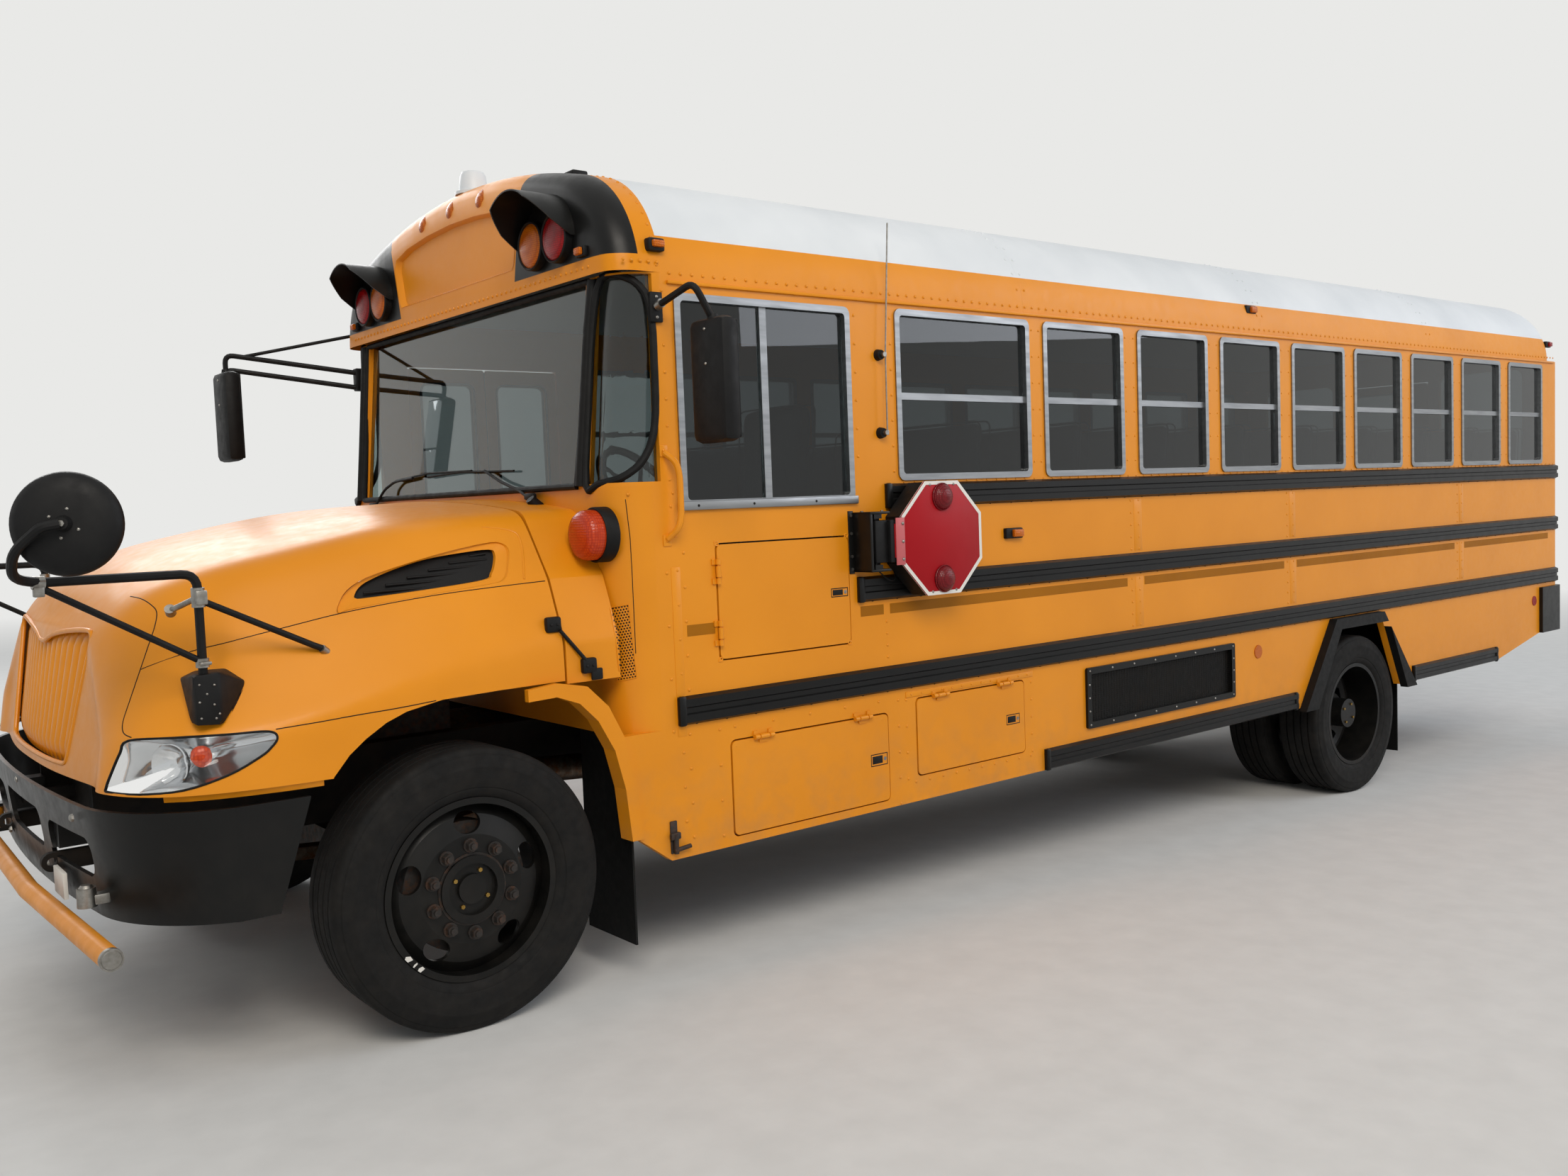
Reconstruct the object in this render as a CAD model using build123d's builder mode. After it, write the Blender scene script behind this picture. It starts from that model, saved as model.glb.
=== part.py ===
from build123d import *
import os
from math import atan2, cos, degrees, radians, sin

# Conventional school bus, drawn level in millimetres: x forward, y to the driver's side, z up.
# Each finished piece is then set on the road with the bus's own rake, tail high.
os.makedirs("parts", exist_ok=True)

# Running gear
wheelbase = 5588.0
front_axle_x = 3225.0
rear_axle_x = front_axle_x - wheelbase
front_hub_z = 445.0
rear_hub_z = 285.0
tyre_radius = 460.0
tyre_width = 255.0
tyre_fit = 0.3
tyre_facets = 54
rim_width = 210.0
rim_flange_radius = 298.0
rim_bed_radius = 288.0
rim_wall = 11.0
front_wheel_y = 1046.0
rear_wheel_y = 1085.0
dual_spacing = 330.0
king_pin_y = 860.0
hub_pilot_radius = 110.0
spindle_radius = 36.0
spindle_fit = 0.5

# Body shell
half_width = 1219.0
wall = 40.0
rear_face_x = -5190.0
body_front_x = 2440.0
skirt_z = 404.0
sill_z = 864.0
gutter_z = 2437.0
crest_z = 2971.0
roof_corner_radius = 430.0
roof_rear_radius = 170.0
floor_z = 930.0
floor_thickness = 50.0
cross_sill = 40.0
panel_gap = 6.0

# Frame and drive
frame_half_width = 432.0
frame_depth = 254.0
frame_flange = 76.0
frame_web = 9.0
frame_top_z = floor_z - floor_thickness - cross_sill
frame_front_x = 4170.0
frame_rear_x = -5120.0

# Front end
nose_sill_z = 885.0
hood_skin = 12.0
hood_rear_x = 2880.0
hood_gap = 8.0
cowl_front_x = 2664.0
header_front_x = 2596.0
screen_sill_z = 1727.0
header_z = 2462.0
corner_radius = 150.0
cap_front_x = 2630.0
bumper_top_z = 845.0
bumper_low_z = 515.0
bumper_skin = 14.0
bumper_front_x = 4315.0

# Windows: front edge x, rear edge x, one row each from the front
window_rows = [
    (1330.0, 513.0),
    (419.0, -161.0),
    (-271.0, -856.0),
    (-969.0, -1532.0),
    (-1655.0, -2221.0),
    (-2330.0, -2900.0),
    (-3020.0, -3580.0),
    (-3702.0, -4275.0),
    (-4399.0, -4953.0),
]
window_sill_z = 1722.0
window_head_z = 2408.0
window_mid_z = 2061.0
window_corner = 30.0
frame_ring = 26.0
frame_proud = 8.0
glass = 6.0
cab_window = (2396.0, 1573.0, 1646.0, 2397.0)
cab_window_post_x = 1995.0

# Rub rails: low z, high z, front x, rear x
rail_rows = [
    (1613.0, 1711.0, 1408.0, rear_face_x),
    (1247.0, 1347.0, 1575.0, rear_face_x),
    (876.0, 980.0, 2450.0, rear_face_x),
    (404.0, 500.0, 474.0, -1662.0),
    (404.0, 500.0, -3013.0, -4202.0),
]
rail_proud = 20.0

# Rear arch: opening and flare corners as x, z
arch_opening = [(-1800.0, skirt_z - 60.0), (-2090.0, 812.0), (-2650.0, 812.0), (-2890.0, skirt_z - 60.0)]
arch_flare = [(-1694.0, 388.0), (-2036.0, 872.0), (-2589.0, 872.0), (-2990.0, 388.0)]
flare_proud = 45.0
tail_slant = [(-4207.0, skirt_z), (-4914.0, 530.0)]

# Hatches on the driver's side: front x, rear x, low z, high z
electric_door = (2258.0, 1613.0, 1088.0, 1515.0)
battery_door = (2225.0, 1430.0, 434.0, 794.0)
fuel_door = (1275.0, 600.0, 505.0, 832.0)
mesh_box = (172.0, -1050.0, 550.0, 833.0)
hatch_skin = 20.0
door_leaf = 36.0

# Entrance on the kerb side and the door in the tail
entry_front_x = 2330.0
entry_rear_x = 1500.0
entry_low_z = 560.0
entry_high_z = 2390.0
exit_half_width = 340.0
exit_low_z = 940.0
exit_high_z = 2380.0

# Drive line
engine_base_z = 620.0
gearbox_radius = 130.0
gearbox_z = 725.0
gearbox_rear_x = 2300.0
shaft_radius = 50.0
shaft_yoke = 70.0
shaft_clearance = 20.0
pinion_reach = 270.0

# Tow eyes at the front of the frame
tow_eye_y = 394.0
tow_eye_thickness = 25.0
tow_eye_x = 4292.0
tow_eye_z = 610.0
tow_eye_bore = 14.0
tow_eye_radius = 30.0

# Tail pipe
exhaust_radius = 50.0
exhaust_y = 560.0
tailpipe_end_x = -5120.0
tailpipe_z = 640.0

# Moving arms
crossing_hinge = (4262.0, -890.0)
crossing_z = 540.0
crossing_radius = 30.0
hood_pivot = (4230.0, 700.0)
hood_pivot_y = 300.0
hood_pivot_radius = 10.0
hood_arm_thickness = 20.0
running_fit = 0.1
arm_hinge_x = 1545.0
arm_hinge_y = 1300.0
arm_pin_radius = 6.0

# Door and lid hinges: a pin with two outer knuckles on the body and one on the lid
hinge_length = 90.0
hinge_pin_radius = 5.0
knuckle_radius = 9.0
knuckle_length = 20.0
knuckle_break = 5.0
hinge_reach = 22.0
hinge_stand_off = 12.5
lid_proud = 3.0

# The bus stands tail high: the rake that levels both axles on the road
rake = degrees(atan2(front_hub_z - rear_hub_z, wheelbase))
nose_reach_x = 4550.0
rear_bumper_x = -5262.0
ground_shift = tyre_radius + front_axle_x * sin(radians(rake)) - front_hub_z * cos(radians(rake))
centre_shift = -(nose_reach_x + rear_bumper_x) / 2
stance = Location((centre_shift, 0, ground_shift), (0, rake, 0))


def side_plane(y):
    """A plane across y whose own x and y are the bus's x and z, its normal to the kerb side."""
    return Plane(origin=(0, y, 0), x_dir=(1, 0, 0), z_dir=(0, -1, 0))


def cross_plane(x):
    """A plane across x whose own x and y are the bus's y and z, its normal forward."""
    return Plane(origin=(x, 0, 0), x_dir=(0, 1, 0), z_dir=(1, 0, 0))


def block(x_low, x_high, y_low, y_high, z_low, z_high, mode=Mode.ADD):
    with Locations(((x_low + x_high) / 2, (y_low + y_high) / 2, (z_low + z_high) / 2)):
        Box(abs(x_high - x_low), abs(y_high - y_low), abs(z_high - z_low), mode=mode)


def rod(start, end, radius, mode=Mode.ADD):
    """A straight round bar between two points."""
    with BuildSketch(Plane(origin=start, z_dir=Vector(*end) - Vector(*start))) as end_face:
        Circle(radius)
    extrude(end_face.sketch, amount=(Vector(*end) - Vector(*start)).length, mode=mode)


def turned(x, y_from, y_to, z, radius, hand, mode=Mode.ADD):
    """A round boss or bore that runs across the bus, measured outward from its middle line."""
    with BuildSketch(side_plane(hand * y_from)) as end_face:
        with Locations((x, z)):
            Circle(radius)
    extrude(end_face.sketch, amount=hand * (y_from - y_to), mode=mode)


def bent_tube(points, bend, radius):
    """A round tube along a few straight runs joined by bends."""
    with BuildLine() as route:
        FilletPolyline(*points, radius=bend)
    with BuildSketch(Plane(origin=route.line @ 0, z_dir=route.line % 0)) as end_face:
        Circle(radius)
    sweep(end_face.sketch, path=route.line)


def hinge_plate(start, way, depth, reach, first, last):
    """A flat plate beside the hinge's axis, from the knuckles to the panel that they serve."""
    near = start + way * first + depth * 0.5
    far = start + way * last + depth + reach
    block(near.X, far.X, near.Y, far.Y, near.Z, far.Z)


def fixed_hinge(start, way, depth, reach):
    """The half of a hinge that stays put: the pin, its two outer knuckles and their plates."""
    end = start + way * hinge_length
    rod(start, end, hinge_pin_radius)
    rod(start, start + way * knuckle_length, knuckle_radius)
    rod(end - way * knuckle_length, end, knuckle_radius)
    hinge_plate(start, way, depth, reach, 0, knuckle_length)
    hinge_plate(start, way, depth, reach, hinge_length - knuckle_length, hinge_length)


def turning_hinge(start, way, depth, reach):
    """The half of a hinge that turns: the middle knuckle, its plate and the bore for the pin."""
    first = knuckle_length + knuckle_break
    last = hinge_length - first
    rod(start + way * first, start + way * last, knuckle_radius)
    hinge_plate(start, way, depth, reach, first, last)
    rod(start + way * first, start + way * last, hinge_pin_radius + running_fit, Mode.SUBTRACT)


def side_prism(points, y_from, y_to, rounding=0.0, mode=Mode.ADD):
    """An outline of x, z corners, pulled from one y to another."""
    with BuildSketch(side_plane(y_from)) as outline:
        with BuildLine():
            Polyline(*points, close=True)
        make_face()
        if rounding:
            fillet(outline.vertices(), rounding)
    extrude(outline.sketch, amount=y_from - y_to, mode=mode)


def side_panel(rectangle, y_from, y_to, rounding, mode=Mode.ADD):
    """A rectangle of front x, rear x, low z and high z with rounded corners."""
    front_x, rear_x, low_z, high_z = rectangle
    with BuildSketch(side_plane(y_from)) as outline:
        with Locations(((front_x + rear_x) / 2, (low_z + high_z) / 2)):
            RectangleRounded(front_x - rear_x, high_z - low_z, rounding)
    extrude(outline.sketch, amount=y_from - y_to, mode=mode)


def shrink(rectangle, margin):
    front_x, rear_x, low_z, high_z = rectangle
    return (front_x - margin, rear_x + margin, low_z + margin, high_z - margin)


def keep(piece, label):
    """Set a finished piece on the road and write it."""
    placed = piece.part.moved(stance)
    placed.label = label
    export_step(placed, f"parts/{label}.step")


def roof_section(inset):
    """The roof's cross section above the gutter: two corner arcs and a crown arc that meet smoothly."""
    rise = crest_z - gutter_z
    reach = half_width - roof_corner_radius
    drop = rise - roof_corner_radius
    lift = (reach**2 - drop**2) / (2 * drop)
    turn = atan2(lift, reach)
    corner = roof_corner_radius - inset
    joint_y = reach + corner * cos(turn)
    joint_z = gutter_z + corner * sin(turn)
    middle_y = reach + corner * cos(turn / 2)
    middle_z = gutter_z + corner * sin(turn / 2)
    top_z = crest_z - inset
    edge = half_width - inset
    with BuildLine() as section:
        ThreePointArc((edge, gutter_z), (middle_y, middle_z), (joint_y, joint_z))
        ThreePointArc((joint_y, joint_z), (0, top_z), (-joint_y, joint_z))
        ThreePointArc((-joint_y, joint_z), (-middle_y, middle_z), (-edge, gutter_z))
        Line((-edge, gutter_z), (edge, gutter_z))
    make_face(section.edges())


def plan_outline(front_x, inset):
    """The front body seen from above: two side walls, rounded corners and a flat front."""
    edge = half_width - inset
    nose = front_x - inset
    radius = corner_radius - inset
    with BuildLine() as plan:
        Polyline((body_front_x, -edge), (nose - radius, -edge))
        RadiusArc((nose - radius, -edge), (nose, -edge + radius), -radius)
        Line((nose, -edge + radius), (nose, edge - radius))
        RadiusArc((nose, edge - radius), (nose - radius, edge), -radius)
        Polyline((nose - radius, edge), (body_front_x, edge), (body_front_x, -edge))
    make_face(plan.edges())


# Hood sections from the cowl to the nose: x at the sill, lean in degrees, then half width and height
# above the sill of the crest, shoulder, waist and fender edge
hood_sections = [
    (hood_rear_x, 0.0, 827.0, 940.0, 770.0, 1110.0, 540.0, 1196.0, 330.0),
    (3300.0, 0.0, 809.0, 930.0, 740.0, 1090.0, 480.0, 1200.0, 280.0),
    (3700.0, 0.0, 740.0, 880.0, 660.0, 1050.0, 400.0, 1192.0, 180.0),
    (3950.0, 2.0, 680.0, 800.0, 600.0, 980.0, 350.0, 1150.0, 150.0),
    (4110.0, 5.0, 610.0, 720.0, 545.0, 900.0, 340.0, 1070.0, 150.0),
    (4205.0, 8.0, 530.0, 640.0, 470.0, 790.0, 300.0, 925.0, 150.0),
    (4262.0, 9.0, 430.0, 520.0, 395.0, 610.0, 250.0, 690.0, 130.0),
]
shoulder_rounding = 90.0
fender_rounding = 70.0


def hood_outline(row, inset, drop):
    """One cross section of the hood and both fenders, shrunk by the inset, its sill lowered by drop."""
    x, lean, crest_h, shoulder_y, shoulder_h, waist_y, waist_h, fender_y, fender_h = row
    plane = Plane(
        origin=(x, 0, nose_sill_z),
        x_dir=(0, 1, 0),
        z_dir=(cos(radians(lean)), 0, sin(radians(lean))),
    )
    right = [
        (shoulder_y - inset, shoulder_h - inset),
        (waist_y - inset, waist_h - inset / 2),
        (fender_y - inset, fender_h),
        (fender_y - inset, -drop),
    ]
    left = [(-y, h) for y, h in reversed(right)]
    with BuildSketch(plane) as outline:
        with BuildLine():
            ThreePointArc(left[-1], (0, crest_h - inset), right[0])
            Polyline(*right)
            Line(right[-1], left[0])
            Polyline(*left)
        make_face()
        fillet(outline.vertices().sort_by(Axis.Y)[2:4], fender_rounding)
        fillet(outline.vertices().sort_by(Axis.Y)[-2:], shoulder_rounding)
    return outline.sketch


def hood_body(inset, drop, back, forward):
    rows = [list(row) for row in hood_sections]
    rows[0][0] -= back
    for row in rows[-3:]:
        row[0] += forward
    loft([hood_outline(row, inset, drop) for row in rows], ruled=True)


# Frame: two channels and their cross members
cross_member_x = [4050.0, 2200.0, 1100.0, 0.0, -1200.0, -3250.0, -4620.0, -5090.0]
engine_member_x = [3640.0, 3120.0]
engine_member_drop = 20.0
gearbox_end = Vector(gearbox_rear_x, 0, gearbox_z)
rear_axle_centre = Vector(rear_axle_x, 0, rear_hub_z)
shaft_way = (rear_axle_centre - gearbox_end).normalized()
shaft_front = gearbox_end + shaft_way * shaft_yoke
shaft_rear = rear_axle_centre - shaft_way * pinion_reach
cross_member_width = 60.0
cross_member_drop = 60.0
with BuildPart() as chassis_frame:
    for hand in (1, -1):
        outer = hand * frame_half_width
        inner = hand * (frame_half_width - frame_flange)
        web = hand * (frame_half_width - frame_web)
        low = frame_top_z - frame_depth
        block(frame_rear_x, frame_front_x, min(outer, inner), max(outer, inner), low, frame_top_z)
        block(
            frame_rear_x,
            frame_front_x,
            min(web, inner),
            max(web, inner),
            low + frame_web,
            frame_top_z - frame_web,
            mode=Mode.SUBTRACT,
        )
    for x in cross_member_x:
        block(
            x - cross_member_width / 2,
            x + cross_member_width / 2,
            -frame_half_width + frame_web,
            frame_half_width - frame_web,
            frame_top_z - frame_depth + frame_web,
            frame_top_z - cross_member_drop,
        )
    for x in engine_member_x:
        block(
            x - cross_member_width / 2,
            x + cross_member_width / 2,
            -frame_half_width + frame_web,
            frame_half_width - frame_web,
            frame_top_z - frame_depth - engine_member_drop,
            engine_base_z,
        )
    rod(tuple(gearbox_end), tuple(rear_axle_centre), shaft_radius + shaft_clearance, Mode.SUBTRACT)
    for hand in (1, -1):
        eye_face = hand * tow_eye_y + tow_eye_thickness / 2
        side_prism(
            [
                (frame_front_x - 60, tow_eye_z - tow_eye_radius),
                (tow_eye_x, tow_eye_z - tow_eye_radius),
                (tow_eye_x, tow_eye_z + tow_eye_radius),
                (frame_front_x - 60, tow_eye_z + tow_eye_radius),
            ],
            eye_face,
            eye_face - tow_eye_thickness,
        )
        with BuildSketch(side_plane(eye_face)):
            with Locations((tow_eye_x, tow_eye_z)):
                Circle(tow_eye_radius)
        extrude(amount=tow_eye_thickness)
        with BuildSketch(side_plane(eye_face)):
            with Locations((tow_eye_x, tow_eye_z)):
                Circle(tow_eye_bore)
        extrude(amount=tow_eye_thickness, mode=Mode.SUBTRACT)
    for hand in (1, -1):
        ear_low, ear_high = sorted((hand * (hood_pivot_y + 18), hand * (hood_pivot_y + 38)))
        block(
            cross_member_x[0],
            hood_pivot[0] + 20,
            ear_low,
            ear_high,
            hood_pivot[1] - 20,
            hood_pivot[1] + 20,
        )
        turned(
            hood_pivot[0],
            hood_pivot_y - hood_arm_thickness,
            hood_pivot_y + 20,
            hood_pivot[1],
            hood_pivot_radius,
            hand,
        )
keep(chassis_frame, "chassis_frame")

# Engine and gearbox: one plain block with its bell and box behind
engine_half_width = 330.0
engine_height = 760.0
engine_rear_x = 2900.0
engine_front_x = 3860.0
with BuildPart() as engine:
    block(
        engine_rear_x,
        engine_front_x,
        -engine_half_width,
        engine_half_width,
        engine_base_z,
        engine_base_z + engine_height,
    )
    with BuildSketch(cross_plane(gearbox_rear_x)):
        with Locations((0, gearbox_z)):
            Circle(gearbox_radius)
    extrude(amount=engine_rear_x - gearbox_rear_x)
    rod(tuple(gearbox_end - shaft_way * shaft_yoke), tuple(shaft_front), shaft_radius + 8)
keep(engine, "engine")

# Fuel tank under the cross members behind the rear axle
tank_top_z = frame_top_z - frame_depth + frame_web
with BuildPart() as fuel_tank:
    block(-4560, -3280, -345, 345, tank_top_z - 330, tank_top_z)
    fillet(fuel_tank.edges().filter_by(Axis.X), 60)
keep(fuel_tank, "fuel_tank")

# Floor with its cross sills and the entrance step well
step_depth = 330.0
step_inner_y = -640.0
step_floor_z = entry_low_z
sill_pitch = 690.0
floor_edge = half_width - wall
with BuildPart() as bus_floor:
    block(rear_face_x + wall, body_front_x, -floor_edge, floor_edge, floor_z - floor_thickness, floor_z)
    toe_edge = half_width - corner_radius
    block(body_front_x, cowl_front_x - wall, -toe_edge, toe_edge, floor_z - floor_thickness, floor_z)
    for number in range(10):
        sill_x = 2000 - number * sill_pitch
        block(sill_x - 30, sill_x + 30, -floor_edge + 560, floor_edge, frame_top_z, floor_z - floor_thickness)
    well = (entry_rear_x, entry_front_x, -floor_edge, step_inner_y)
    block(*well, frame_top_z - 1, floor_z + 1, mode=Mode.SUBTRACT)
    block(
        entry_rear_x - 20,
        entry_front_x + 20,
        -floor_edge,
        step_inner_y + 20,
        step_floor_z,
        step_floor_z + 20,
    )
    block(entry_rear_x - 20, entry_rear_x, -floor_edge, step_inner_y + 20, step_floor_z, floor_z)
    block(entry_front_x, entry_front_x + 20, -floor_edge, step_inner_y + 20, step_floor_z, floor_z)
    block(entry_rear_x, entry_front_x, step_inner_y, step_inner_y + 20, step_floor_z, floor_z)
    block(
        entry_rear_x,
        entry_front_x,
        step_inner_y - 270,
        step_inner_y,
        step_floor_z + 20,
        step_floor_z + 200,
    )
keep(bus_floor, "bus_floor")


# Hinge starts: x, y, z, then which way the axis runs and which way the lid lies from it
hinge_y = half_width + hinge_stand_off
upward = Vector(0, 0, 1)
forward = Vector(1, 0, 0)
outward_lid = Vector(0, lid_proud - hinge_stand_off, 0)
outward_wall = Vector(0, -hinge_stand_off, 0)
electric_hinges = [Vector(electric_door[0] - panel_gap / 2, hinge_y, z) for z in (1145.0, 1368.0)]
battery_hinges = [Vector(x, hinge_y, battery_door[3] - panel_gap / 2) for x in (1530.0, 2030.0)]
fuel_hinges = [Vector(x, hinge_y, fuel_door[3] - panel_gap / 2) for x in (690.0, 1090.0)]
entry_hinge_z = (770.0, 2150.0)
entry_front_hinges = [Vector(entry_front_x - panel_gap / 2, -hinge_y, z) for z in entry_hinge_z]
entry_rear_hinges = [Vector(entry_rear_x + panel_gap / 2, -hinge_y, z) for z in entry_hinge_z]
exit_hinge_y = -exit_half_width + panel_gap / 2
exit_hinges = [Vector(rear_face_x - hinge_stand_off, exit_hinge_y, z) for z in (1060.0, 2190.0)]


def side_wall_outline(hand):
    """The side from skirt to gutter, with its tail slant and the arch over the rear wheels."""
    points = [
        (body_front_x, gutter_z),
        (body_front_x, sill_z),
        (2407.0, skirt_z),
        tail_slant[0],
        tail_slant[1],
        (rear_face_x, 530.0),
        (rear_face_x, gutter_z),
    ]
    side_prism(points, hand * half_width, hand * (half_width - wall))
    side_prism(arch_opening, hand * (half_width + 1), hand * (half_width - wall - 1), mode=Mode.SUBTRACT)
    for front_x, rear_x in window_rows:
        opening = (front_x, rear_x, window_sill_z, window_head_z)
        side_panel(
            opening,
            hand * (half_width + 1),
            hand * (half_width - wall - 1),
            window_corner,
            Mode.SUBTRACT,
        )


# Driver's side wall with its hatch openings
with BuildPart() as left_side_wall:
    side_wall_outline(1)
    side_panel(cab_window, half_width + 1, half_width - wall - 1, window_corner, Mode.SUBTRACT)
    for opening in (electric_door, battery_door, fuel_door):
        side_panel(opening, half_width + 1, half_width - wall - 1, 24, Mode.SUBTRACT)
    side_panel(mesh_box, half_width + 1, half_width - wall - 1, 12, Mode.SUBTRACT)
    for start in electric_hinges:
        fixed_hinge(start, upward, outward_wall, forward * hinge_reach)
    for start in battery_hinges + fuel_hinges:
        fixed_hinge(start, forward, outward_wall, upward * hinge_reach)
keep(left_side_wall, "left_side_wall")

# Kerb side wall with the entrance
with BuildPart() as right_side_wall:
    side_wall_outline(-1)
    block(
        entry_rear_x,
        entry_front_x,
        -half_width - 1,
        -half_width + wall + 1,
        entry_low_z,
        entry_high_z,
        mode=Mode.SUBTRACT,
    )
    for start in entry_front_hinges:
        fixed_hinge(start, upward, -outward_wall, forward * hinge_reach)
    for start in entry_rear_hinges:
        fixed_hinge(start, upward, -outward_wall, -forward * hinge_reach)
keep(right_side_wall, "right_side_wall")

# Roof shell, rounded down into the tail, in four sheets with hairline joints
roof_joints = [-3280.0, -1370.0, 540.0]
roof_joint = 0.4
with BuildPart() as roof_core:
    with BuildSketch(cross_plane(rear_face_x + wall)):
        roof_section(wall)
    extrude(amount=body_front_x - rear_face_x)
    fillet(roof_core.edges().group_by(Axis.X)[0].sort_by(Axis.Z)[1:], roof_rear_radius - wall)
with BuildPart() as roof:
    with BuildSketch(cross_plane(rear_face_x)):
        roof_section(0)
    extrude(amount=body_front_x - rear_face_x)
    fillet(roof.edges().group_by(Axis.X)[0].sort_by(Axis.Z)[1:], roof_rear_radius)
    add(roof_core.part, mode=Mode.SUBTRACT)
    for x in roof_joints:
        block(x, x + roof_joint, -half_width, half_width, gutter_z - 1, crest_z + 1, mode=Mode.SUBTRACT)
keep(roof, "roof")

# Front roof cap with its sign recess and lamp faces
sign_low_z = 2552.0
sign_high_z = 2822.0
sign_half_width = 520.0
sign_recess = 22.0
cap_rounding = 55.0
with BuildPart() as front_roof_cap:
    with BuildSketch(cross_plane(body_front_x)):
        roof_section(0)
    extrude(amount=cap_front_x - body_front_x)
    cap_edges = front_roof_cap.edges().group_by(Axis.X)[-1].sort_by(Axis.Z)[1:]
    fillet(cap_edges, cap_rounding)
    with BuildSketch(cross_plane(body_front_x - 1)):
        roof_section(wall)
    extrude(amount=cap_front_x - body_front_x - wall, mode=Mode.SUBTRACT)
    block(
        cap_front_x - sign_recess,
        cap_front_x + 10,
        -sign_half_width,
        sign_half_width,
        sign_low_z,
        sign_high_z,
        mode=Mode.SUBTRACT,
    )
    block(
        body_front_x - 1,
        cap_front_x + 1,
        -half_width,
        half_width,
        gutter_z - 1,
        header_z,
        mode=Mode.SUBTRACT,
    )
keep(front_roof_cap, "front_roof_cap")

# Screen and corner glass openings in the front body
divider_y = 1000.0
divider_width = 36.0
screen_low_z = screen_sill_z + 14.0
screen_high_z = header_z - 6.0
corner_glass_rear_x = 2478.0


def screen_cutters():
    """Everything in front of the driver that is glass: the flat screen and the two corner panes."""
    edge = divider_y - divider_width / 2
    block(cowl_front_x - 160, cowl_front_x + 60, -edge, edge, screen_low_z, screen_high_z)
    for hand in (1, -1):
        inner = hand * (divider_y + divider_width / 2)
        outer = hand * (half_width + 40)
        block(
            corner_glass_rear_x,
            cowl_front_x + 60,
            min(inner, outer),
            max(inner, outer),
            screen_low_z,
            screen_high_z,
        )


def front_shell(inset):
    """The front body from the cowl sill to the header, leaning back above the screen sill."""
    with BuildSketch(Plane.XY.offset(sill_z)) as low_plan:
        plan_outline(cowl_front_x, inset)
    extrude(low_plan.sketch, amount=screen_sill_z - sill_z)
    with BuildSketch(Plane.XY.offset(screen_sill_z)) as sill_plan:
        plan_outline(cowl_front_x, inset)
    with BuildSketch(Plane.XY.offset(header_z)) as header_plan:
        plan_outline(header_front_x, inset)
    loft([sill_plan.sketch, header_plan.sketch])


with BuildPart() as screen_openings:
    screen_cutters()
with BuildPart() as cabin_front_core:
    front_shell(wall)

# Front body: screen frame, cowl and the arch behind the front wheel
cowl_skin = 14.0
cowl_row = list(hood_sections[0])
cowl_row[0] -= hood_gap
with BuildPart() as cowl_ring:
    extrude(hood_outline(cowl_row, 0, 0), amount=-(hood_rear_x - hood_gap - cowl_front_x))
    core_row = list(cowl_row)
    core_row[0] += 30
    extrude(hood_outline(core_row, cowl_skin, 30), amount=-400, mode=Mode.SUBTRACT)
apron = [
    (body_front_x, sill_z + 6),
    (2690.0, sill_z + 6),
    (2655.0, 690.0),
    (2636.0, 505.0),
    (2500.0, skirt_z),
    (2407.0, skirt_z),
    (body_front_x, sill_z),
]
arch_strip = [
    (3035.0, 1075.0),
    (2925.0, 1085.0),
    (2814.0, 1062.0),
    (2735.0, 985.0),
    (2672.0, 860.0),
    (2635.0, 700.0),
    (2618.0, 505.0),
    (2664.0, 505.0),
    (2682.0, 690.0),
    (2718.0, 830.0),
    (2778.0, 940.0),
    (2846.0, 1008.0),
    (2930.0, 1040.0),
    (3035.0, 1036.0),
]
strip_depth = 68.0
strip_proud = 8.0
with BuildPart() as hood_sweep:
    extrude(hood_outline(hood_sections[0], -panel_gap, 60), amount=400)
with BuildPart() as front_body:
    front_shell(0)
    add(cabin_front_core.part, mode=Mode.SUBTRACT)
    add(screen_openings.part, mode=Mode.SUBTRACT)
    add(cowl_ring.part)
    block(
        cowl_front_x,
        hood_rear_x,
        -half_width - 5,
        half_width + 5,
        nose_sill_z - 5,
        1075,
        mode=Mode.SUBTRACT,
    )
    for hand in (1, -1):
        side_prism(apron, hand * half_width, hand * (half_width - wall))
        side_prism(arch_strip, hand * (half_width + strip_proud), hand * (half_width - strip_depth))
    add(hood_sweep.part, mode=Mode.SUBTRACT)
keep(front_body, "front_body")

# Windscreen and corner glass, set in the middle of the wall
with BuildPart() as glass_core:
    front_shell(wall / 2 + glass)
with BuildPart() as windshield:
    front_shell(wall / 2)
    add(glass_core.part, mode=Mode.SUBTRACT)
    add(screen_openings.part, mode=Mode.INTERSECT)
keep(windshield, "windshield")

# Rear wall with the exit door opening and two tail windows
tail_window = (420.0, 1010.0)
with BuildPart() as rear_wall:
    with BuildSketch(cross_plane(rear_face_x)):
        with BuildLine():
            Polyline(
                (floor_edge, 530),
                (floor_edge, gutter_z),
                (-floor_edge, gutter_z),
                (-floor_edge, 530),
                close=True,
            )
        make_face()
        with Locations((0, (exit_low_z + exit_high_z) / 2)):
            Rectangle(2 * exit_half_width, exit_high_z - exit_low_z, mode=Mode.SUBTRACT)
        for hand in (1, -1):
            with Locations((hand * sum(tail_window) / 2, (window_sill_z + window_head_z) / 2)):
                RectangleRounded(
                    tail_window[1] - tail_window[0],
                    window_head_z - window_sill_z,
                    60,
                    mode=Mode.SUBTRACT,
                )
    extrude(amount=wall)
    for start in exit_hinges:
        fixed_hinge(start, upward, forward * hinge_stand_off, Vector(0, -hinge_reach, 0))
keep(rear_wall, "rear_wall")

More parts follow.
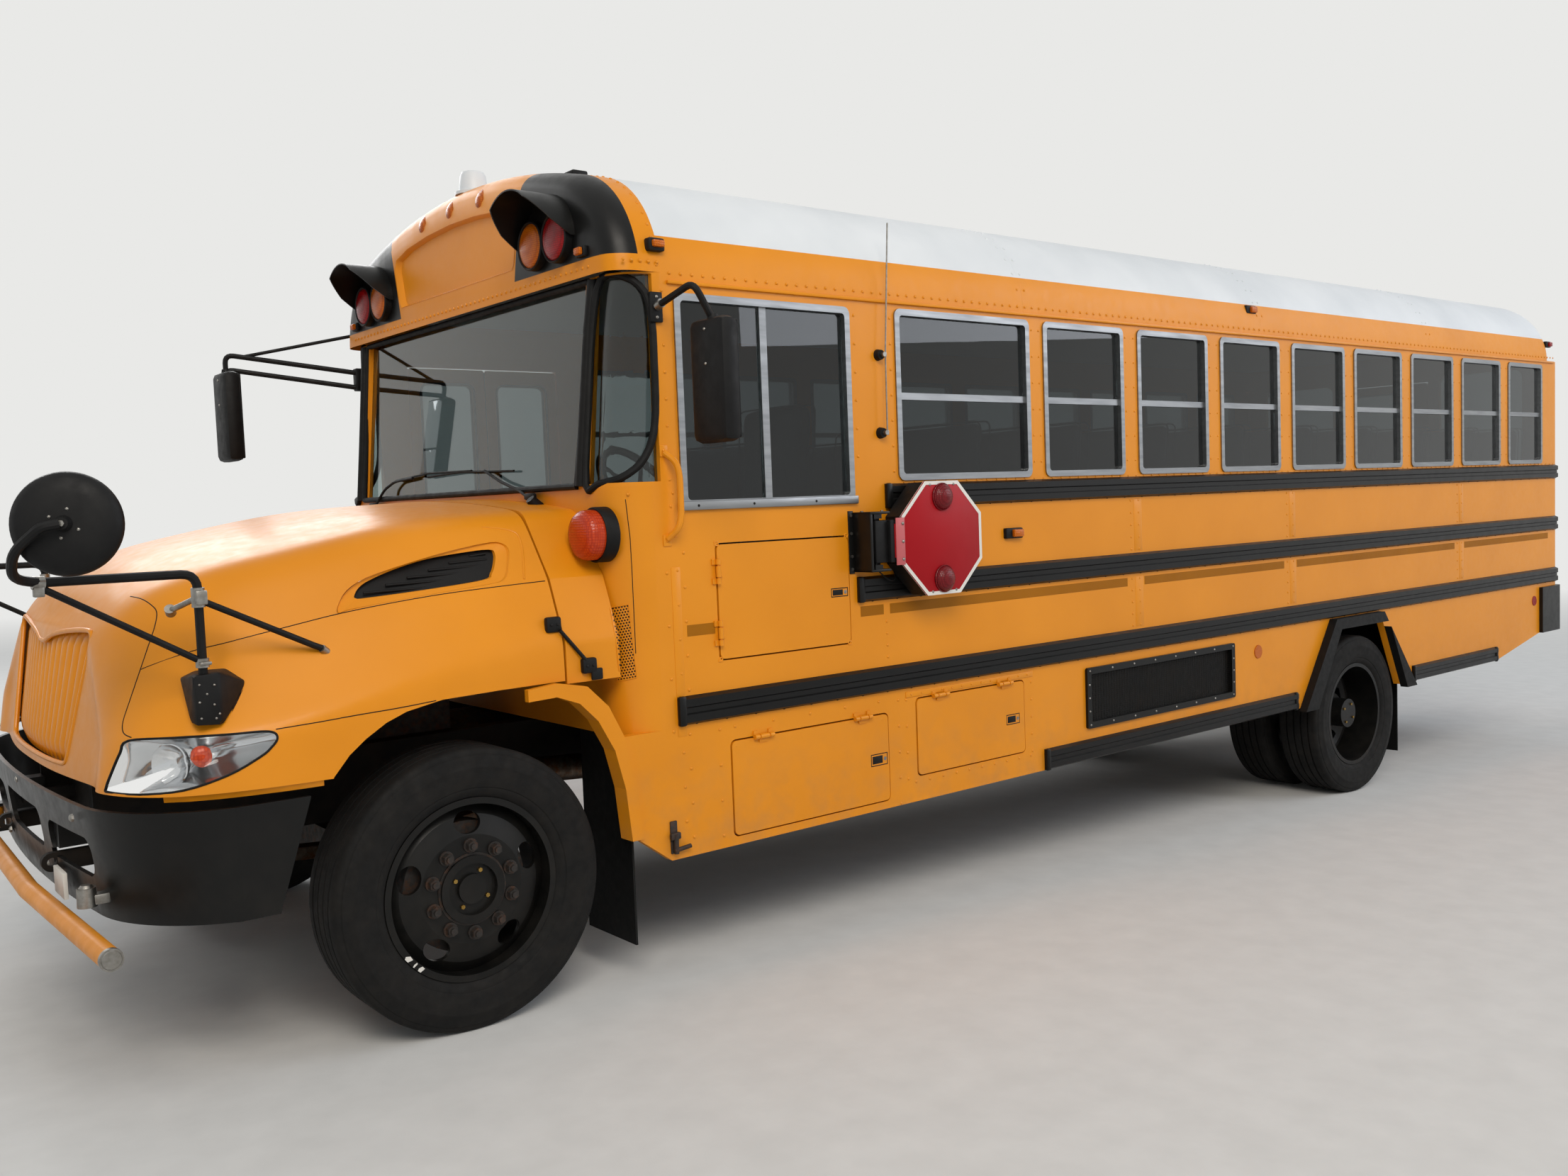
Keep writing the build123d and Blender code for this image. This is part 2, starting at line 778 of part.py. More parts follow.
# Window frames and panes, both sides
pane_depth = 14.0


def window_ring(rectangle, hand, bars_z=(), bars_x=()):
    """An aluminium frame that fills its opening, with its meeting rails."""
    outer = hand * (half_width + frame_proud)
    inner = hand * (half_width - wall)
    with BuildPart() as ring:
        side_panel(rectangle, outer, inner, window_corner)
        daylight = shrink(rectangle, frame_ring)
        side_panel(daylight, outer + hand, inner - hand, window_corner - 14, Mode.SUBTRACT)
        front_x, rear_x, low_z, high_z = shrink(rectangle, frame_ring)
        near = hand * (half_width - 4)
        far = hand * (half_width - 30)
        for z in bars_z:
            block(rear_x, front_x, min(near, far), max(near, far), z - 14, z + 14)
        for x in bars_x:
            block(x - 16, x + 16, min(near, far), max(near, far), low_z, high_z)
    return ring.part


def pane(rectangle, hand):
    near = hand * (half_width - pane_depth)
    far = hand * (half_width - pane_depth - glass)
    with BuildPart() as sheet:
        side_panel(rectangle, near, far, window_corner - 14)
    return sheet.part


with BuildPart() as window_frames:
    for hand in (1, -1):
        for front_x, rear_x in window_rows:
            opening = (front_x, rear_x, window_sill_z, window_head_z)
            add(window_ring(opening, hand, bars_z=(window_mid_z,)))
    add(window_ring(cab_window, 1, bars_x=(cab_window_post_x,)))
keep(window_frames, "window_frames")

with BuildPart() as window_glass:
    for hand in (1, -1):
        for front_x, rear_x in window_rows:
            opening = (front_x, rear_x, window_sill_z, window_head_z)
            front_in, rear_in, low_in, high_in = shrink(opening, frame_ring)
            add(pane((front_in, rear_in, low_in, window_mid_z - 14), hand))
            add(pane((front_in, rear_in, window_mid_z + 14, high_in), hand))
    front_in, rear_in, low_in, high_in = shrink(cab_window, frame_ring)
    add(pane((front_in, cab_window_post_x + 16, low_in, high_in), 1))
    add(pane((cab_window_post_x - 16, rear_in, low_in, high_in), 1))
    with BuildSketch(cross_plane(rear_face_x + pane_depth)):
        for hand in (1, -1):
            with Locations((hand * sum(tail_window) / 2, (window_sill_z + window_head_z) / 2)):
                RectangleRounded(tail_window[1] - tail_window[0], window_head_z - window_sill_z, 60)
    extrude(amount=glass)
keep(window_glass, "window_glass")

# Rub rails: a hat section with two grooves along both sides
rail_edge = 10.0


def rub_rail(low_z, high_z, front_x, rear_x, hand):
    face = half_width + rail_proud
    middle = (low_z + high_z) / 2
    points = [
        (half_width, low_z),
        (face, low_z + rail_edge),
        (face, middle - 14),
        (face - 7, middle - 9),
        (face - 7, middle + 9),
        (face, middle + 14),
        (face, high_z - rail_edge),
        (half_width, high_z),
    ]
    with BuildSketch(cross_plane(rear_x)) as section:
        with BuildLine():
            Polyline(*[(hand * y, z) for y, z in points], close=True)
        make_face()
    extrude(section.sketch, amount=front_x - rear_x)


entry_margin = 40.0
with BuildPart() as rub_rails:
    for low_z, high_z, front_x, rear_x in rail_rows:
        rub_rail(low_z, high_z, front_x, rear_x, 1)
        rub_rail(low_z, high_z, min(front_x, entry_rear_x - entry_margin), rear_x, -1)
keep(rub_rails, "rub_rails")

# Rubber round the rear arches and the flaps behind the wheels
flap_x_rear = -2960.0
flap_thickness = 8.0
front_flap_x = 2622.0
with BuildPart() as wheel_arch_rubber:
    for hand in (1, -1):
        near = hand * half_width
        far = hand * (half_width + flare_proud)
        side_prism(arch_flare, far, near)
        side_prism(arch_opening, far + hand, near - hand, mode=Mode.SUBTRACT)
        low, high = sorted((hand * 640, hand * 1150))
        block(flap_x_rear - flap_thickness, flap_x_rear, low, high, -30, frame_top_z)
        low, high = sorted((hand * (frame_half_width), hand * 1150))
        block(flap_x_rear - flap_thickness, flap_x_rear, low, high, frame_top_z - 60, frame_top_z)
        low, high = sorted((hand * 830, hand * 1150))
        block(front_flap_x - flap_thickness, front_flap_x, low, high, 112, sill_z)
keep(wheel_arch_rubber, "wheel_arch_rubber")


def bumper_outline(z, front_x, inset):
    """The front bumper seen from above, wrapped back along both fenders."""
    nose = front_x - inset
    side = 1190.0 - inset
    shoulder = (nose - 40.0, 800.0 - inset / 2)
    turn = (nose - 145.0, 1045.0 - inset)
    back = (3950.0, side - 12)
    tail = (3740.0, side)
    with BuildSketch(Plane.XY.offset(z)) as outline:
        with BuildLine():
            ThreePointArc((shoulder[0], -shoulder[1]), (nose, 0), shoulder)
            ThreePointArc(shoulder, turn, back)
            Line(back, tail)
            Line(tail, (tail[0], -tail[1]))
            Line((tail[0], -tail[1]), (back[0], -back[1]))
            ThreePointArc((back[0], -back[1]), (turn[0], -turn[1]), (shoulder[0], -shoulder[1]))
        make_face()
    return outline.sketch


def bumper_solid(inset, spill):
    low = bumper_outline(bumper_low_z - spill, bumper_front_x - bumper_undercut, inset)
    high = bumper_outline(bumper_top_z + spill, bumper_front_x, inset)
    loft([low, high])


# Front bumper: a deep wrapped skin with three air openings and its brackets
bumper_undercut = 38.0
with BuildPart() as bumper_core:
    bumper_solid(bumper_skin, 1)
with BuildPart() as front_bumper:
    bumper_solid(0, 0)
    add(bumper_core.part, mode=Mode.SUBTRACT)
    block(3700, 3960, -300, 300, 0, 1000, mode=Mode.SUBTRACT)
    with BuildSketch(cross_plane(4100)):
        with Locations((0, 700)):
            RectangleRounded(560, 130, 40)
        for hand in (1, -1):
            with Locations((hand * 600, 690)):
                RectangleRounded(440, 120, 50)
    extrude(amount=300, mode=Mode.SUBTRACT)
    rear_end = [
        (3700, bumper_low_z - 2),
        (3845, bumper_low_z - 2),
        (3738, bumper_top_z + 2),
        (3700, bumper_top_z + 2),
    ]
    side_prism(rear_end, 1300, -1300, mode=Mode.SUBTRACT)
    for hand in (1, -1):
        low, high = sorted((hand * (frame_half_width - frame_flange), hand * frame_half_width))
        block(
            frame_front_x,
            bumper_front_x - bumper_undercut - 4,
            low,
            high,
            frame_top_z - frame_depth + 70,
            frame_top_z - 80,
        )
        low, high = sorted((hand * (tow_eye_y - 24), hand * (tow_eye_y + 24)))
        block(
            frame_front_x,
            bumper_front_x + 10,
            low,
            high,
            tow_eye_z - 42,
            tow_eye_z + 42,
            mode=Mode.SUBTRACT,
        )
    plate_low, plate_high = crossing_hinge[1] - 34, crossing_hinge[1] + 34
    block(4196, crossing_hinge[0] - 37, plate_low, plate_high, crossing_z - 55, crossing_z + 55)
    for z in (crossing_z - 55, crossing_z + 45):
        block(4196, crossing_hinge[0] + 24, plate_low, plate_high, z, z + 10)
    rod((*crossing_hinge, crossing_z - 50), (*crossing_hinge, crossing_z + 50), 10)
keep(front_bumper, "front_bumper")

# Rear bumper: a channel that wraps the corners
rear_bumper_low_z = 530.0
rear_bumper_high_z = 850.0
with BuildPart() as rear_bumper:
    block(rear_bumper_x, -4914, -half_width - 24, half_width + 24, rear_bumper_low_z, rear_bumper_high_z)
    fillet(rear_bumper.edges().filter_by(Axis.Z).group_by(Axis.X)[0], 60)
    block(rear_face_x, -4900, -half_width, half_width, 500, 900, mode=Mode.SUBTRACT)
keep(rear_bumper, "rear_bumper")

# Hood with both fenders: one skin that tips forward
grille_top_half = 520.0
grille_low_half = 430.0
grille_low_h = 45.0
grille_high_h = 400.0
nose_plane = Plane(
    origin=(4262.0, 0, nose_sill_z),
    x_dir=(0, 1, 0),
    z_dir=(cos(radians(9)), 0, sin(radians(9))),
)
fender_arch = [
    (2700, 800),
    (2700, 1090),
    (2900, 1090),
    (3318, 1084),
    (3565, 1000),
    (3680, 880),
    (3680, 800),
]
# Each hinge arm swings back behind the bumper's lip before it reaches the nose
hood_arm = [
    (hood_pivot[0] + 22, hood_pivot[1] - 22),
    (hood_pivot[0] + 22, hood_pivot[1] + 10),
    (4106.0, 846.0),
    (4106.0, 900.0),
    (4258.0, 900.0),
    (4255.0, 918.0),
    (4078.0, 918.0),
    (4078.0, 832.0),
    (hood_pivot[0] - 22, hood_pivot[1] - 22),
]
# Headlamp outline in side view and the front corner that it wraps
lamp_outline = [
    (3826.0, 1030.0),
    (3960.0, 932.0),
    (4100.0, 893.0),
    (4330.0, 893.0),
    (4330.0, 1058.0),
    (4100.0, 1058.0),
]
lamp_inner_y = 860.0
vent_outline = [(3560.0, 1412.0), (3330.0, 1490.0), (3110.0, 1540.0), (3110.0, 1452.0), (3400.0, 1412.0)]


with BuildPart() as headlamp_space:
    for hand in (1, -1):
        side_prism(lamp_outline, hand * 1300, hand * lamp_inner_y)
with BuildPart() as vent_space:
    for hand in (1, -1):
        side_prism(vent_outline, hand * 1300, hand * 850)
with BuildPart() as grille_space:
    with BuildSketch(nose_plane.offset(-120)):
        with BuildLine():
            Polyline(
                (-grille_low_half, grille_low_h),
                (grille_low_half, grille_low_h),
                (grille_top_half, grille_high_h - 40),
                (0, grille_high_h),
                (-grille_top_half, grille_high_h - 40),
                close=True,
            )
        make_face()
    extrude(amount=240)
with BuildPart() as hood_outer:
    hood_body(0, 0, 0, 0)
with BuildPart() as hood_core:
    hood_body(hood_skin, 40, 60, -hood_skin)
with BuildPart() as hood:
    add(hood_outer.part)
    add(hood_core.part, mode=Mode.SUBTRACT)
    side_prism(fender_arch, 1300, -1300, mode=Mode.SUBTRACT)
    add(grille_space.part, mode=Mode.SUBTRACT)
    add(headlamp_space.part, mode=Mode.SUBTRACT)
    add(vent_space.part, mode=Mode.SUBTRACT)
    for hand in (1, -1):
        arm_face = hand * hood_pivot_y + hood_arm_thickness / 2
        side_prism(hood_arm, arm_face, arm_face - hood_arm_thickness)
        turned(
            hood_pivot[0],
            hood_pivot_y - hood_arm_thickness,
            hood_pivot_y + hood_arm_thickness,
            hood_pivot[1],
            hood_pivot_radius + running_fit,
            hand,
            Mode.SUBTRACT,
        )
keep(hood, "hood")

# Headlamps fill the nose corners, their backs a little deeper than the skin
lamp_depth = 60.0
with BuildPart() as lamp_core:
    hood_body(lamp_depth, 60, 60, -lamp_depth)
with BuildPart() as headlamps:
    add(hood_outer.part)
    add(headlamp_space.part, mode=Mode.INTERSECT)
    add(lamp_core.part, mode=Mode.SUBTRACT)
keep(headlamps, "headlamps")

# Black louvred vents in the hood's sides
with BuildPart() as hood_vents:
    add(hood_outer.part)
    add(vent_space.part, mode=Mode.INTERSECT)
    add(hood_core.part, mode=Mode.SUBTRACT)
keep(hood_vents, "hood_vents")

# Ribbed grille: a backing panel and upright ribs that fan out towards the top
rib_count = 14
with BuildPart() as grille:
    with BuildSketch(nose_plane.offset(-40)):
        with BuildLine():
            Polyline(
                (-grille_low_half, grille_low_h),
                (grille_low_half, grille_low_h),
                (grille_top_half, grille_high_h - 40),
                (0, grille_high_h),
                (-grille_top_half, grille_high_h - 40),
                close=True,
            )
        make_face()
    extrude(amount=20)
    for number in range(rib_count):
        share = (number - (rib_count - 1) / 2) / (rib_count / 2)
        rib_plane = nose_plane.offset(-24)
        low = rib_plane.from_local_coords((share * (grille_low_half - 4), grille_low_h + 6, 0))
        high = rib_plane.from_local_coords((share * (grille_top_half - 4), grille_high_h - 48, 0))
        rod((low.X, low.Y, low.Z), (high.X, high.Y, high.Z), 24)
keep(grille, "grille")

# Cross view mirrors on their posts, one on each fender
post_x = 3992.0
post_y = 1100.0
post_radius = 13.0
dish_radius = 135.0
dish_centre = (4345.0, 1275.0, 1667.0)
with BuildPart() as cross_view_mirrors:
    for hand in (1, -1):
        bent_tube(
            [
                (post_x, hand * post_y, 1200),
                (post_x, hand * post_y, 1514),
                (4400, hand * (post_y + 30), 1518),
                (4420, hand * (post_y + 120), 1560),
                (dish_centre[0] + 10, hand * (dish_centre[1] + 40), dish_centre[2]),
            ],
            20,
            post_radius,
        )
        rod((post_x, hand * post_y, 1450), (4040, hand * 980, 1400), 9)
        rod((post_x, hand * post_y, 1450), (3640, hand * 1085, 1262), 9)
        rod((post_x, hand * post_y, 1260), (4395, hand * (post_y + 30), 1518), 10)
        block(3945, 4025, *sorted((hand * 1060, hand * 1125)), 1080, 1232)
        facing = Vector(0.4, hand * 0.9, 0)
        with BuildSketch(Plane(origin=(dish_centre[0], hand * dish_centre[1], dish_centre[2]), z_dir=facing)):
            Circle(dish_radius)
        extrude(amount=45, both=True)
    add(hood_outer.part, mode=Mode.SUBTRACT)
keep(cross_view_mirrors, "cross_view_mirrors")

# Warning lamps, four at each end
warning_radius = 89.0
warning_rows = [(879.0, 2620.0), (705.0, 2620.0)]
lamp_bezel = 30.0
with BuildPart() as warning_lamps:
    for hand in (1, -1):
        for y, z in warning_rows:
            with BuildSketch(cross_plane(cap_front_x)):
                with Locations((hand * y, z)):
                    Circle(warning_radius - 6)
            extrude(amount=lamp_bezel)
            with BuildSketch(cross_plane(rear_face_x)):
                with Locations((hand * y, z - 40)):
                    Circle(warning_radius - 6)
            extrude(amount=-lamp_bezel)
keep(warning_lamps, "warning_lamps")

# Hoods over the warning lamps: one deep scoop on each side shades a pair
visor_depth = 165.0
visor_middle_y = 792.0
visor_low_z = 2614.0
visor_half_y = 190.0
visor_rise = 174.0
visor_skin = 5.0
visor_lip = [
    (cap_front_x + 20, visor_low_z - 1),
    (cap_front_x + visor_depth + 1, visor_low_z - 1),
    (cap_front_x + visor_depth + 1, visor_low_z + 130),
    (cap_front_x + 95, visor_low_z + 52),
]
with BuildPart() as lamp_visors:
    for hand in (1, -1):
        with BuildSketch(cross_plane(cap_front_x)):
            with Locations((hand * visor_middle_y, visor_low_z)):
                Ellipse(visor_half_y, visor_rise)
                Ellipse(visor_half_y - visor_skin, visor_rise - visor_skin, mode=Mode.SUBTRACT)
            with Locations((hand * visor_middle_y, visor_low_z - visor_rise / 2 - 1)):
                Rectangle(2 * visor_half_y + 20, visor_rise + 2, mode=Mode.SUBTRACT)
        extrude(amount=visor_depth)
    side_prism(visor_lip, 1300, -1300, mode=Mode.SUBTRACT)
keep(lamp_visors, "lamp_visors")

# Marker, tail and turn lamps
cluster_rows = [(0.0, 2904.0), (267.0, 2895.0), (-267.0, 2895.0)]
with BuildPart() as marker_lamps:
    for y, z in cluster_rows:
        with BuildSketch(cross_plane(cap_front_x - wall + 2)):
            with Locations((y, z)):
                RectangleRounded(110, 40, 18)
        extrude(amount=wall + 18)
    for hand in (1, -1):
        with BuildSketch(cross_plane(cowl_front_x)):
            with Locations((hand * 1120, 1565)):
                Circle(90)
        extrude(amount=100)
        for y, z, radius in ((1020, 1480, 90), (1020, 1180, 60), (800, 1480, 50)):
            with BuildSketch(cross_plane(rear_face_x)):
                with Locations((hand * y, z)):
                    Circle(radius)
            extrude(amount=-35)
        side_panel((680, 620, 1465, 1501), hand * half_width, hand * (half_width + 22), 12)
    add(front_roof_cap.part, mode=Mode.SUBTRACT)
keep(marker_lamps, "marker_lamps")

# Rear view mirrors: a head on a bent arm at each front corner
left_head = (2395.0, 1450.0, 2070.0)
right_head = (3130.0, -1400.0, 2150.0)
head_size = (80.0, 200.0, 420.0)
mirror_tube = 12.0
with BuildPart() as rear_view_mirrors:
    for centre in (left_head, right_head):
        with Locations(centre):
            Box(*head_size)
    fillet(rear_view_mirrors.edges().filter_by(Axis.Z), 30)
    bent_tube([(2470, half_width - 10, 2340), (2470, 1450, 2390), (2395, 1450, 2270)], 40, mirror_tube)
    block(2445, 2495, half_width, half_width + 14, 2290, 2390)
    for drop in (0, 70):
        bent_tube(
            [(2590, -1180, 2350 - drop), (3130, -1400, 2440 - drop), (3130, -1400, 2350 - drop)],
            40,
            mirror_tube,
        )
    rod((2560, -1150, 2540), (3050, -1370, 2430), 9)
    add(front_body.part, mode=Mode.SUBTRACT)
    add(front_roof_cap.part, mode=Mode.SUBTRACT)
keep(rear_view_mirrors, "rear_view_mirrors")

# Front axle: a dropped beam with its king pin eyes
beam_z = 400.0
with BuildPart() as front_axle:
    block(front_axle_x - 50, front_axle_x + 50, -560, 560, beam_z - 60, beam_z + 50)
    for hand in (1, -1):
        side_low, side_high = sorted((hand * 520, hand * (king_pin_y - 62)))
        block(front_axle_x - 45, front_axle_x + 45, side_low, side_high, beam_z - 40, beam_z + 60)
        with BuildSketch(Plane.XY.offset(beam_z - 40)):
            with Locations((front_axle_x, hand * king_pin_y)):
                Circle(42)
        extrude(amount=110)
        low, high = sorted((hand * (king_pin_y - 70), hand * (king_pin_y - 20)))
        block(front_axle_x - 30, front_axle_x + 30, low, high, beam_z - 40, beam_z + 60)
        with BuildSketch(Plane.XY.offset(beam_z - 80)):
            with Locations((front_axle_x, hand * king_pin_y)):
                Circle(20)
        extrude(amount=190)
keep(front_axle, "front_axle")


def knuckle(hand):
    """A forked knuckle round the king pin with the spindle that the hub turns on."""
    outer = king_pin_y + 80
    low, high = sorted((hand * (king_pin_y + 55), hand * outer))
    block(front_axle_x - 55, front_axle_x + 55, low, high, beam_z - 90, beam_z + 130)
    for z_low in (beam_z - 85, beam_z + 80):
        rod((front_axle_x, hand * king_pin_y, z_low), (front_axle_x, hand * king_pin_y, z_low + 35), 45)
        low, high = sorted((hand * king_pin_y, hand * (king_pin_y + 60)))
        block(front_axle_x - 40, front_axle_x + 40, low, high, z_low, z_low + 35)
        pin_bottom = (front_axle_x, hand * king_pin_y, z_low - 1)
        pin_top = (front_axle_x, hand * king_pin_y, z_low + 39)
        rod(pin_bottom, pin_top, 20 + spindle_fit, Mode.SUBTRACT)
    rod(
        (front_axle_x, hand * (outer - 5), front_hub_z),
        (front_axle_x, hand * (front_wheel_y + 60), front_hub_z),
        spindle_radius,
    )


with BuildPart() as knuckle_left:
    knuckle(1)
keep(knuckle_left, "knuckle_left")
with BuildPart() as knuckle_right:
    knuckle(-1)
keep(knuckle_right, "knuckle_right")


def wheel_section_plane(x, y, z, hand):
    """A plane through a wheel's axis: its own x runs outward from the wheel's centre, its y is the radius."""
    return Plane(origin=(x, hand * y, z), x_dir=(0, hand, 0), z_dir=(hand, 0, 0))


def tyre_drum(x, y, z, rings, mode=Mode.ADD):
    """A faceted drum on a wheel's axis, through rings of (offset along the axis, radius to a flat)."""
    sections = []
    for offset, flat_radius in rings:
        with BuildSketch(side_plane(y + offset)) as ring:
            with Locations((x, z)):
                RegularPolygon(flat_radius, tyre_facets, major_radius=False, rotation=rake)
        sections.append(ring.sketch.face())
    loft(sections=sections, ruled=True, mode=mode)


def tyre(x, y, z):
    """One tyre: tread and bulged walls, with the bore and the beads' slopes cut out of the drum."""
    bore = rim_bed_radius + tyre_fit
    bead = rim_width / 2 - 13
    belly = tyre_width / 2
    shoulder = belly - 22
    belly_radius = bore + 82
    edge_radius = belly_radius + 6
    outside = [(-belly, edge_radius), (-shoulder, tyre_radius), (shoulder, tyre_radius), (belly, edge_radius)]
    inside = [(-belly, belly_radius), (-bead, bore), (bead, bore), (belly, belly_radius)]
    tyre_drum(x, y, z, outside)
    tyre_drum(x, y, z, inside, Mode.SUBTRACT)


def rim_points(disc):
    """Half section of a rim: flanges, bed and a dished disc, from its outer lip round to its inner lip."""
    edge = rim_width / 2
    lip = edge - 8
    under = rim_bed_radius - rim_wall
    points = [(edge, under), (edge, rim_flange_radius), (lip, rim_flange_radius), (lip, rim_bed_radius)]
    points += [(-lip, rim_bed_radius), (-lip, rim_flange_radius), (-edge, rim_flange_radius), (-edge, under)]
    return points + disc


front_disc = [(30, 277), (58, 232), (78, 172), (78, 110), (92, 110), (92, 176), (74, 240), (48, 277)]
dual_disc = [
    (-105, 262),
    (-140, 215),
    (-165, 180),
    (-165, 110),
    (-152, 110),
    (-152, 172),
    (-126, 208),
    (-88, 262),
    (-84, 277),
]
hand_hole_count = 5
hand_hole_circle = 216.0


def rim(x, y, z, hand, disc):
    with BuildSketch(wheel_section_plane(x, y, z, hand)) as section:
        with BuildLine():
            Polyline(*rim_points(disc), close=True)
        make_face()
    revolve(section.sketch, axis=Axis((x, hand * y, z), (0, 1, 0)))


def hand_holes(x, y_from, y_to, z, hand):
    with BuildSketch(side_plane(hand * y_to)) as holes:
        with Locations((x, z)):
            with PolarLocations(hand_hole_circle, hand_hole_count, start_angle=18):
                Ellipse(36, 46)
    extrude(holes.sketch, amount=hand * (y_to - y_from), mode=Mode.SUBTRACT)


def front_rim(hand):
    rim(front_axle_x, front_wheel_y, front_hub_z, hand, front_disc)
    hand_holes(front_axle_x, front_wheel_y + 20, front_wheel_y + 110, front_hub_z, hand)
    turned(front_axle_x, front_wheel_y - 60, front_wheel_y + 104, front_hub_z, hub_pilot_radius, hand)
    turned(front_axle_x, front_wheel_y + 84, front_wheel_y + 105, front_hub_z, 84, hand, Mode.SUBTRACT)
    turned(front_axle_x, front_wheel_y + 80, front_wheel_y + 98, front_hub_z, 48, hand)
    turned(
        front_axle_x,
        front_wheel_y - 80,
        front_wheel_y + 66,
        front_hub_z,
        spindle_radius + spindle_fit,
        hand,
        Mode.SUBTRACT,
    )


def rear_rim(hand):
    rim(rear_axle_x, rear_wheel_y, rear_hub_z, hand, dual_disc)
    rim(rear_axle_x, rear_wheel_y - dual_spacing, rear_hub_z, hand, [(-u, r) for u, r in reversed(dual_disc)])
    mount_y = rear_wheel_y - dual_spacing / 2
    hand_holes(rear_axle_x, mount_y - 60, mount_y + 60, rear_hub_z, hand)
    turned(rear_axle_x, mount_y - 160, mount_y + 130, rear_hub_z, hub_pilot_radius, hand)
    turned(rear_axle_x, mount_y + 130, mount_y + 230, rear_hub_z, 84, hand)
    turned(
        rear_axle_x,
        mount_y - 161,
        mount_y + 60,
        rear_hub_z,
        axle_tube_radius + spindle_fit,
        hand,
        Mode.SUBTRACT,
    )


axle_tube_radius = 62.0
for hand, side in ((1, "left"), (-1, "right")):
    with BuildPart() as front_tyre:
        tyre(front_axle_x, hand * front_wheel_y, front_hub_z)
    keep(front_tyre, f"front_tyre_{side}")
    with BuildPart() as front_wheel:
        front_rim(hand)
    keep(front_wheel, f"front_wheel_{side}")
    with BuildPart() as rear_tyres:
        tyre(rear_axle_x, hand * rear_wheel_y, rear_hub_z)
        tyre(rear_axle_x, hand * (rear_wheel_y - dual_spacing), rear_hub_z)
    keep(rear_tyres, f"rear_tyres_{side}")
    with BuildPart() as rear_wheels:
        rear_rim(hand)
    keep(rear_wheels, f"rear_wheels_{side}")

# Rear axle: tube and banjo
with BuildPart() as rear_axle:
    reach = rear_wheel_y - dual_spacing / 2 + 40
    rod((rear_axle_x, -reach, rear_hub_z), (rear_axle_x, reach, rear_hub_z), axle_tube_radius)
    rod(tuple(rear_axle_centre), tuple(shaft_rear), shaft_radius + 20)
    with Locations((rear_axle_x, 0, rear_hub_z)):
        Sphere(205)
keep(rear_axle, "rear_axle")

# Leaf springs: arched packs between hangers under the frame
spring_width = 75.0
spring_thickness = 44.0


def leaf_spring(axle_x, seat_z, span):
    low = frame_top_z - frame_depth
    eye_z = low - 60
    for hand in (1, -1):
        y_mid = hand * (frame_half_width - spring_width / 2)
        with BuildSketch(side_plane(y_mid + spring_width / 2)) as pack:
            with BuildLine():
                ThreePointArc((axle_x - span, eye_z), (axle_x, seat_z), (axle_x + span, eye_z))
                Line((axle_x + span, eye_z), (axle_x + span, eye_z + spring_thickness))
                ThreePointArc(
                    (axle_x + span, eye_z + spring_thickness),
                    (axle_x, seat_z + spring_thickness),
                    (axle_x - span, eye_z + spring_thickness),
                )
                Line((axle_x - span, eye_z + spring_thickness), (axle_x - span, eye_z))
            make_face()
        extrude(pack.sketch, amount=spring_width)
        for end in (-span + 20, span - 20):
            block(
                axle_x + end - 20,
                axle_x + end + 20,
                y_mid - spring_width / 2,
                y_mid + spring_width / 2,
                eye_z,
                low,
            )


with BuildPart() as leaf_springs:
    leaf_spring(front_axle_x, beam_z + 50, 640)
    leaf_spring(rear_axle_x, rear_hub_z + axle_tube_radius, 760)
keep(leaf_springs, "leaf_springs")

# Drive shaft and exhaust
with BuildPart() as drive_shaft:
    rod(tuple(shaft_front), tuple(shaft_rear), shaft_radius)
keep(drive_shaft, "drive_shaft")
with BuildPart() as exhaust:
    bent_tube(
        [
            (2860, exhaust_y, tailpipe_z + 40),
            (2300, exhaust_y, tailpipe_z),
            (-1100, exhaust_y, tailpipe_z),
            (-1700, exhaust_y, tailpipe_z + 50),
            (-3100, exhaust_y, tailpipe_z + 50),
            (-4100, exhaust_y, tailpipe_z),
            (tailpipe_end_x, exhaust_y, tailpipe_z),
        ],
        160,
        exhaust_radius,
    )
    rod((900, exhaust_y, tailpipe_z), (-300, exhaust_y, tailpipe_z), 120)
    for x in (1500, -900, -4300):
        block(x - 15, x + 15, frame_half_width, exhaust_y, tailpipe_z + 40, tailpipe_z + 70)
keep(exhaust, "exhaust")

# Bench seats, one row for each window
seat_pitch = 688.0
seat_rows = 9
seat_inner_y = 190.0
seat_outer_y = half_width - wall - 14
cushion_z = floor_z + 330.0


def bench(x, hand):
    low, high = sorted((hand * seat_inner_y, hand * seat_outer_y))
    block(x, x + 440, low, high, cushion_z, cushion_z + 120)
    with BuildSketch(side_plane(high)) as back:
        with BuildLine():
            Polyline(
                (x - 60, cushion_z + 740),
                (x + 10, cushion_z + 740),
                (x + 70, cushion_z + 60),
                (x, cushion_z + 60),
                close=True,
            )
        make_face()
    extrude(back.sketch, amount=high - low)
    for leg_x in (x + 40, x + 380):
        for leg_y in (hand * (seat_inner_y + 120), hand * (seat_outer_y - 60)):
            block(leg_x - 16, leg_x + 16, leg_y - 16, leg_y + 16, floor_z, cushion_z)


for hand, side in ((1, "left"), (-1, "right")):
    with BuildPart() as benches:
        for number in range(seat_rows):
            bench(760 - number * seat_pitch, hand)
    keep(benches, f"bench_seats_{side}")

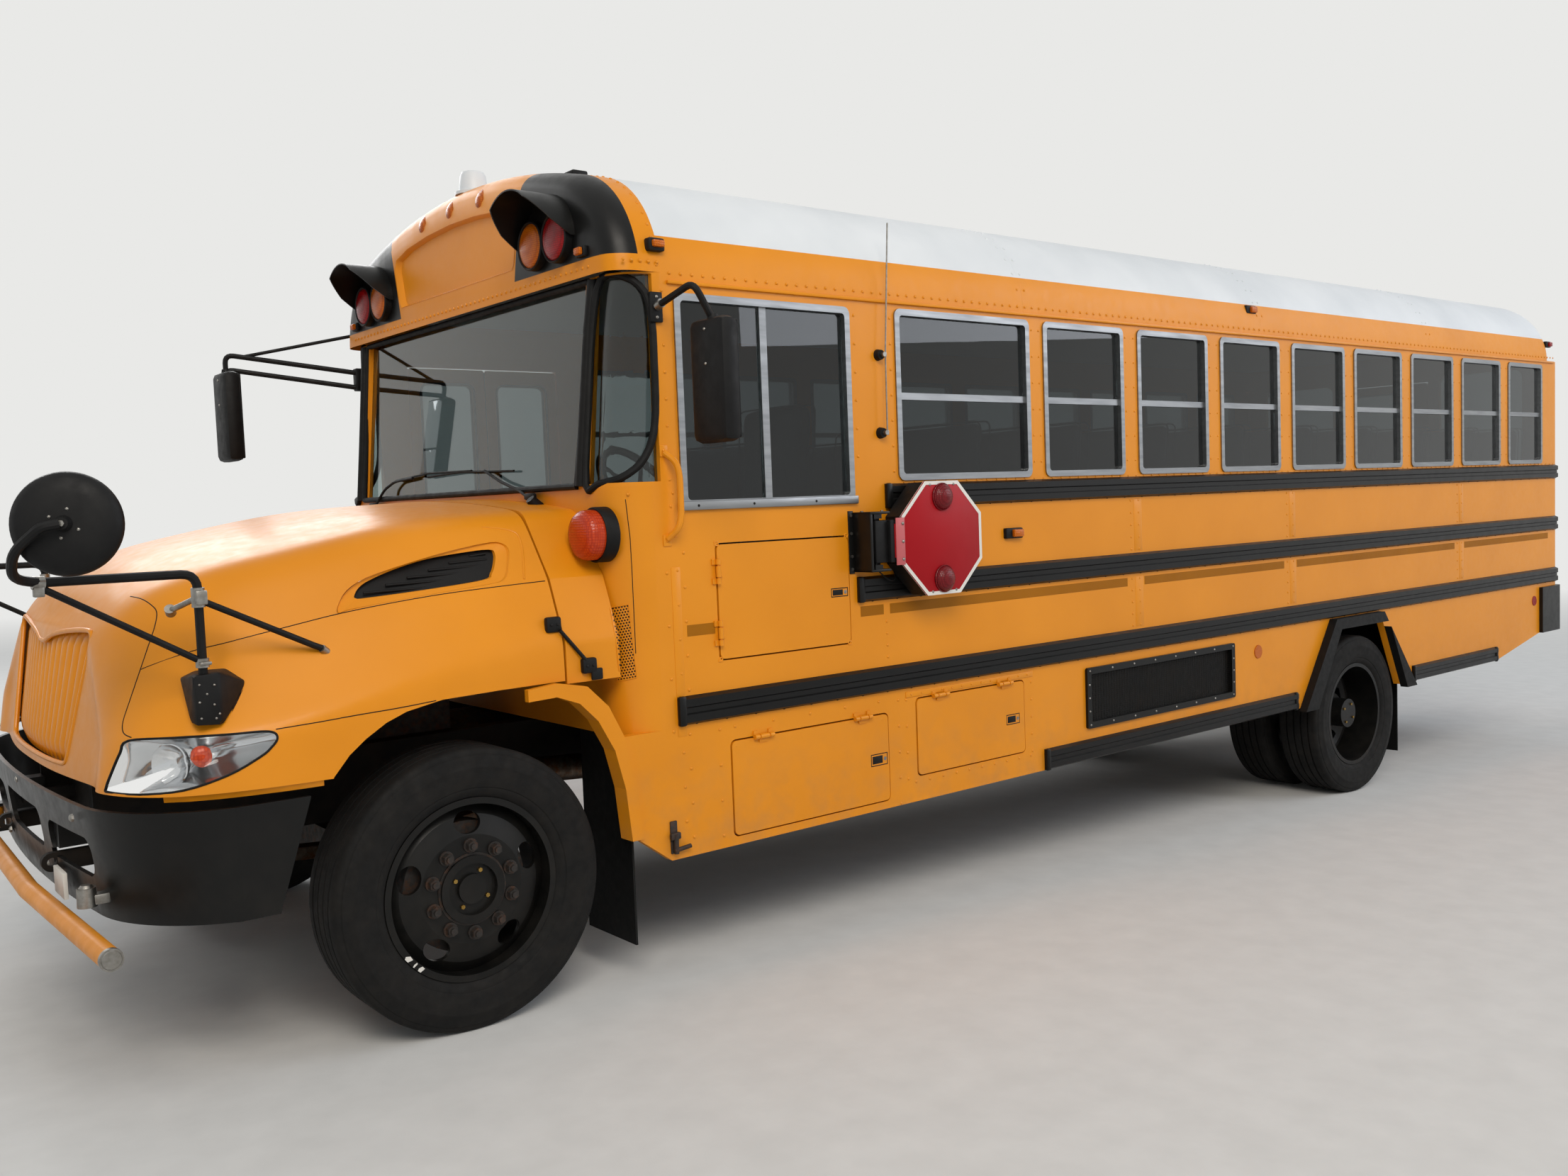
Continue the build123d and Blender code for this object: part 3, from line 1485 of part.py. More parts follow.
# Driver's seat, dash and steering wheel
with BuildPart() as steering_ring:
    Torus(215, 16)
    Cylinder(40, 40)
    Box(420, 26, 14)
with BuildPart() as driver_station:
    block(1500, 1960, 380, 860, 1340, 1450)
    block(1430, 1540, 390, 850, 1400, 2080)
    with BuildSketch(Plane.XY.offset(floor_z)):
        with Locations((1730, 620)):
            Circle(110)
    extrude(amount=1340 - floor_z)
    block(2350, cowl_front_x - wall, -600, half_width - corner_radius - 40, 1330, 1690)
    rod((2380, 620, 1560), (2180, 620, 1700), 30)
    add(steering_ring.part.moved(Location((2175, 620, 1704), (0, -55, 0))))
keep(driver_station, "driver_station")

# Mesh box low on the driver's side
with BuildPart() as side_grille:
    side_panel(mesh_box, half_width + 14, half_width - 36, 12)
    side_panel(shrink(mesh_box, 30), half_width + 20, half_width - 10, 6, Mode.SUBTRACT)
keep(side_grille, "side_grille")

# Stop arm: a hinge box on the wall and the octagon that swings out
octagon_across = 457.0
octagon_x = 1209.0
octagon_z = 1486.0
octagon_y = 1336.0
with BuildPart() as stop_arm_bracket:
    block(1490, 1585, half_width, 1268, 1370, 1600)
    for z in (1375, 1575):
        block(1525, 1565, 1260, arm_hinge_y + 20, z, z + 20)
    rod((arm_hinge_x, arm_hinge_y, 1375), (arm_hinge_x, arm_hinge_y, 1595), arm_pin_radius)
    block(1000, 1040, half_width, 1290, 1470, 1500)
keep(stop_arm_bracket, "stop_arm_bracket")
with BuildPart() as stop_arm:
    with BuildSketch(side_plane(octagon_y + 4)):
        with Locations((octagon_x, octagon_z)):
            RegularPolygon(octagon_across / 2, 8, major_radius=False, rotation=22.5)
    extrude(amount=8)
    block(octagon_x + 100, arm_hinge_x - 14, octagon_y - 16, octagon_y - 4, 1420, 1552)
    block(arm_hinge_x - 30, arm_hinge_x - 14, arm_hinge_y - 10, octagon_y - 4, 1420, 1552)
    rod((arm_hinge_x, arm_hinge_y, 1401), (arm_hinge_x, arm_hinge_y, 1569), 14)
    block(arm_hinge_x - 20, arm_hinge_x, arm_hinge_y - 10, arm_hinge_y + 10, 1420, 1552)
    rod(
        (arm_hinge_x, arm_hinge_y, 1400),
        (arm_hinge_x, arm_hinge_y, 1570),
        arm_pin_radius + running_fit,
        Mode.SUBTRACT,
    )
    for z in (octagon_z - 165, octagon_z + 165):
        turned(octagon_x, octagon_y - 40, octagon_y + 48, z, 52, 1)
keep(stop_arm, "stop_arm")

# Crossing arm across the front bumper, hinged at its kerb side end
with BuildPart() as crossing_arm:
    bent_tube(
        [
            (*crossing_hinge, crossing_z),
            (4336, -600, crossing_z - 3),
            (4358, 380, crossing_z - 8),
            (4318, 1290, crossing_z - 16),
        ],
        150,
        crossing_radius,
    )
    rod((*crossing_hinge, crossing_z - 40), (*crossing_hinge, crossing_z + 40), crossing_radius)
    rod((*crossing_hinge, crossing_z - 41), (*crossing_hinge, crossing_z + 41), 10.5, Mode.SUBTRACT)
keep(crossing_arm, "crossing_arm")


def leaf(front_x, rear_x):
    """One leaf of the entrance door with its upper and lower lights."""
    outline = (front_x, rear_x, entry_low_z + panel_gap, entry_high_z - panel_gap)
    side_panel(outline, -half_width, -half_width + door_leaf, 12)
    for low_z, high_z in ((700, 1330), (1420, 2310)):
        daylight = (front_x - 60, rear_x + 60, low_z, high_z)
        side_panel(daylight, -half_width - 1, -half_width + door_leaf + 1, 40, Mode.SUBTRACT)
        side_panel((front_x - 60, rear_x + 60, low_z, high_z), -half_width + 14, -half_width + 14 + glass, 40)


entry_middle = (entry_front_x + entry_rear_x) / 2
with BuildPart() as entrance_door_front:
    leaf(entry_front_x - panel_gap, entry_middle + panel_gap / 2)
    for start in entry_front_hinges:
        turning_hinge(start, upward, -outward_wall, -forward * hinge_reach)
keep(entrance_door_front, "entrance_door_front")
with BuildPart() as entrance_door_rear:
    leaf(entry_middle - panel_gap / 2, entry_rear_x + panel_gap)
    for start in entry_rear_hinges:
        turning_hinge(start, upward, -outward_wall, forward * hinge_reach)
keep(entrance_door_rear, "entrance_door_rear")

# Exit door in the tail
with BuildPart() as exit_door:
    with BuildSketch(cross_plane(rear_face_x)):
        with Locations((0, (exit_low_z + exit_high_z) / 2)):
            RectangleRounded(2 * (exit_half_width - panel_gap), exit_high_z - exit_low_z - 2 * panel_gap, 30)
        with Locations((0, 2090)):
            RectangleRounded(480, 440, 50, mode=Mode.SUBTRACT)
        with Locations((0, 1420)):
            RectangleRounded(480, 420, 50, mode=Mode.SUBTRACT)
    extrude(amount=door_leaf)
    with BuildSketch(cross_plane(rear_face_x + 14)):
        with Locations((0, 2090)):
            RectangleRounded(480, 440, 50)
        with Locations((0, 1420)):
            RectangleRounded(480, 420, 50)
    extrude(amount=glass)
    for start in exit_hinges:
        turning_hinge(start, upward, forward * hinge_stand_off, Vector(0, hinge_reach, 0))
keep(exit_door, "exit_door")


# Hatches: each lid fills its opening with a running gap and stands a little proud of the wall
hatch_rows = [
    (electric_door, "electric_door", electric_hinges, upward, -forward),
    (battery_door, "battery_door", battery_hinges, forward, -upward),
    (fuel_door, "fuel_door", fuel_hinges, forward, -upward),
]
for rectangle, label, starts, way, side in hatch_rows:
    with BuildPart() as lid:
        side_panel(shrink(rectangle, panel_gap), half_width + lid_proud, half_width - hatch_skin, 20)
        for start in starts:
            turning_hinge(start, way, outward_lid, side * hinge_reach)
    keep(lid, label)
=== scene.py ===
# %% [markdown]
# # Dressing a school bus
# The solids of this bus come from CAD: a yellow body with a white roof, a tilting hood,
# wheels, doors and two swinging arms. Here they get their paint, glass and rubber, and
# the small pieces that a CAD model leaves out: rivets, gaskets, lamps, latches and treads.
# Every measurement below is in metres, in the bus's own level frame.

# %% Load the solids
import math
import bmesh
import bpy
from mathutils import Matrix, Vector
from mathutils.bvhtree import BVHTree


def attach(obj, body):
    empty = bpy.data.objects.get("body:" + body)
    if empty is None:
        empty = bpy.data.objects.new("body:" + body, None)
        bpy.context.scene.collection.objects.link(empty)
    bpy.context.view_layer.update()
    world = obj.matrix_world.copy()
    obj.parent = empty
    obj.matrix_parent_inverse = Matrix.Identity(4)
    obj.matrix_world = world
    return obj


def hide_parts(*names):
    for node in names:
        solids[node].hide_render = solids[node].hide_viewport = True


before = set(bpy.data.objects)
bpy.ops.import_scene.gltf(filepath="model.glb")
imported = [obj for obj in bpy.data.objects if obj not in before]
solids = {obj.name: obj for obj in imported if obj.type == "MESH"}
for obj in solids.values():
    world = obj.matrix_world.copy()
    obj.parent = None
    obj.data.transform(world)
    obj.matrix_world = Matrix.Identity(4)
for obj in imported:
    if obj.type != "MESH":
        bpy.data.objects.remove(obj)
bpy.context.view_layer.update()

# %% [markdown]
# ## How the bus stands
# A real bus of this kind sits tail high. Its axles are both level with the road, but the
# hub of the front wheel is drawn higher in the body than the hub of the rear one. So every
# new piece is modelled on a level body and is then turned by the same small angle.

# %% The bus's stance
wheelbase = 5.588
front_axle = 3.225
rear_axle = front_axle - wheelbase
front_hub = 0.445
rear_hub = 0.285
tyre_radius = 0.46
half_width = 1.219
rear_face = -5.19
rake = math.atan2(front_hub - rear_hub, wheelbase)
ground_shift = tyre_radius + front_axle * math.sin(rake) - front_hub * math.cos(rake)
centre_shift = 0.356
stance = Matrix.Translation((centre_shift, 0, ground_shift)) @ Matrix.Rotation(rake, 4, "Y")
print("rake in degrees:", round(math.degrees(rake), 3))

# %% [markdown]
# ## Small tools for shaping
# Most pieces start from one of Blender's primitive operators in a bmesh. These helpers only
# save typing: a block between two corners, a round bar between two points, and a flat
# outline that is given a thickness.

# %% Shaping tools


def block(bm, low, high, bevel=0.0):
    """A block between any two opposite corners, with its edges rounded if a bevel is given."""
    low, high = Vector(tuple(map(min, low, high))), Vector(tuple(map(max, low, high)))
    size = high - low
    place = Matrix.Translation((low + high) / 2) @ Matrix.Diagonal((size.x, size.y, size.z, 1))
    made = bmesh.ops.create_cube(bm, size=1.0, matrix=place)["verts"]
    if bevel:
        edges = {edge for vert in made for edge in vert.link_edges}
        bmesh.ops.bevel(
            bm, geom=list(edges), offset=bevel, affect="EDGES", segments=2, profile=0.5, material=-1
        )
    return made


def turn_to(way):
    """The rotation that carries +Z to a direction."""
    return Vector((0, 0, 1)).rotation_difference(Vector(way).normalized()).to_matrix().to_4x4()


def bar(bm, start, end, radius, segments=16, far_radius=None):
    """A round bar, or a cone if a second radius is given, between two points."""
    start, end = Vector(start), Vector(end)
    place = Matrix.Translation((start + end) / 2) @ turn_to(end - start)
    far = radius if far_radius is None else far_radius
    length = (end - start).length
    bmesh.ops.create_cone(
        bm, cap_ends=True, segments=segments, radius1=radius, radius2=far, depth=length, matrix=place
    )


def plate(bm, corners, push, bevel=0.0, segments=2):
    """A flat outline pulled along a vector into a plate with rounded edges."""
    face = bm.faces.new([bm.verts.new(corner) for corner in corners])
    pulled = bmesh.ops.extrude_face_region(bm, geom=[face])["geom"]
    moved = [part for part in pulled if isinstance(part, bmesh.types.BMVert)]
    bmesh.ops.translate(bm, verts=moved, vec=Vector(push))
    if bevel:
        edges = {edge for vert in moved for edge in vert.link_edges} | set(face.edges)
        bmesh.ops.bevel(
            bm, geom=list(edges), offset=bevel, affect="EDGES", segments=segments, profile=0.5, material=-1
        )


def ring_spin(bm, points, centre, way, around=48, closed=True):
    """A turned ring: points of radius and height spun round an axis."""
    place = Matrix.Translation(Vector(centre)) @ turn_to(way)
    verts = [bm.verts.new(place @ Vector((radius, 0, height))) for radius, height in points]
    pairs = list(zip(verts, verts[1:])) + ([(verts[-1], verts[0])] if closed else [])
    edges = [bm.edges.new(pair) for pair in pairs]
    axis = place.to_3x3() @ Vector((0, 0, 1))
    bmesh.ops.spin(
        bm, geom=verts + edges, cent=Vector(centre), axis=axis, angle=math.tau, steps=around, use_merge=True
    )


def skin_rings(bm, rings):
    """Faces from each closed ring of verts to the next."""
    for near, far in zip(rings, rings[1:]):
        for place in range(len(near)):
            bm.faces.new((near[place - 1], near[place], far[place], far[place - 1]))


def dome(bm, centre, way, radius, rise, rings=6, around=32):
    """A shallow lens: a quarter circle of points spun round its axis."""
    turns = [math.pi / 2 * step / rings for step in range(rings + 1)]
    arc = [(radius * math.cos(turn), rise * math.sin(turn)) for turn in turns]
    ring_spin(bm, arc, centre, way, around, closed=False)
    bmesh.ops.remove_doubles(bm, verts=bm.verts, dist=0.00002)


# %% [markdown]
# ## Finishing a piece
# A finished piece has its place in its mesh, not in its object, so that patterns on object
# coordinates stay put. It rides on the CAD body that carries it and takes one material.

# %% Finishing tools
piece_count = 0
usual_slot = {}  # the record's slot for each material, filled in with the finishes below


def to_object(bm, name):
    """Free a bmesh and leave its shape as a mesh object in the scene."""
    mesh = bpy.data.meshes.new(name)
    bm.to_mesh(mesh)
    bm.free()
    made = bpy.data.objects.new(name, mesh)
    bpy.context.scene.collection.objects.link(made)
    return made


def finish(bm, name, material, body="bus_body", slot=None, smooth=35.0, stands=True, outward=True):
    """Turn a bmesh into an object that rides on a body, shaded smooth below an edge angle."""
    global piece_count
    if outward:
        bmesh.ops.recalc_face_normals(bm, faces=bm.faces)
    if stands:
        bm.transform(stance)
    piece = to_object(bm, name)
    mesh = piece.data
    mesh.materials.append(material)
    if smooth:
        mesh.shade_smooth()
        mesh.set_sharp_from_angle(angle=math.radians(smooth))
    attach(piece, body)
    slot = slot or usual_slot[material.name]
    piece_count += 1
    print(name, "has", len(mesh.polygons), "faces and rides on", body)
    return piece


def tube(name, runs, radius, material, body="bus_body", slot=None, bend=0.03, steps=5):
    """One mesh of round tubes; each run is a list of corners that get rounded bends."""
    curve = bpy.data.curves.new(name, "CURVE")
    curve.dimensions = "3D"
    curve.bevel_depth = radius
    curve.bevel_resolution = 3
    curve.use_fill_caps = True
    for corners in runs:
        corners = [Vector(corner) for corner in corners]
        points = [corners[0]]
        for before, corner, after in zip(corners, corners[1:], corners[2:]):
            back = min(bend, (before - corner).length / 2.1, (after - corner).length / 2.1)
            start = corner + (before - corner).normalized() * back
            end = corner + (after - corner).normalized() * back
            for step in range(steps + 1):
                share = step / steps
                points.append(start.lerp(corner, share).lerp(corner.lerp(end, share), share))
        points.append(corners[-1])
        spline = curve.splines.new("POLY")
        spline.points.add(len(points) - 1)
        for slot_point, point in zip(spline.points, points):
            slot_point.co = (*point, 1)
    holder = bpy.data.objects.new(name + "_curve", curve)
    mesh = bpy.data.meshes.new_from_object(holder)
    bpy.data.objects.remove(holder)
    bm = bmesh.new()
    bm.from_mesh(mesh)
    bpy.data.meshes.remove(mesh)
    bmesh.ops.remove_doubles(bm, verts=bm.verts, dist=0.00005)
    return finish(bm, name, material, body, slot)


# %% [markdown]
# ## Colours and material nodes
# Colours are written as the sRGB values that a paint chart or a photograph gives. Blender's
# shaders want linear light, so one function turns them. One more adds a node to a material,
# sets its sockets and links those that are fed by another node.

# %% Colour and node tools


def colour(text):
    """Linear red, green, blue and alpha from an sRGB hex value."""
    linear = []
    for place in (1, 3, 5):
        part = int(text[place:place + 2], 16) / 255
        linear.append(part / 12.92 if part <= 0.04045 else ((part + 0.055) / 1.055) ** 2.4)
    return (*linear, 1.0)


def add_node(tree, kind, sockets=None, out=0, **settings):
    """Add a node, set its settings, set or link its inputs, and return one of its outputs."""
    made = tree.nodes.new("ShaderNode" + kind)
    for key, value in settings.items():
        setattr(made, key, value)
    for key, value in (sockets or {}).items():
        if isinstance(value, bpy.types.NodeSocket):
            tree.links.new(value, made.inputs[key])
        else:
            made.inputs[key].default_value = value
    return made.outputs[out] if made.outputs else None


def start_material(name):
    """An empty material, its node tree, and Object coordinates."""
    material = bpy.data.materials.new(name)
    material.use_nodes = True
    tree = material.node_tree
    tree.nodes.clear()
    return material, tree, add_node(tree, "TexCoord", out="Object")


def end_material(material, tree, sockets):
    """Feed a Principled shader and make it the surface."""
    shader = add_node(tree, "BsdfPrincipled", sockets)
    add_node(tree, "OutputMaterial", {"Surface": shader})
    return material


# %% [markdown]
# ## Patterns shared by the finishes
# Three small graphs come back in nearly every finish. A mottle is noise stretched between
# two values, tones are two colours mixed by a mottle, and a grain is noise fed to a bump.

# %% Shared patterns


def mottle(tree, place, scale, low, high, to_low=0.0, to_high=1.0, detail=3.0, roughness=0.55):
    """Noise at so many repeats in a metre, stretched so that low and high become two values."""
    noise = {"Vector": place, "Scale": scale, "Detail": detail, "Roughness": roughness}
    value = add_node(tree, "TexNoise", noise)
    ends = {"Value": value, "From Min": low, "From Max": high, "To Min": to_low, "To Max": to_high}
    return add_node(tree, "MapRange", ends, clamp=True)


def tones(tree, place, scale, low, high, base, shade, detail=3.0, roughness=0.55):
    """Two colours that drift into each other over a mottle."""
    share = mottle(tree, place, scale, low, high, 0.0, 1.0, detail, roughness)
    return add_node(tree, "Mix", {0: share, 6: colour(base), 7: colour(shade)}, 2, data_type="RGBA")


def grain(tree, place, scale, detail, depth, strength):
    """A fine relief, so many metres deep."""
    noise = {"Vector": place, "Scale": scale, "Detail": detail, "Roughness": 0.55}
    height = add_node(tree, "TexNoise", noise)
    return add_node(tree, "Bump", {"Height": height, "Distance": depth, "Strength": strength})


# %% [markdown]
# ## Paint
# Bus paint is a two-pack enamel sprayed on steel sheet. It gives a clean gloss with a faint
# orange peel, dulled by road film that lies thickest low on the sides. A broad noise shifts
# the colour a little from panel to panel, and dust fades in below the rails.
# Orange peel is about 4 mm across, so its noise repeats some 260 times in a metre.

# %% Paint
# repeats in a metre: tones 590 mm wide, dust in 110 mm patches, gloss in 43 mm ones, peel of 4 mm
panel_scale, dust_scale, gloss_scale, peel_scale = 1.7, 9.0, 23.0, 260.0
body_yellow, body_shade = "#e08d16", "#d98710"
roof_white, roof_shade = "#dfe3e6", "#d3d8dc"


def enamel(
    name, base, shade, dust="#8a7358", gloss=0.32, dust_top=0.9, dust_amount=0.35, coat=0.06, shine=0.28
):
    """Sprayed enamel: two close tones, orange peel, and dust that gathers low down."""
    material, tree, place = start_material(name)
    tone = tones(tree, place, panel_scale, 0.35, 0.65, base, shade)
    height = add_node(tree, "SeparateXYZ", {"Vector": place}, "Z")
    fall = {"Value": height, "From Min": 0.35, "From Max": dust_top, "To Min": 1.0, "To Max": 0.0}
    low_down = add_node(tree, "MapRange", fall, clamp=True)
    patchy = mottle(tree, place, dust_scale, 0.42, 0.72, 0.0, dust_amount, detail=5.0)
    film = add_node(tree, "Math", {0: low_down, 1: patchy}, operation="MULTIPLY")
    skin = add_node(tree, "Mix", {0: film, 6: tone, 7: colour(dust)}, 2, data_type="RGBA")
    dull = mottle(tree, place, gloss_scale, 0.3, 0.7, gloss, gloss + 0.1)
    rough = add_node(tree, "Math", {0: dull, 1: film}, operation="ADD")
    return end_material(material, tree, {
        "Base Color": skin, "Roughness": rough, "Normal": grain(tree, place, peel_scale, 2.0, 0.0004, 0.25),
        "Specular IOR Level": shine, "Coat Weight": coat, "Coat Roughness": 0.08,
    })


# sprayed two-pack enamel on steel: an even, warm gloss
yellow_enamel = enamel("yellow_enamel", body_yellow, body_shade)
# the roof's enamel, chalked by sun: a little duller than the sides
white_enamel = enamel("white_roof_enamel", roof_white, roof_shade, dust="#b9b4a8", gloss=0.4)
# black enamel on pressed steel: deep, with a soft highlight
black_enamel = enamel(
    "black_enamel", "#0c0c0c", "#121211", dust="#4a433b", gloss=0.3, dust_amount=0.12, coat=0.0, shine=0.22
)
# black enamel on rolled rails: the darkest paint, so the rails read as lines
rail_enamel = enamel(
    "rail_black_enamel", "#0a0a0a", "#0f0f0f", dust="#3f3932", gloss=0.3, dust_amount=0.1, coat=0.0,
    shine=0.22
)
# brushed chassis paint: dull and dusty, so the underside stays dark
frame_paint = enamel(
    "frame_paint", "#121110", "#1a1816", dust="#4d4238", gloss=0.55, dust_top=1.4, coat=0.0, shine=0.15
)
# sheeting faded by sun: brown, with hardly a gloss
tape_yellow = enamel("faded_tape", "#a0640c", "#955c0a", gloss=0.5, coat=0.0, shine=0.12)
# red reflective sheeting: flat colour without a coat
stop_red = enamel("stop_red_sheeting", "#a30d18", "#960b14", gloss=0.38, coat=0.0, shine=0.18)
# white reflective sheeting, and the painted highlight on the front rim: plain white
border_white = enamel("white_sheeting", "#e2e0da", "#d5d2cb", gloss=0.4, coat=0.0)

# %% [markdown]
# ## Rubber, plastic and bare metal
# Tyres are carbon-black rubber, browned by dust. Mirror shells and trims are moulded
# polypropylene with a fine grain. Window frames are anodised aluminium, extruded, so their
# faint streaks run along the frame.

# %% Rubber and plastic


def rubber(name, base, worn, fineness=140.0, depth=0.0006, rough=0.8):
    """A dull moulded skin: grain of 7 mm at 140 to a metre, or of 1.5 mm, worn in 80 mm patches."""
    material, tree, place = start_material(name)
    return end_material(material, tree, {
        "Base Color": tones(tree, place, 12.0, 0.38, 0.72, base, worn, 6.0, 0.65),
        "Roughness": mottle(tree, place, 30.0, 0.3, 0.7, rough - 0.08, rough + 0.08),
        "Normal": grain(tree, place, fineness, 4.0, depth, 0.5),
        "Specular IOR Level": 0.2,
    })


# vulcanised carbon-black rubber: dull black, browned by road dust
tyre_rubber = rubber("tyre_rubber", "#121212", "#1e1c1a")
# extruded black rubber: a little smoother than a tyre
seal_rubber = rubber("seal_rubber", "#090909", "#101010", rough=0.6)
# moulded polypropylene: black with a fine grain that breaks the highlight
moulded_black = rubber("moulded_polypropylene", "#0d0d0e", "#151515", 700.0, 0.0003, 0.55)
# moulded polypropylene in dark grey: a soft sheen along the dash
dash_plastic = rubber("dash_polypropylene", "#1d1e20", "#26272a", 600.0, 0.0004, 0.6)
# rubber sheet: black worn to grey in patches
floor_rubber = rubber("floor_rubber", "#1d1d1d", "#2c2a27", rough=0.75)

# %% Metal


def metal(name, base, worn, rough=0.3, streak=(1.0, 1.0, 1.0), scale=40.0, metallic=1.0, rust=None):
    """Bare or plated metal: streaks 25 mm apart at 40 to a metre, and rust in 26 mm spots."""
    material, tree, place = start_material(name)
    stretched = add_node(tree, "Mapping", {"Vector": place, "Scale": streak})
    streaks = mottle(tree, stretched, scale, 0.35, 0.65, detail=4.0)
    tone = {0: streaks, 6: colour(base), 7: colour(worn)}
    tone = add_node(tree, "Mix", tone, 2, data_type="RGBA")
    if rust:
        spots = mottle(tree, place, 38.0, 0.48, 0.62, detail=7.0, roughness=0.7)
        tone = add_node(tree, "Mix", {0: spots, 6: tone, 7: colour(rust)}, 2, data_type="RGBA")
    polish = {"Value": streaks, "To Min": rough, "To Max": rough + 0.12}
    return end_material(material, tree, {
        "Base Color": tone, "Metallic": metallic,
        "Roughness": add_node(tree, "MapRange", polish, clamp=True),
        "Normal": add_node(tree, "Bump", {"Height": streaks, "Distance": 0.0002, "Strength": 0.3}),
    })


# anodised aluminium, extruded: a grey satin with streaks along the frame
window_aluminium = metal("anodised_aluminium", "#96989a", "#848688", 0.32, (0.1, 1.0, 1.0))
# zinc-plated steel: a dull silver for screws and clamps
zinc_steel = metal("zinc_plated_steel", "#9c9a95", "#7f7c76", 0.35)
# hot-rolled steel tube: brown with heat and rust
exhaust_steel = metal("exhaust_steel", "#6a5f55", "#4d433b", 0.45, rust="#5b3a22")
# sand-cast iron: rough, nearly black, spotted with rust
cast_iron = metal("cast_iron", "#3a3633", "#2a2725", 0.6, metallic=0.4, rust="#4a3020")
# wheel nuts of bare steel: dark brown rust
rusty_steel = metal("rusty_lug_steel", "#2a2522", "#1c1a18", 0.6, metallic=0.2, rust="#3f291b")
# turned brass: a small yellow glint in the hub
brass = metal("brass", "#a98a4b", "#8d7038", 0.4)
# chrome plate: a mirror for the lamps and the handle
chrome = metal("chrome_plate", "#d9dadb", "#cfd1d3", 0.08, scale=6.0)
# silvered glass: the smoothest mirror here
mirror_silver = metal("mirror_silver", "#cfd3d6", "#c6cacd", 0.03, scale=3.0)

# %% [markdown]
# ## Glass and lenses
# The side panes are tinted safety glass, dark from outside because the cabin is unlit. The
# windscreen is clearer. Lamp lenses are moulded acrylic whose inner face is cut into small
# prisms, drawn here as a fine cell pattern in the bump.

# %% Glass and lenses


def pane_glass(name, tint):
    """Clear or tinted glass with the slow ripple of a rolled pane, 450 mm long."""
    material, tree, place = start_material(name)
    return end_material(material, tree, {
        "Base Color": colour(tint), "Roughness": 0.01, "IOR": 1.45, "Transmission Weight": 1.0,
        "Normal": grain(tree, place, 2.2, 1.0, 0.0012, 0.15),
    })


# tinted tempered glass: it darkens what is inside
side_glass = pane_glass("tinted_side_glass", "#6a7274")
# laminated glass: nearly clear, a trace of green
screen_glass = pane_glass("screen_glass", "#b9c4c2")
# moulded polycarbonate: clear enough to show the bowl
lamp_glass = pane_glass("headlamp_polycarbonate", "#f1f3f4")


def lens(name, base, deep, cells=140.0, see_through=0.25):
    """Coloured acrylic moulded in prisms: 140 to a metre makes each 7 mm wide."""
    material, tree, place = start_material(name)
    prisms = {"Vector": place, "Scale": cells, "Randomness": 0.15}
    distance = add_node(tree, "TexVoronoi", prisms, "Distance")
    edge = add_node(tree, "MapRange", {"Value": distance, "From Max": 0.7}, clamp=True)
    tone = {0: edge, 6: colour(base), 7: colour(deep)}
    rough = {"Value": edge, "To Min": 0.12, "To Max": 0.2}
    return end_material(material, tree, {
        "Base Color": add_node(tree, "Mix", tone, 2, data_type="RGBA"),
        "Roughness": add_node(tree, "MapRange", rough, clamp=True),
        "Normal": add_node(tree, "Bump", {"Height": edge, "Distance": 0.0015, "Strength": 0.6}),
        "IOR": 1.49, "Transmission Weight": see_through, "Specular IOR Level": 0.2,
        "Coat Weight": 0.04, "Coat Roughness": 0.03,
    })


# amber acrylic: deep orange, little light through it
amber_lens = lens("amber_acrylic", "#e07a08", "#a84c04", see_through=0.1)
# red acrylic: a dark red when the lamp is off
red_lens = lens("red_acrylic", "#b50c12", "#7a060a", see_through=0.1)
# orange-red acrylic: brighter, with wider prisms
turn_lens = lens("orange_red_acrylic", "#e5511c", "#b83410", cells=110.0)
# clear acrylic: pale, with the prisms showing
clear_lens = lens("clear_acrylic", "#e4e6e7", "#c4c8cb", see_through=0.6)

# %% [markdown]
# ## Seat vinyl
# School bus seats are foam wrapped in a heavy coated fabric. The coating is embossed like
# leather, in cells of about 4 mm, and is worn to a soft sheen.

# %% Seat vinyl
# coated fabric over foam: slate blue-grey with a soft sheen
seat_vinyl, tree, place = start_material("seat_vinyl")
emboss = add_node(tree, "TexVoronoi", {"Vector": place, "Scale": 260.0}, "Distance")
end_material(seat_vinyl, tree, {
    "Base Color": tones(tree, place, 5.0, 0.35, 0.7, "#3d4650", "#4a535c"),
    "Normal": add_node(tree, "Bump", {"Height": emboss, "Distance": 0.0003, "Strength": 0.15}),
    "Roughness": 0.42, "Specular IOR Level": 0.3,
})

# %% [markdown]
# ## Paint on the CAD solids
# Each CAD node keeps its shape and gets the finish of the real panel. The roof is white only
# above the yellow cove, so its paint changes colour at a height on the level body, found by
# turning the row's coordinates back through the rake.

# %% Two-tone roof
cove_split, paint_edge = 2.594, 0.001
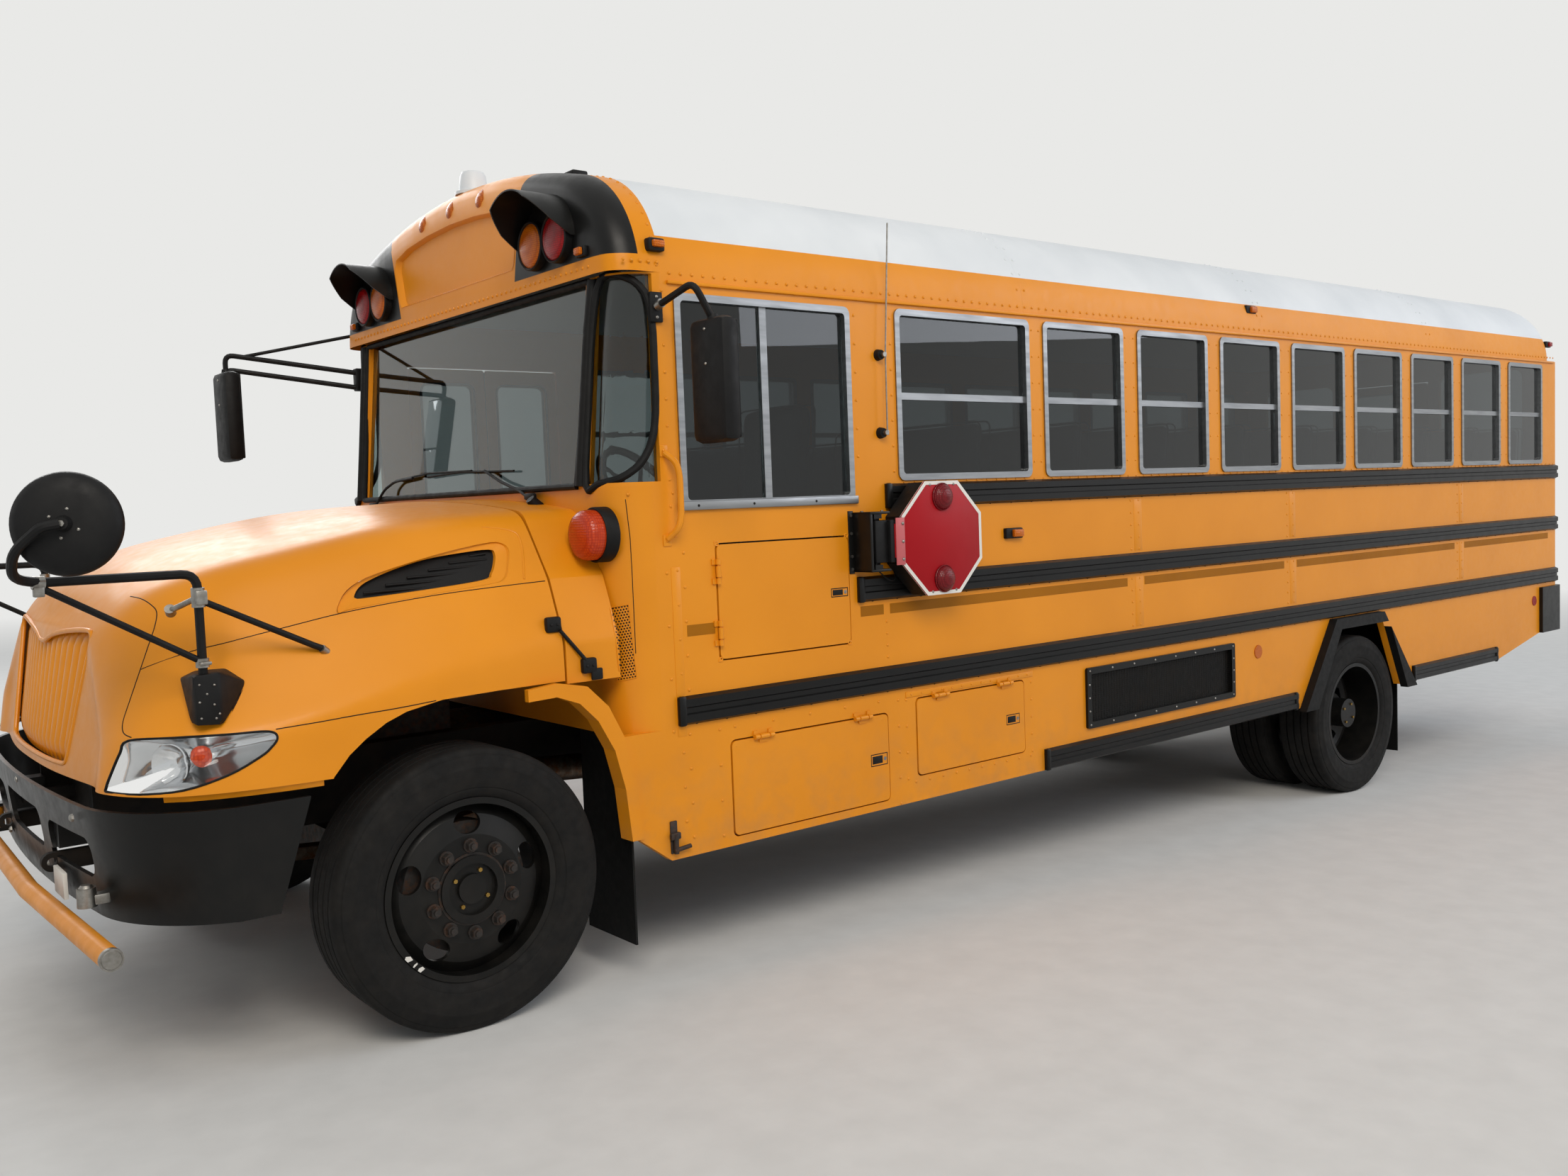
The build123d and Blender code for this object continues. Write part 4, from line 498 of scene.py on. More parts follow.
# the same enamel in two colours: white above the cove, yellow below it
roof_paint, tree, place = start_material("roof_two_tone")
upright = {0: place, 1: (math.sin(rake), 0.0, math.cos(rake))}
climb = add_node(tree, "VectorMath", upright, "Value", operation="DOT_PRODUCT")
split = cove_split + centre_shift * math.sin(rake) + ground_shift * math.cos(rake)
edge = {"Value": climb, "From Min": split - paint_edge, "From Max": split + paint_edge}
skin = {
    0: add_node(tree, "MapRange", edge, clamp=True),
    6: tones(tree, place, panel_scale, 0.35, 0.65, body_yellow, body_shade),
    7: tones(tree, place, panel_scale, 0.35, 0.65, roof_white, roof_shade),
}
end_material(roof_paint, tree, {
    "Base Color": add_node(tree, "Mix", skin, 2, data_type="RGBA"),
    "Roughness": mottle(tree, place, gloss_scale, 0.3, 0.7, 0.36, 0.46),
    "Normal": grain(tree, place, peel_scale, 2.0, 0.0004, 0.25), "Specular IOR Level": 0.25,
})

# %% Finishes: the material, its slot in the record, and the CAD nodes that wear it
finishes = [
    (yellow_enamel, "yellow paint", "battery_door crossing_arm electric_door entrance_door_front"),
    (yellow_enamel, "yellow paint", "entrance_door_rear exit_door front_body front_roof_cap fuel_door"),
    (yellow_enamel, "yellow paint", "grille hood left_side_wall rear_wall right_side_wall"),
    (roof_paint, "white paint", "roof"),
    (white_enamel, "white paint", ""),
    (border_white, "white paint", ""),
    (tape_yellow, "yellow paint", ""),
    (stop_red, "stop red paint", "stop_arm"),
    (black_enamel, "black paint", "front_bumper front_wheel_left front_wheel_right lamp_visors"),
    (black_enamel, "black paint", "rear_bumper rear_wheels_left rear_wheels_right side_grille"),
    (black_enamel, "black paint", "stop_arm_bracket"),
    (rail_enamel, "black paint", "rub_rails"),
    (frame_paint, "frame paint", "chassis_frame drive_shaft fuel_tank"),
    (tyre_rubber, "tyre", "front_tyre_left front_tyre_right rear_tyres_left rear_tyres_right"),
    (seal_rubber, "rubber", "wheel_arch_rubber"),
    (floor_rubber, "floor cover", "bus_floor"),
    (moulded_black, "mirror housing", "cross_view_mirrors hood_vents rear_view_mirrors"),
    (dash_plastic, "dash plastic", "driver_station"),
    (seat_vinyl, "seat cover", "bench_seats_left bench_seats_right"),
    (window_aluminium, "window frame", "window_frames"),
    (cast_iron, "cast iron", "engine front_axle knuckle_left knuckle_right rear_axle"),
    (exhaust_steel, "steel", "exhaust leaf_springs"),
    (zinc_steel, "steel", ""),
    (rusty_steel, "steel", ""),
    (brass, "steel", ""),
    (chrome, "steel", ""),
    (mirror_silver, "glass", ""),
    (side_glass, "glass", "window_glass"),
    (screen_glass, "glass", "windshield"),
    (lamp_glass, "headlamp lens", "headlamps"),
    (red_lens, "lamp lens", "warning_lamps"),
    (turn_lens, "lamp lens", "marker_lamps"),
    (amber_lens, "lamp lens", ""),
    (clear_lens, "lamp lens", ""),
]
painted = 0
for material, slot, node_names in finishes:
    usual_slot[material.name] = slot
    for node_name in node_names.split():
        solids[node_name].data.materials.clear()
        solids[node_name].data.materials.append(material)
        painted += 1
print("solids painted:", painted, "of", len(solids))

# %% [markdown]
# ## Floor, light and camera
# The bus stands on a pale floor that runs up into a pale backdrop. One large soft lamp
# gives the daylight from above, and a second fills the shadow side. The camera has
# the place, the turn and the lens that were worked out from the bus's own lines.

# %% Floor and backdrop
haze_white, haze_near, haze_far = "#e9e9e7", 7.0, 26.0
# a painted studio floor: pale and matt, it fades into the backdrop
floor_material, tree, place = start_material("pale_studio_floor")
near_floor = add_node(tree, "BsdfPrincipled", {
    "Base Color": tones(tree, place, 6.0, 0.3, 0.7, "#d9d9d7", "#d2d2d0"),
    "Roughness": 0.8, "Specular IOR Level": 0.2,
})
distance = add_node(tree, "VectorMath", {0: place}, "Value", operation="LENGTH")
reach = {"Value": distance, "From Min": haze_near, "From Max": haze_far}
far_away = add_node(tree, "MapRange", reach, clamp=True)


def pale_rays(tree):
    """1 for a ray from the camera, off a gloss or through glass, which see the pale backdrop."""
    paths = add_node(tree, "LightPath").node.outputs
    mirrored = {0: paths["Is Glossy Ray"], 1: paths["Is Transmission Ray"]}
    mirrored = add_node(tree, "Math", mirrored, operation="MAXIMUM")
    return add_node(tree, "Math", {0: paths["Is Camera Ray"], 1: mirrored}, operation="MAXIMUM")


haze = add_node(tree, "Emission", {"Color": colour(haze_white), "Strength": 1.0})
hazy = add_node(tree, "Math", {0: far_away, 1: pale_rays(tree)}, operation="MULTIPLY")
floor_shader = add_node(tree, "MixShader", {0: hazy, 1: near_floor, 2: haze})
add_node(tree, "OutputMaterial", {"Surface": floor_shader})
bm = bmesh.new()
bmesh.ops.create_grid(bm, x_segments=1, y_segments=1, size=60.0)
studio_floor = to_object(bm, "studio_floor")
studio_floor.data.materials.append(floor_material)

# %% World and lamps
world = bpy.data.worlds.new("soft_studio")
bpy.context.scene.world = world
world.use_nodes = True
tree = world.node_tree
tree.nodes.clear()
sky_place = add_node(tree, "TexCoord", out="Generated")
sky_height = add_node(tree, "SeparateXYZ", {"Vector": sky_place}, "Z")
rise = {"Value": sky_height, "From Min": -0.05, "From Max": 0.6}
sky = {0: add_node(tree, "MapRange", rise, clamp=True), 6: colour("#e4e4e2"), 7: colour("#d3d9df")}
sky = add_node(tree, "Mix", sky, 2, data_type="RGBA")
plain = add_node(tree, "Background", {"Color": sky, "Strength": 0.56})
seen = add_node(tree, "Background", {"Color": colour(haze_white), "Strength": 1.0})
mixed = add_node(tree, "MixShader", {0: pale_rays(tree), 1: plain, 2: seen})
add_node(tree, "OutputWorld", {"Surface": mixed})


def lamp(name, place, target, size, watts, tone):
    """A soft rectangular lamp that faces a target."""
    light = bpy.data.lights.new(name, "AREA")
    light.shape = "RECTANGLE"
    light.size, light.size_y = size
    light.energy = watts
    light.color = colour(tone)[:3]
    holder = bpy.data.objects.new(name, light)
    holder.location = place
    holder.rotation_euler = (Vector(target) - Vector(place)).to_track_quat("-Z", "Y").to_euler()
    bpy.context.scene.collection.objects.link(holder)


lamp("key_lamp", (8.0, 11.0, 10.5), (0.0, 0.0, 1.4), (8.0, 6.0), 1250.0, "#fff7ec")
lamp("fill_lamp", (-9.0, 9.0, 7.0), (-1.0, 0.0, 1.4), (9.0, 6.0), 520.0, "#f1f5ff")
lamp("kerb_lamp", (2.0, -12.0, 8.0), (0.0, 0.0, 1.4), (9.0, 5.0), 620.0, "#ffffff")

# %% Camera
photo_width, lens_in_pixels, sensor_width = 2212, 1857.46, 36.0
eye = Vector((5.0545, 5.0487, 1.6509))
yaw, pitch, roll = (math.radians(angle) for angle in (230.923, -3.7085, -2.2038))
look = Vector((math.cos(yaw) * math.cos(pitch), math.sin(yaw) * math.cos(pitch), math.sin(pitch)))
right = look.cross(Vector((0, 0, 1))).normalized()
above = right.cross(look)
right, above = (
    right * math.cos(roll) + above * math.sin(roll),
    -right * math.sin(roll) + above * math.cos(roll),
)
facing = Matrix((right, above, -look)).transposed().to_4x4()
camera_data = bpy.data.cameras.new("photo_camera")
camera_data.sensor_fit = "HORIZONTAL"
camera_data.sensor_width = sensor_width
camera_data.lens = sensor_width * lens_in_pixels / photo_width
camera_data.clip_end = 200.0
camera = bpy.data.objects.new("photo_camera", camera_data)
camera.matrix_world = stance @ Matrix.Translation(eye) @ facing
bpy.context.scene.collection.objects.link(camera)
bpy.context.scene.camera = camera
bpy.context.scene.view_settings.view_transform = "Standard"
print("camera height above the road:", round(camera.matrix_world.translation.z, 3))

# %% [markdown]
# ## Curves and cutters
# Seams, gaskets and openings all follow curves that were read off the photograph. A
# Catmull-Rom spline runs smoothly through a few such points. Openings are cut with Boolean
# modifiers, whose result is baked into the mesh so that no cutter stays in the scene.

# %% Curve and cutting tools


def through(points, closed=False, steps=4):
    """A smooth run of points that passes through all the given ones."""
    points = [Vector(point) for point in points]
    count = len(points)
    run = []
    for place in range(count if closed else count - 1):
        if closed:
            before, start, end, after = (points[(place + shift) % count] for shift in (-1, 0, 1, 2))
        else:
            before, start, end = points[max(place - 1, 0)], points[place], points[place + 1]
            after = points[min(place + 2, count - 1)]
        for step in range(steps):
            t = step / steps
            run.append(
                0.5
                * (
                    2 * start
                    + (end - before) * t
                    + (2 * before - 5 * start + 4 * end - after) * t * t
                    + (3 * start - before - 3 * end + after) * t**3
                )
            )
    return run if closed else run + [points[-1]]


def mirrored(points):
    """The same points on the other side of the bus."""
    return [Vector((point[0], -point[1], point[2])) for point in points]


def both(points):
    """A run of points and its mirror image."""
    return [points, mirrored(points)]


def cutter(shapes):
    """A scratch object of prisms; each shape is a closed outline and a vector that it is pulled along."""
    bm = bmesh.new()
    for outline, push in shapes:
        push = Vector(push)
        near = [bm.verts.new(Vector(point) - push) for point in outline]
        far = [bm.verts.new(Vector(point) + push) for point in outline]
        middle = sum((Vector(point) for point in outline), Vector()) / len(outline)
        near_middle, far_middle = bm.verts.new(middle - push), bm.verts.new(middle + push)
        for place in range(len(outline)):
            after = (place + 1) % len(outline)
            bm.faces.new((near[place], near[after], far[after], far[place]))
            bm.faces.new((near[after], near[place], near_middle))
            bm.faces.new((far[place], far[after], far_middle))
    bmesh.ops.recalc_face_normals(bm, faces=bm.faces)
    bm.transform(stance)
    return to_object(bm, "cutter")


def apply_modifiers(piece):
    """Give a piece the mesh that its modifiers make of it, and take them off."""
    graph = bpy.context.evaluated_depsgraph_get()
    graph.update()
    mesh = bpy.data.meshes.new_from_object(piece.evaluated_get(graph))
    piece.modifiers.clear()
    piece.data = mesh
    return mesh


def bake(piece, cutters=(), smooth=40.0):
    """Bake a piece's modifiers and its cuts into its mesh, and drop the cutters."""
    for made in cutters:
        cut = piece.modifiers.new("cut", "BOOLEAN")
        cut.operation = "DIFFERENCE"
        cut.solver = "EXACT"
        cut.object = made
    mesh = apply_modifiers(piece)
    mesh.shade_smooth()
    mesh.set_sharp_from_angle(angle=math.radians(smooth))
    for made in cutters:
        bpy.data.objects.remove(made)


def beads(name, runs, radius, material, body="bus_body", slot=None, closed=False):
    """Thin round beads along smooth runs: gaskets, panel seams and rolled lips."""
    lines = [through(run, closed) for run in runs]
    if closed:
        lines = [line + line[:1] for line in lines]
    return tube(name, lines, radius, material, body, slot, bend=0.001, steps=1)


# %% [markdown]
# ## The hood
# The real hood is one moulding of sheet compound: a crowned centre, a waist where the
# fenders begin, and fenders that swell outward round the wheels. It is built here as a
# cage of a few cross sections, bridged one to the next, and a Subdivision Surface rounds
# the cage into the moulding. Cutters then open the arches, lamps, vents and grille.

# %% Hood sections
sill = 0.885
# x, then half width and height above the sill: crest height, shoulder, waist, fender
hood_sections = [
    (2.88, 0.827, 0.94, 0.77, 1.11, 0.54, 1.196, 0.33),
    (3.08, 0.82, 0.936, 0.756, 1.102, 0.515, 1.2, 0.315),
    (3.3, 0.809, 0.93, 0.74, 1.09, 0.48, 1.2, 0.28),
    (3.5, 0.778, 0.91, 0.705, 1.075, 0.44, 1.198, 0.23),
    (3.7, 0.74, 0.88, 0.66, 1.05, 0.4, 1.192, 0.18),
    (3.85, 0.71, 0.845, 0.63, 1.02, 0.372, 1.174, 0.16),
    (3.95, 0.68, 0.8, 0.6, 0.98, 0.35, 1.15, 0.15),
    (4.04, 0.65, 0.765, 0.577, 0.945, 0.345, 1.115, 0.15),
    (4.11, 0.61, 0.72, 0.545, 0.9, 0.34, 1.07, 0.15),
    (4.17, 0.57, 0.68, 0.508, 0.845, 0.32, 1.0, 0.15),
    (4.21, 0.53, 0.64, 0.47, 0.79, 0.3, 0.925, 0.15),
    (4.245, 0.475, 0.575, 0.43, 0.7, 0.275, 0.81, 0.14),
]


def hood_half(row):
    """Half a section of the cage, from the crest down to the sill."""
    x, crest, shoulder_y, shoulder_z, waist_y, waist_z, fender_y, fender_z = row
    drop = crest - shoulder_z
    points = [(share * shoulder_y, crest - drop * share**2) for share in (0.0, 0.3, 0.6, 0.84, 0.96)]
    for share in (0.12, 0.45, 0.8, 0.97):
        points.append(
            (shoulder_y + (waist_y - shoulder_y) * share, shoulder_z + (waist_z - shoulder_z) * share)
        )
    for share in (0.12, 0.45, 0.8, 0.97):
        points.append((waist_y + (fender_y - waist_y) * share, waist_z + (fender_z - waist_z) * share))
    points += [(fender_y, fender_z * 0.8), (fender_y, fender_z * 0.4), (fender_y, 0.0)]
    lean = 0.158 * min(1.0, max(0.0, (x - 3.9) / 0.34))
    return [(x - lean * z, y, sill + z) for y, z in points]


def nose_x(y, z):
    """How far forward the nose stands at a width and a height."""
    return 4.268 - 0.158 * (z - sill) - 0.1 * y * y


# %% Hood skin
bm = bmesh.new()
chains = []
for row in hood_sections:
    half = hood_half(row)
    corners = [(x, -y, z) for x, y, z in reversed(half[1:])] + half
    verts = [bm.verts.new(corner) for corner in corners]
    chains.append([bm.edges.new(pair) for pair in zip(verts, verts[1:])])
for near, far in zip(chains, chains[1:]):
    bmesh.ops.bridge_loops(bm, edges=near + far)
last = hood_half(hood_sections[-1])
outline = [Vector((x, -y, z)) for x, y, z in reversed(last[1:])] + [Vector(corner) for corner in last]
nose_middle = Vector((0, 0, sill + 0.2))
near = chains[-1]
for share in (0.93, 0.75, 0.5, 0.25):
    ring = []
    for corner in outline:
        y = corner.y * share
        z = nose_middle.z + (corner.z - nose_middle.z) * (share if corner.z > nose_middle.z else 1.0)
        ring.append(bm.verts.new((nose_x(y, z), y, z)))
    far = [bm.edges.new(pair) for pair in zip(ring, ring[1:])]
    bmesh.ops.bridge_loops(bm, edges=near + far)
    near = far
bm.faces.new(ring)
hood_skin = finish(bm, "hood_skin", yellow_enamel, "hood_body", smooth=40.0)
rounding = hood_skin.modifiers.new("rounding", "SUBSURF")
rounding.levels = rounding.render_levels = 2
shell = hood_skin.modifiers.new("shell", "SOLIDIFY")
shell.thickness = 0.012
shell.offset = -1.0
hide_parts("hood")

# %% [markdown]
# ## Openings in the hood
# The cuts follow outlines read off the photograph: the wheel arch seen square from the side,
# the headlamp that wraps round the corner, the teardrop recess round the louvred vent, and
# half of the grille.

# %% Outlines on the driver's side
arch_line = [
    (2.7, 1.2, 0.7), (2.7, 1.2, 1.086), (2.9, 1.2, 1.086), (3.12, 1.2, 1.084), (3.318, 1.2, 1.078),
    (3.436, 1.2, 1.056), (3.502, 1.2, 1.03), (3.567, 1.2, 0.99), (3.619, 1.2, 0.948), (3.668, 1.2, 0.89),
    (3.69, 1.2, 0.85), (3.69, 1.2, 0.7),
]
lamp_line = [
    (4.168, 0.954, 1.043), (4.071, 1.069, 1.051), (3.946, 1.134, 1.05), (3.863, 1.161, 1.05),
    (3.828, 1.17, 1.043), (3.821, 1.175, 1.025), (3.838, 1.174, 1.003), (3.87, 1.168, 0.978),
    (3.956, 1.146, 0.935), (4.066, 1.096, 0.902), (4.16, 1.005, 0.893), (4.216, 0.892, 0.893),
    (4.219, 0.88, 0.905), (4.205, 0.903, 0.954), (4.187, 0.932, 1.008),
]
recess_line = [
    (3.571, 1.035, 1.366), (3.561, 1.018, 1.39), (3.526, 1.006, 1.43), (3.459, 0.999, 1.465),
    (3.324, 0.999, 1.502), (3.182, 0.998, 1.533), (3.029, 0.998, 1.556), (2.984, 1.008, 1.548),
    (2.974, 1.023, 1.525), (2.992, 1.054, 1.483), (3.013, 1.079, 1.446), (3.036, 1.086, 1.428),
    (3.08, 1.084, 1.42), (3.305, 1.066, 1.398), (3.518, 1.04, 1.374), (3.556, 1.036, 1.366),
]
vent_line = [
    (3.504, 1.019, 1.411), (3.485, 1.01, 1.435), (3.45, 1.006, 1.455), (3.367, 1.003, 1.484),
    (3.256, 1.003, 1.511), (3.144, 1.008, 1.525), (3.034, 1.014, 1.532), (3.018, 1.026, 1.516),
    (3.031, 1.048, 1.485), (3.054, 1.068, 1.453), (3.088, 1.077, 1.434), (3.286, 1.059, 1.415),
    (3.471, 1.032, 1.402), (3.5, 1.024, 1.403),
]
grille_half = [
    (0.0, 0.914), (0.2, 0.914), (0.36, 0.916), (0.43, 0.922), (0.452, 0.945), (0.47, 1.0), (0.505, 1.12),
    (0.545, 1.245), (0.565, 1.305), (0.555, 1.33), (0.52, 1.338), (0.4, 1.334), (0.25, 1.322), (0.12, 1.305),
    (0.04, 1.285), (0.0, 1.283),
]
lamp_ring = through(lamp_line, closed=True, steps=3)
recess_ring = through(recess_line, closed=True, steps=3)
grille_ring = [(4.2, y, z) for y, z in grille_half] + [(4.2, -y, z) for y, z in reversed(grille_half[1:-1])]
side_push = Vector((0.0, 0.25, 0.0))
lamp_push = Vector((0.11, 0.11, 0.0))
cuts = [
    [(arch_line, (0, 3.0, 0))],
    [(lamp_ring, lamp_push), (mirrored(lamp_ring), mirrored([lamp_push])[0])],
    [(recess_ring, side_push / 3), (mirrored(recess_ring), side_push / 3)],
    [(grille_ring, (0.16, 0, 0))],
]
bake(hood_skin, [cutter(shapes) for shapes in cuts])
print("hood skin faces:", len(hood_skin.data.polygons))

# %% [markdown]
# ## Vents in the hood
# Round each vent the moulding dips: a dished frame leads from the skin down to the louvre.
# The frame is four loops, bridged. Behind it lies a dark panel with slats.

# %% Dished frames and louvres
dish = bmesh.new()
for hand in (1, -1):
    loops = []
    for outline, sink in ((recess_ring, 0.0), (recess_ring, 0.008), (vent_line, 0.016), (vent_line, 0.034)):
        ring = outline if outline is recess_ring else through(outline, closed=True, steps=4)
        shrink = 1.0 if sink != 0.008 else 0.985
        middle = sum(ring, Vector()) / len(ring)
        ring = [middle + (point - middle) * shrink for point in ring]
        verts = [dish.verts.new((point.x, hand * (point.y - sink), point.z)) for point in ring]
        loops.append([dish.edges.new((verts[place - 1], verts[place])) for place in range(len(verts))])
    for near, far in zip(loops, loops[1:]):
        bmesh.ops.bridge_loops(dish, edges=near + far)
finish(dish, "vent_frames", yellow_enamel, "hood_body", outward=False)

louvre = bmesh.new()
for hand in (1, -1):
    ring = through(vent_line, closed=True, steps=3)
    verts = [louvre.verts.new((point.x, hand * (point.y - 0.032), point.z)) for point in ring]
    louvre.faces.new(verts)
    for slat in range(6):
        z = 1.418 + slat * 0.019
        front = 3.475 - slat * 0.075
        bar(
            louvre, (front, hand * (1.004 - slat * 0.004), z),
            (3.045, hand * (1.034 - slat * 0.008), z + 0.006), 0.004, 8
        )
vent_louvres = finish(louvre, "vent_louvres", moulded_black, "hood_body", "vent plastic", outward=False)
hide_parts("hood_vents")

# %% [markdown]
# ## Fluted grille
# The feature that marks this nose: a yellow panel of upright flutes, wider at the top, bent
# back a little on each side of a soft centre prow. One grid is laid over the opening, and
# each column of it is pushed in and out by a sine.

# %% Fluted panel
flutes = 17
columns = flutes * 8
levels = 14
low_z, high_z, low_half, high_half = 0.905, 1.345, 0.462, 0.575
bm = bmesh.new()
grid = []
for level in range(levels + 1):
    z = low_z + (high_z - low_z) * level / levels
    half = low_half + (high_half - low_half) * (z - low_z) / 0.44
    row = []
    for column in range(columns + 1):
        share = 2 * column / columns - 1
        y = share * half
        wave = abs(math.cos(math.pi * flutes * (share + 1) / 2))
        fade = min(1.0, level / 1.5, (levels - level) / 1.5)
        row.append(bm.verts.new((nose_x(y, z) - 0.034 + 0.022 * wave**0.6 * fade - 0.03 * y * y, y, z)))
    grid.append(row)
for low_row, high_row in zip(grid, grid[1:]):
    for place in range(columns):
        bm.faces.new((low_row[place], low_row[place + 1], high_row[place + 1], high_row[place]))
fluted_panel = finish(bm, "fluted_panel", yellow_enamel, "hood_body", smooth=60.0)
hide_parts("grille")
lip = [(nose_x(y, z) - 0.004, y, z) for x, y, z in grille_ring]
beads("grille_lip", [lip], 0.008, yellow_enamel, "hood_body", closed=True)

# %% [markdown]
# ## Headlamps
# Each lamp is a clear moulded cover over a chromed bowl, with a round reflector, an orange
# bulb for the indicator and a black seal. Cover and bowl are rings that shrink toward the
# middle of the same outline, one bulging out and one sinking in.

# %% Headlamp covers, bowls and bulbs
out_way = Vector((0.6, 0.8, 0.0))


def lamp_bowl(bm, hand, start, swell, shares):
    """Rings that shrink toward the middle of the lamp's outline and swell along its axis."""
    middle = sum(lamp_ring, Vector()) / len(lamp_ring)
    rings = []
    for share in shares:
        rings.append([])
        for point in lamp_ring:
            place = middle + (point - middle) * share + out_way * (start + swell * (1 - share**2))
            rings[-1].append(bm.verts.new((place.x, hand * place.y, place.z)))
    skin_rings(bm, rings)
    bm.faces.new(rings[-1])


covers, bowls, bulbs, rings_bm = bmesh.new(), bmesh.new(), bmesh.new(), bmesh.new()
for hand in (1, -1):
    lamp_bowl(covers, hand, -0.001, 0.036, (1.0, 0.93, 0.8, 0.62, 0.4, 0.2))
    lamp_bowl(bowls, hand, -0.006, -0.05, (1.0, 0.96, 0.9, 0.7, 0.4, 0.2))
    way = Vector((0.75, 0.66 * hand, 0.0))
    ring_spin(rings_bm, [(0.02, -0.035), (0.046, -0.012), (0.06, 0.008), (0.064, 0.006), (0.05, -0.018)],
              (4.085, hand * 1.02, 0.968), way, 40)
    dome(bulbs, (4.01, hand * 1.082, 0.99), (0.5, 0.85 * hand, 0), 0.03, 0.026, 6, 24)
lamp_covers = finish(covers, "lamp_covers", lamp_glass, "hood_body", outward=False)
finish(bowls, "lamp_bowls", chrome, "hood_body", outward=False)
finish(rings_bm, "lamp_reflectors", chrome, "hood_body")
finish(bulbs, "indicator_bulbs", turn_lens, "hood_body")
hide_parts("headlamps")
beads("lamp_seals", both(lamp_line), 0.0035, seal_rubber, "hood_body", closed=True)

# %% [markdown]
# ## Seams and the lower lip
# Where the nose, the hood and the fenders meet, a fine dark joint shows. Below the lamps a
# narrow yellow valance closes the gap to the bumper.

# %% Hood seams
nose_seam = [
    (4.062, 0.628, 1.44), (4.045, 0.7, 1.431), (4.033, 0.765, 1.412), (4.029, 0.791, 1.392),
    (4.043, 0.813, 1.353), (4.068, 0.833, 1.302), (4.101, 0.858, 1.234), (4.143, 0.887, 1.146),
    (4.168, 0.903, 1.09), (4.172, 0.925, 1.062), (4.16, 0.96, 1.052)
]
fender_seam = [
    (4.101, 0.858, 1.234), (3.97, 0.935, 1.282), (3.882, 0.971, 1.3), (3.726, 1.01, 1.332),
    (3.577, 1.033, 1.36), (3.409, 1.057, 1.383), (3.226, 1.078, 1.401), (3.019, 1.099, 1.413),
    (2.89, 1.11, 1.419)
]
arch_seam = [
    (3.822, 1.17, 1.052), (3.707, 1.185, 1.058), (3.587, 1.193, 1.065), (3.461, 1.197, 1.07),
    (3.34, 1.199, 1.078)
]
seams = both(nose_seam) + both(fender_seam) + both(arch_seam)


def onto(piece, run, lift=0.0, steps=4):
    """Lay a run of points on a piece's skin, looking inward from the side it is on."""
    laid = []
    for point in through(run, steps=steps):
        hand = 1 if point.y > 0 else -1
        way = stance.to_3x3() @ Vector((0.35, hand, 0.25)).normalized()
        start = stance @ point + way * 0.3
        found, spot, normal, _ = piece.ray_cast(start, -way)
        if found and (spot - stance @ point).length < 0.08:
            laid.append(stance.inverted() @ (spot + normal * lift))
    return laid


laid_seams = [onto(hood_skin, run, 0.0, 3) for run in seams]
tube("hood_seams", [run for run in laid_seams if len(run) > 3], 0.0016, seal_rubber, "hood_body")
crease = [
    (3.033, 0.957, 1.608), (2.959, 0.973, 1.598), (2.922, 0.993, 1.578), (2.924, 1.025, 1.534),
    (2.941, 1.062, 1.48), (2.96, 1.098, 1.43),
]
laid_creases = [onto(hood_skin, run, -0.001, 3) for run in both(crease)]
tube("hood_creases", [run for run in laid_creases if len(run) > 3], 0.004, yellow_enamel, "hood_body")

bm = bmesh.new()
lip_line = ((3.7, 1.186), (3.8, 1.176), (3.9, 1.156), (3.98, 1.132), (4.05, 1.1), (4.11, 1.055))
lip_section = ((0.0, 0.0, 0.892), (0.004, 0.01, 0.866), (0.01, 0.022, 0.864), (0.006, 0.012, 0.892))
for hand in (1, -1):
    rows = []
    for x, y in lip_line:
        rows.append([bm.verts.new((x - back, hand * (y - inward), z)) for back, inward, z in lip_section])
    skin_rings(bm, rows)
finish(bm, "lower_valance", yellow_enamel, "hood_body")

# %% [markdown]
# ## Wheels
# Each tyre is one closed section spun round its axle: beads, a sidewall with its scuff rib,
# shoulders, and a tread with four grooves. The steel discs get ten rusty flanged nuts on
# their studs and brass screws in the hub. The driver's front rim carries a painted highlight:
# white patches on its lip.

# %% Tyres
bead_radius = 0.2925
side_profile = [
    (0.2995, 0.1), (0.306, 0.108), (0.324, 0.1175), (0.33, 0.1175), (0.333, 0.1205), (0.35, 0.1245),
    (0.375, 0.1272), (0.392, 0.1268), (0.395, 0.1275), (0.401, 0.1275), (0.404, 0.1258), (0.42, 0.1232),
    (0.436, 0.1185), (0.439, 0.115), (0.446, 0.114), (0.453, 0.11), (0.4575, 0.104),
]
tread_edge = [(0.46, 0.096)]
for groove in (0.064, 0.0215, -0.0215, -0.064):
    tread_edge += [
        (0.4602, groove + 0.005), (0.449, groove + 0.003), (0.449, groove - 0.003), (0.4602, groove - 0.005)
    ]
tread_edge += [(0.46, -0.096)]
tyre_section = (
    [(bead_radius, 0.096)] + side_profile + tread_edge
    + [(radius, -height) for radius, height in reversed(side_profile)] + [(bead_radius, -0.096)]
)
front_y, rear_y, dual_gap = 1.046, 1.085, 0.33


def tyre_piece(name, body, node, places, hand):
    """One tyre, or the two of a rear pair, in place of a CAD node."""
    bm = bmesh.new()
    for x, y, z in places:
        ring_spin(bm, tyre_section, (x, hand * y, z), (0, hand, 0), 96)
    piece = finish(bm, name, tyre_rubber, body, smooth=30.0)
    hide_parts(node)


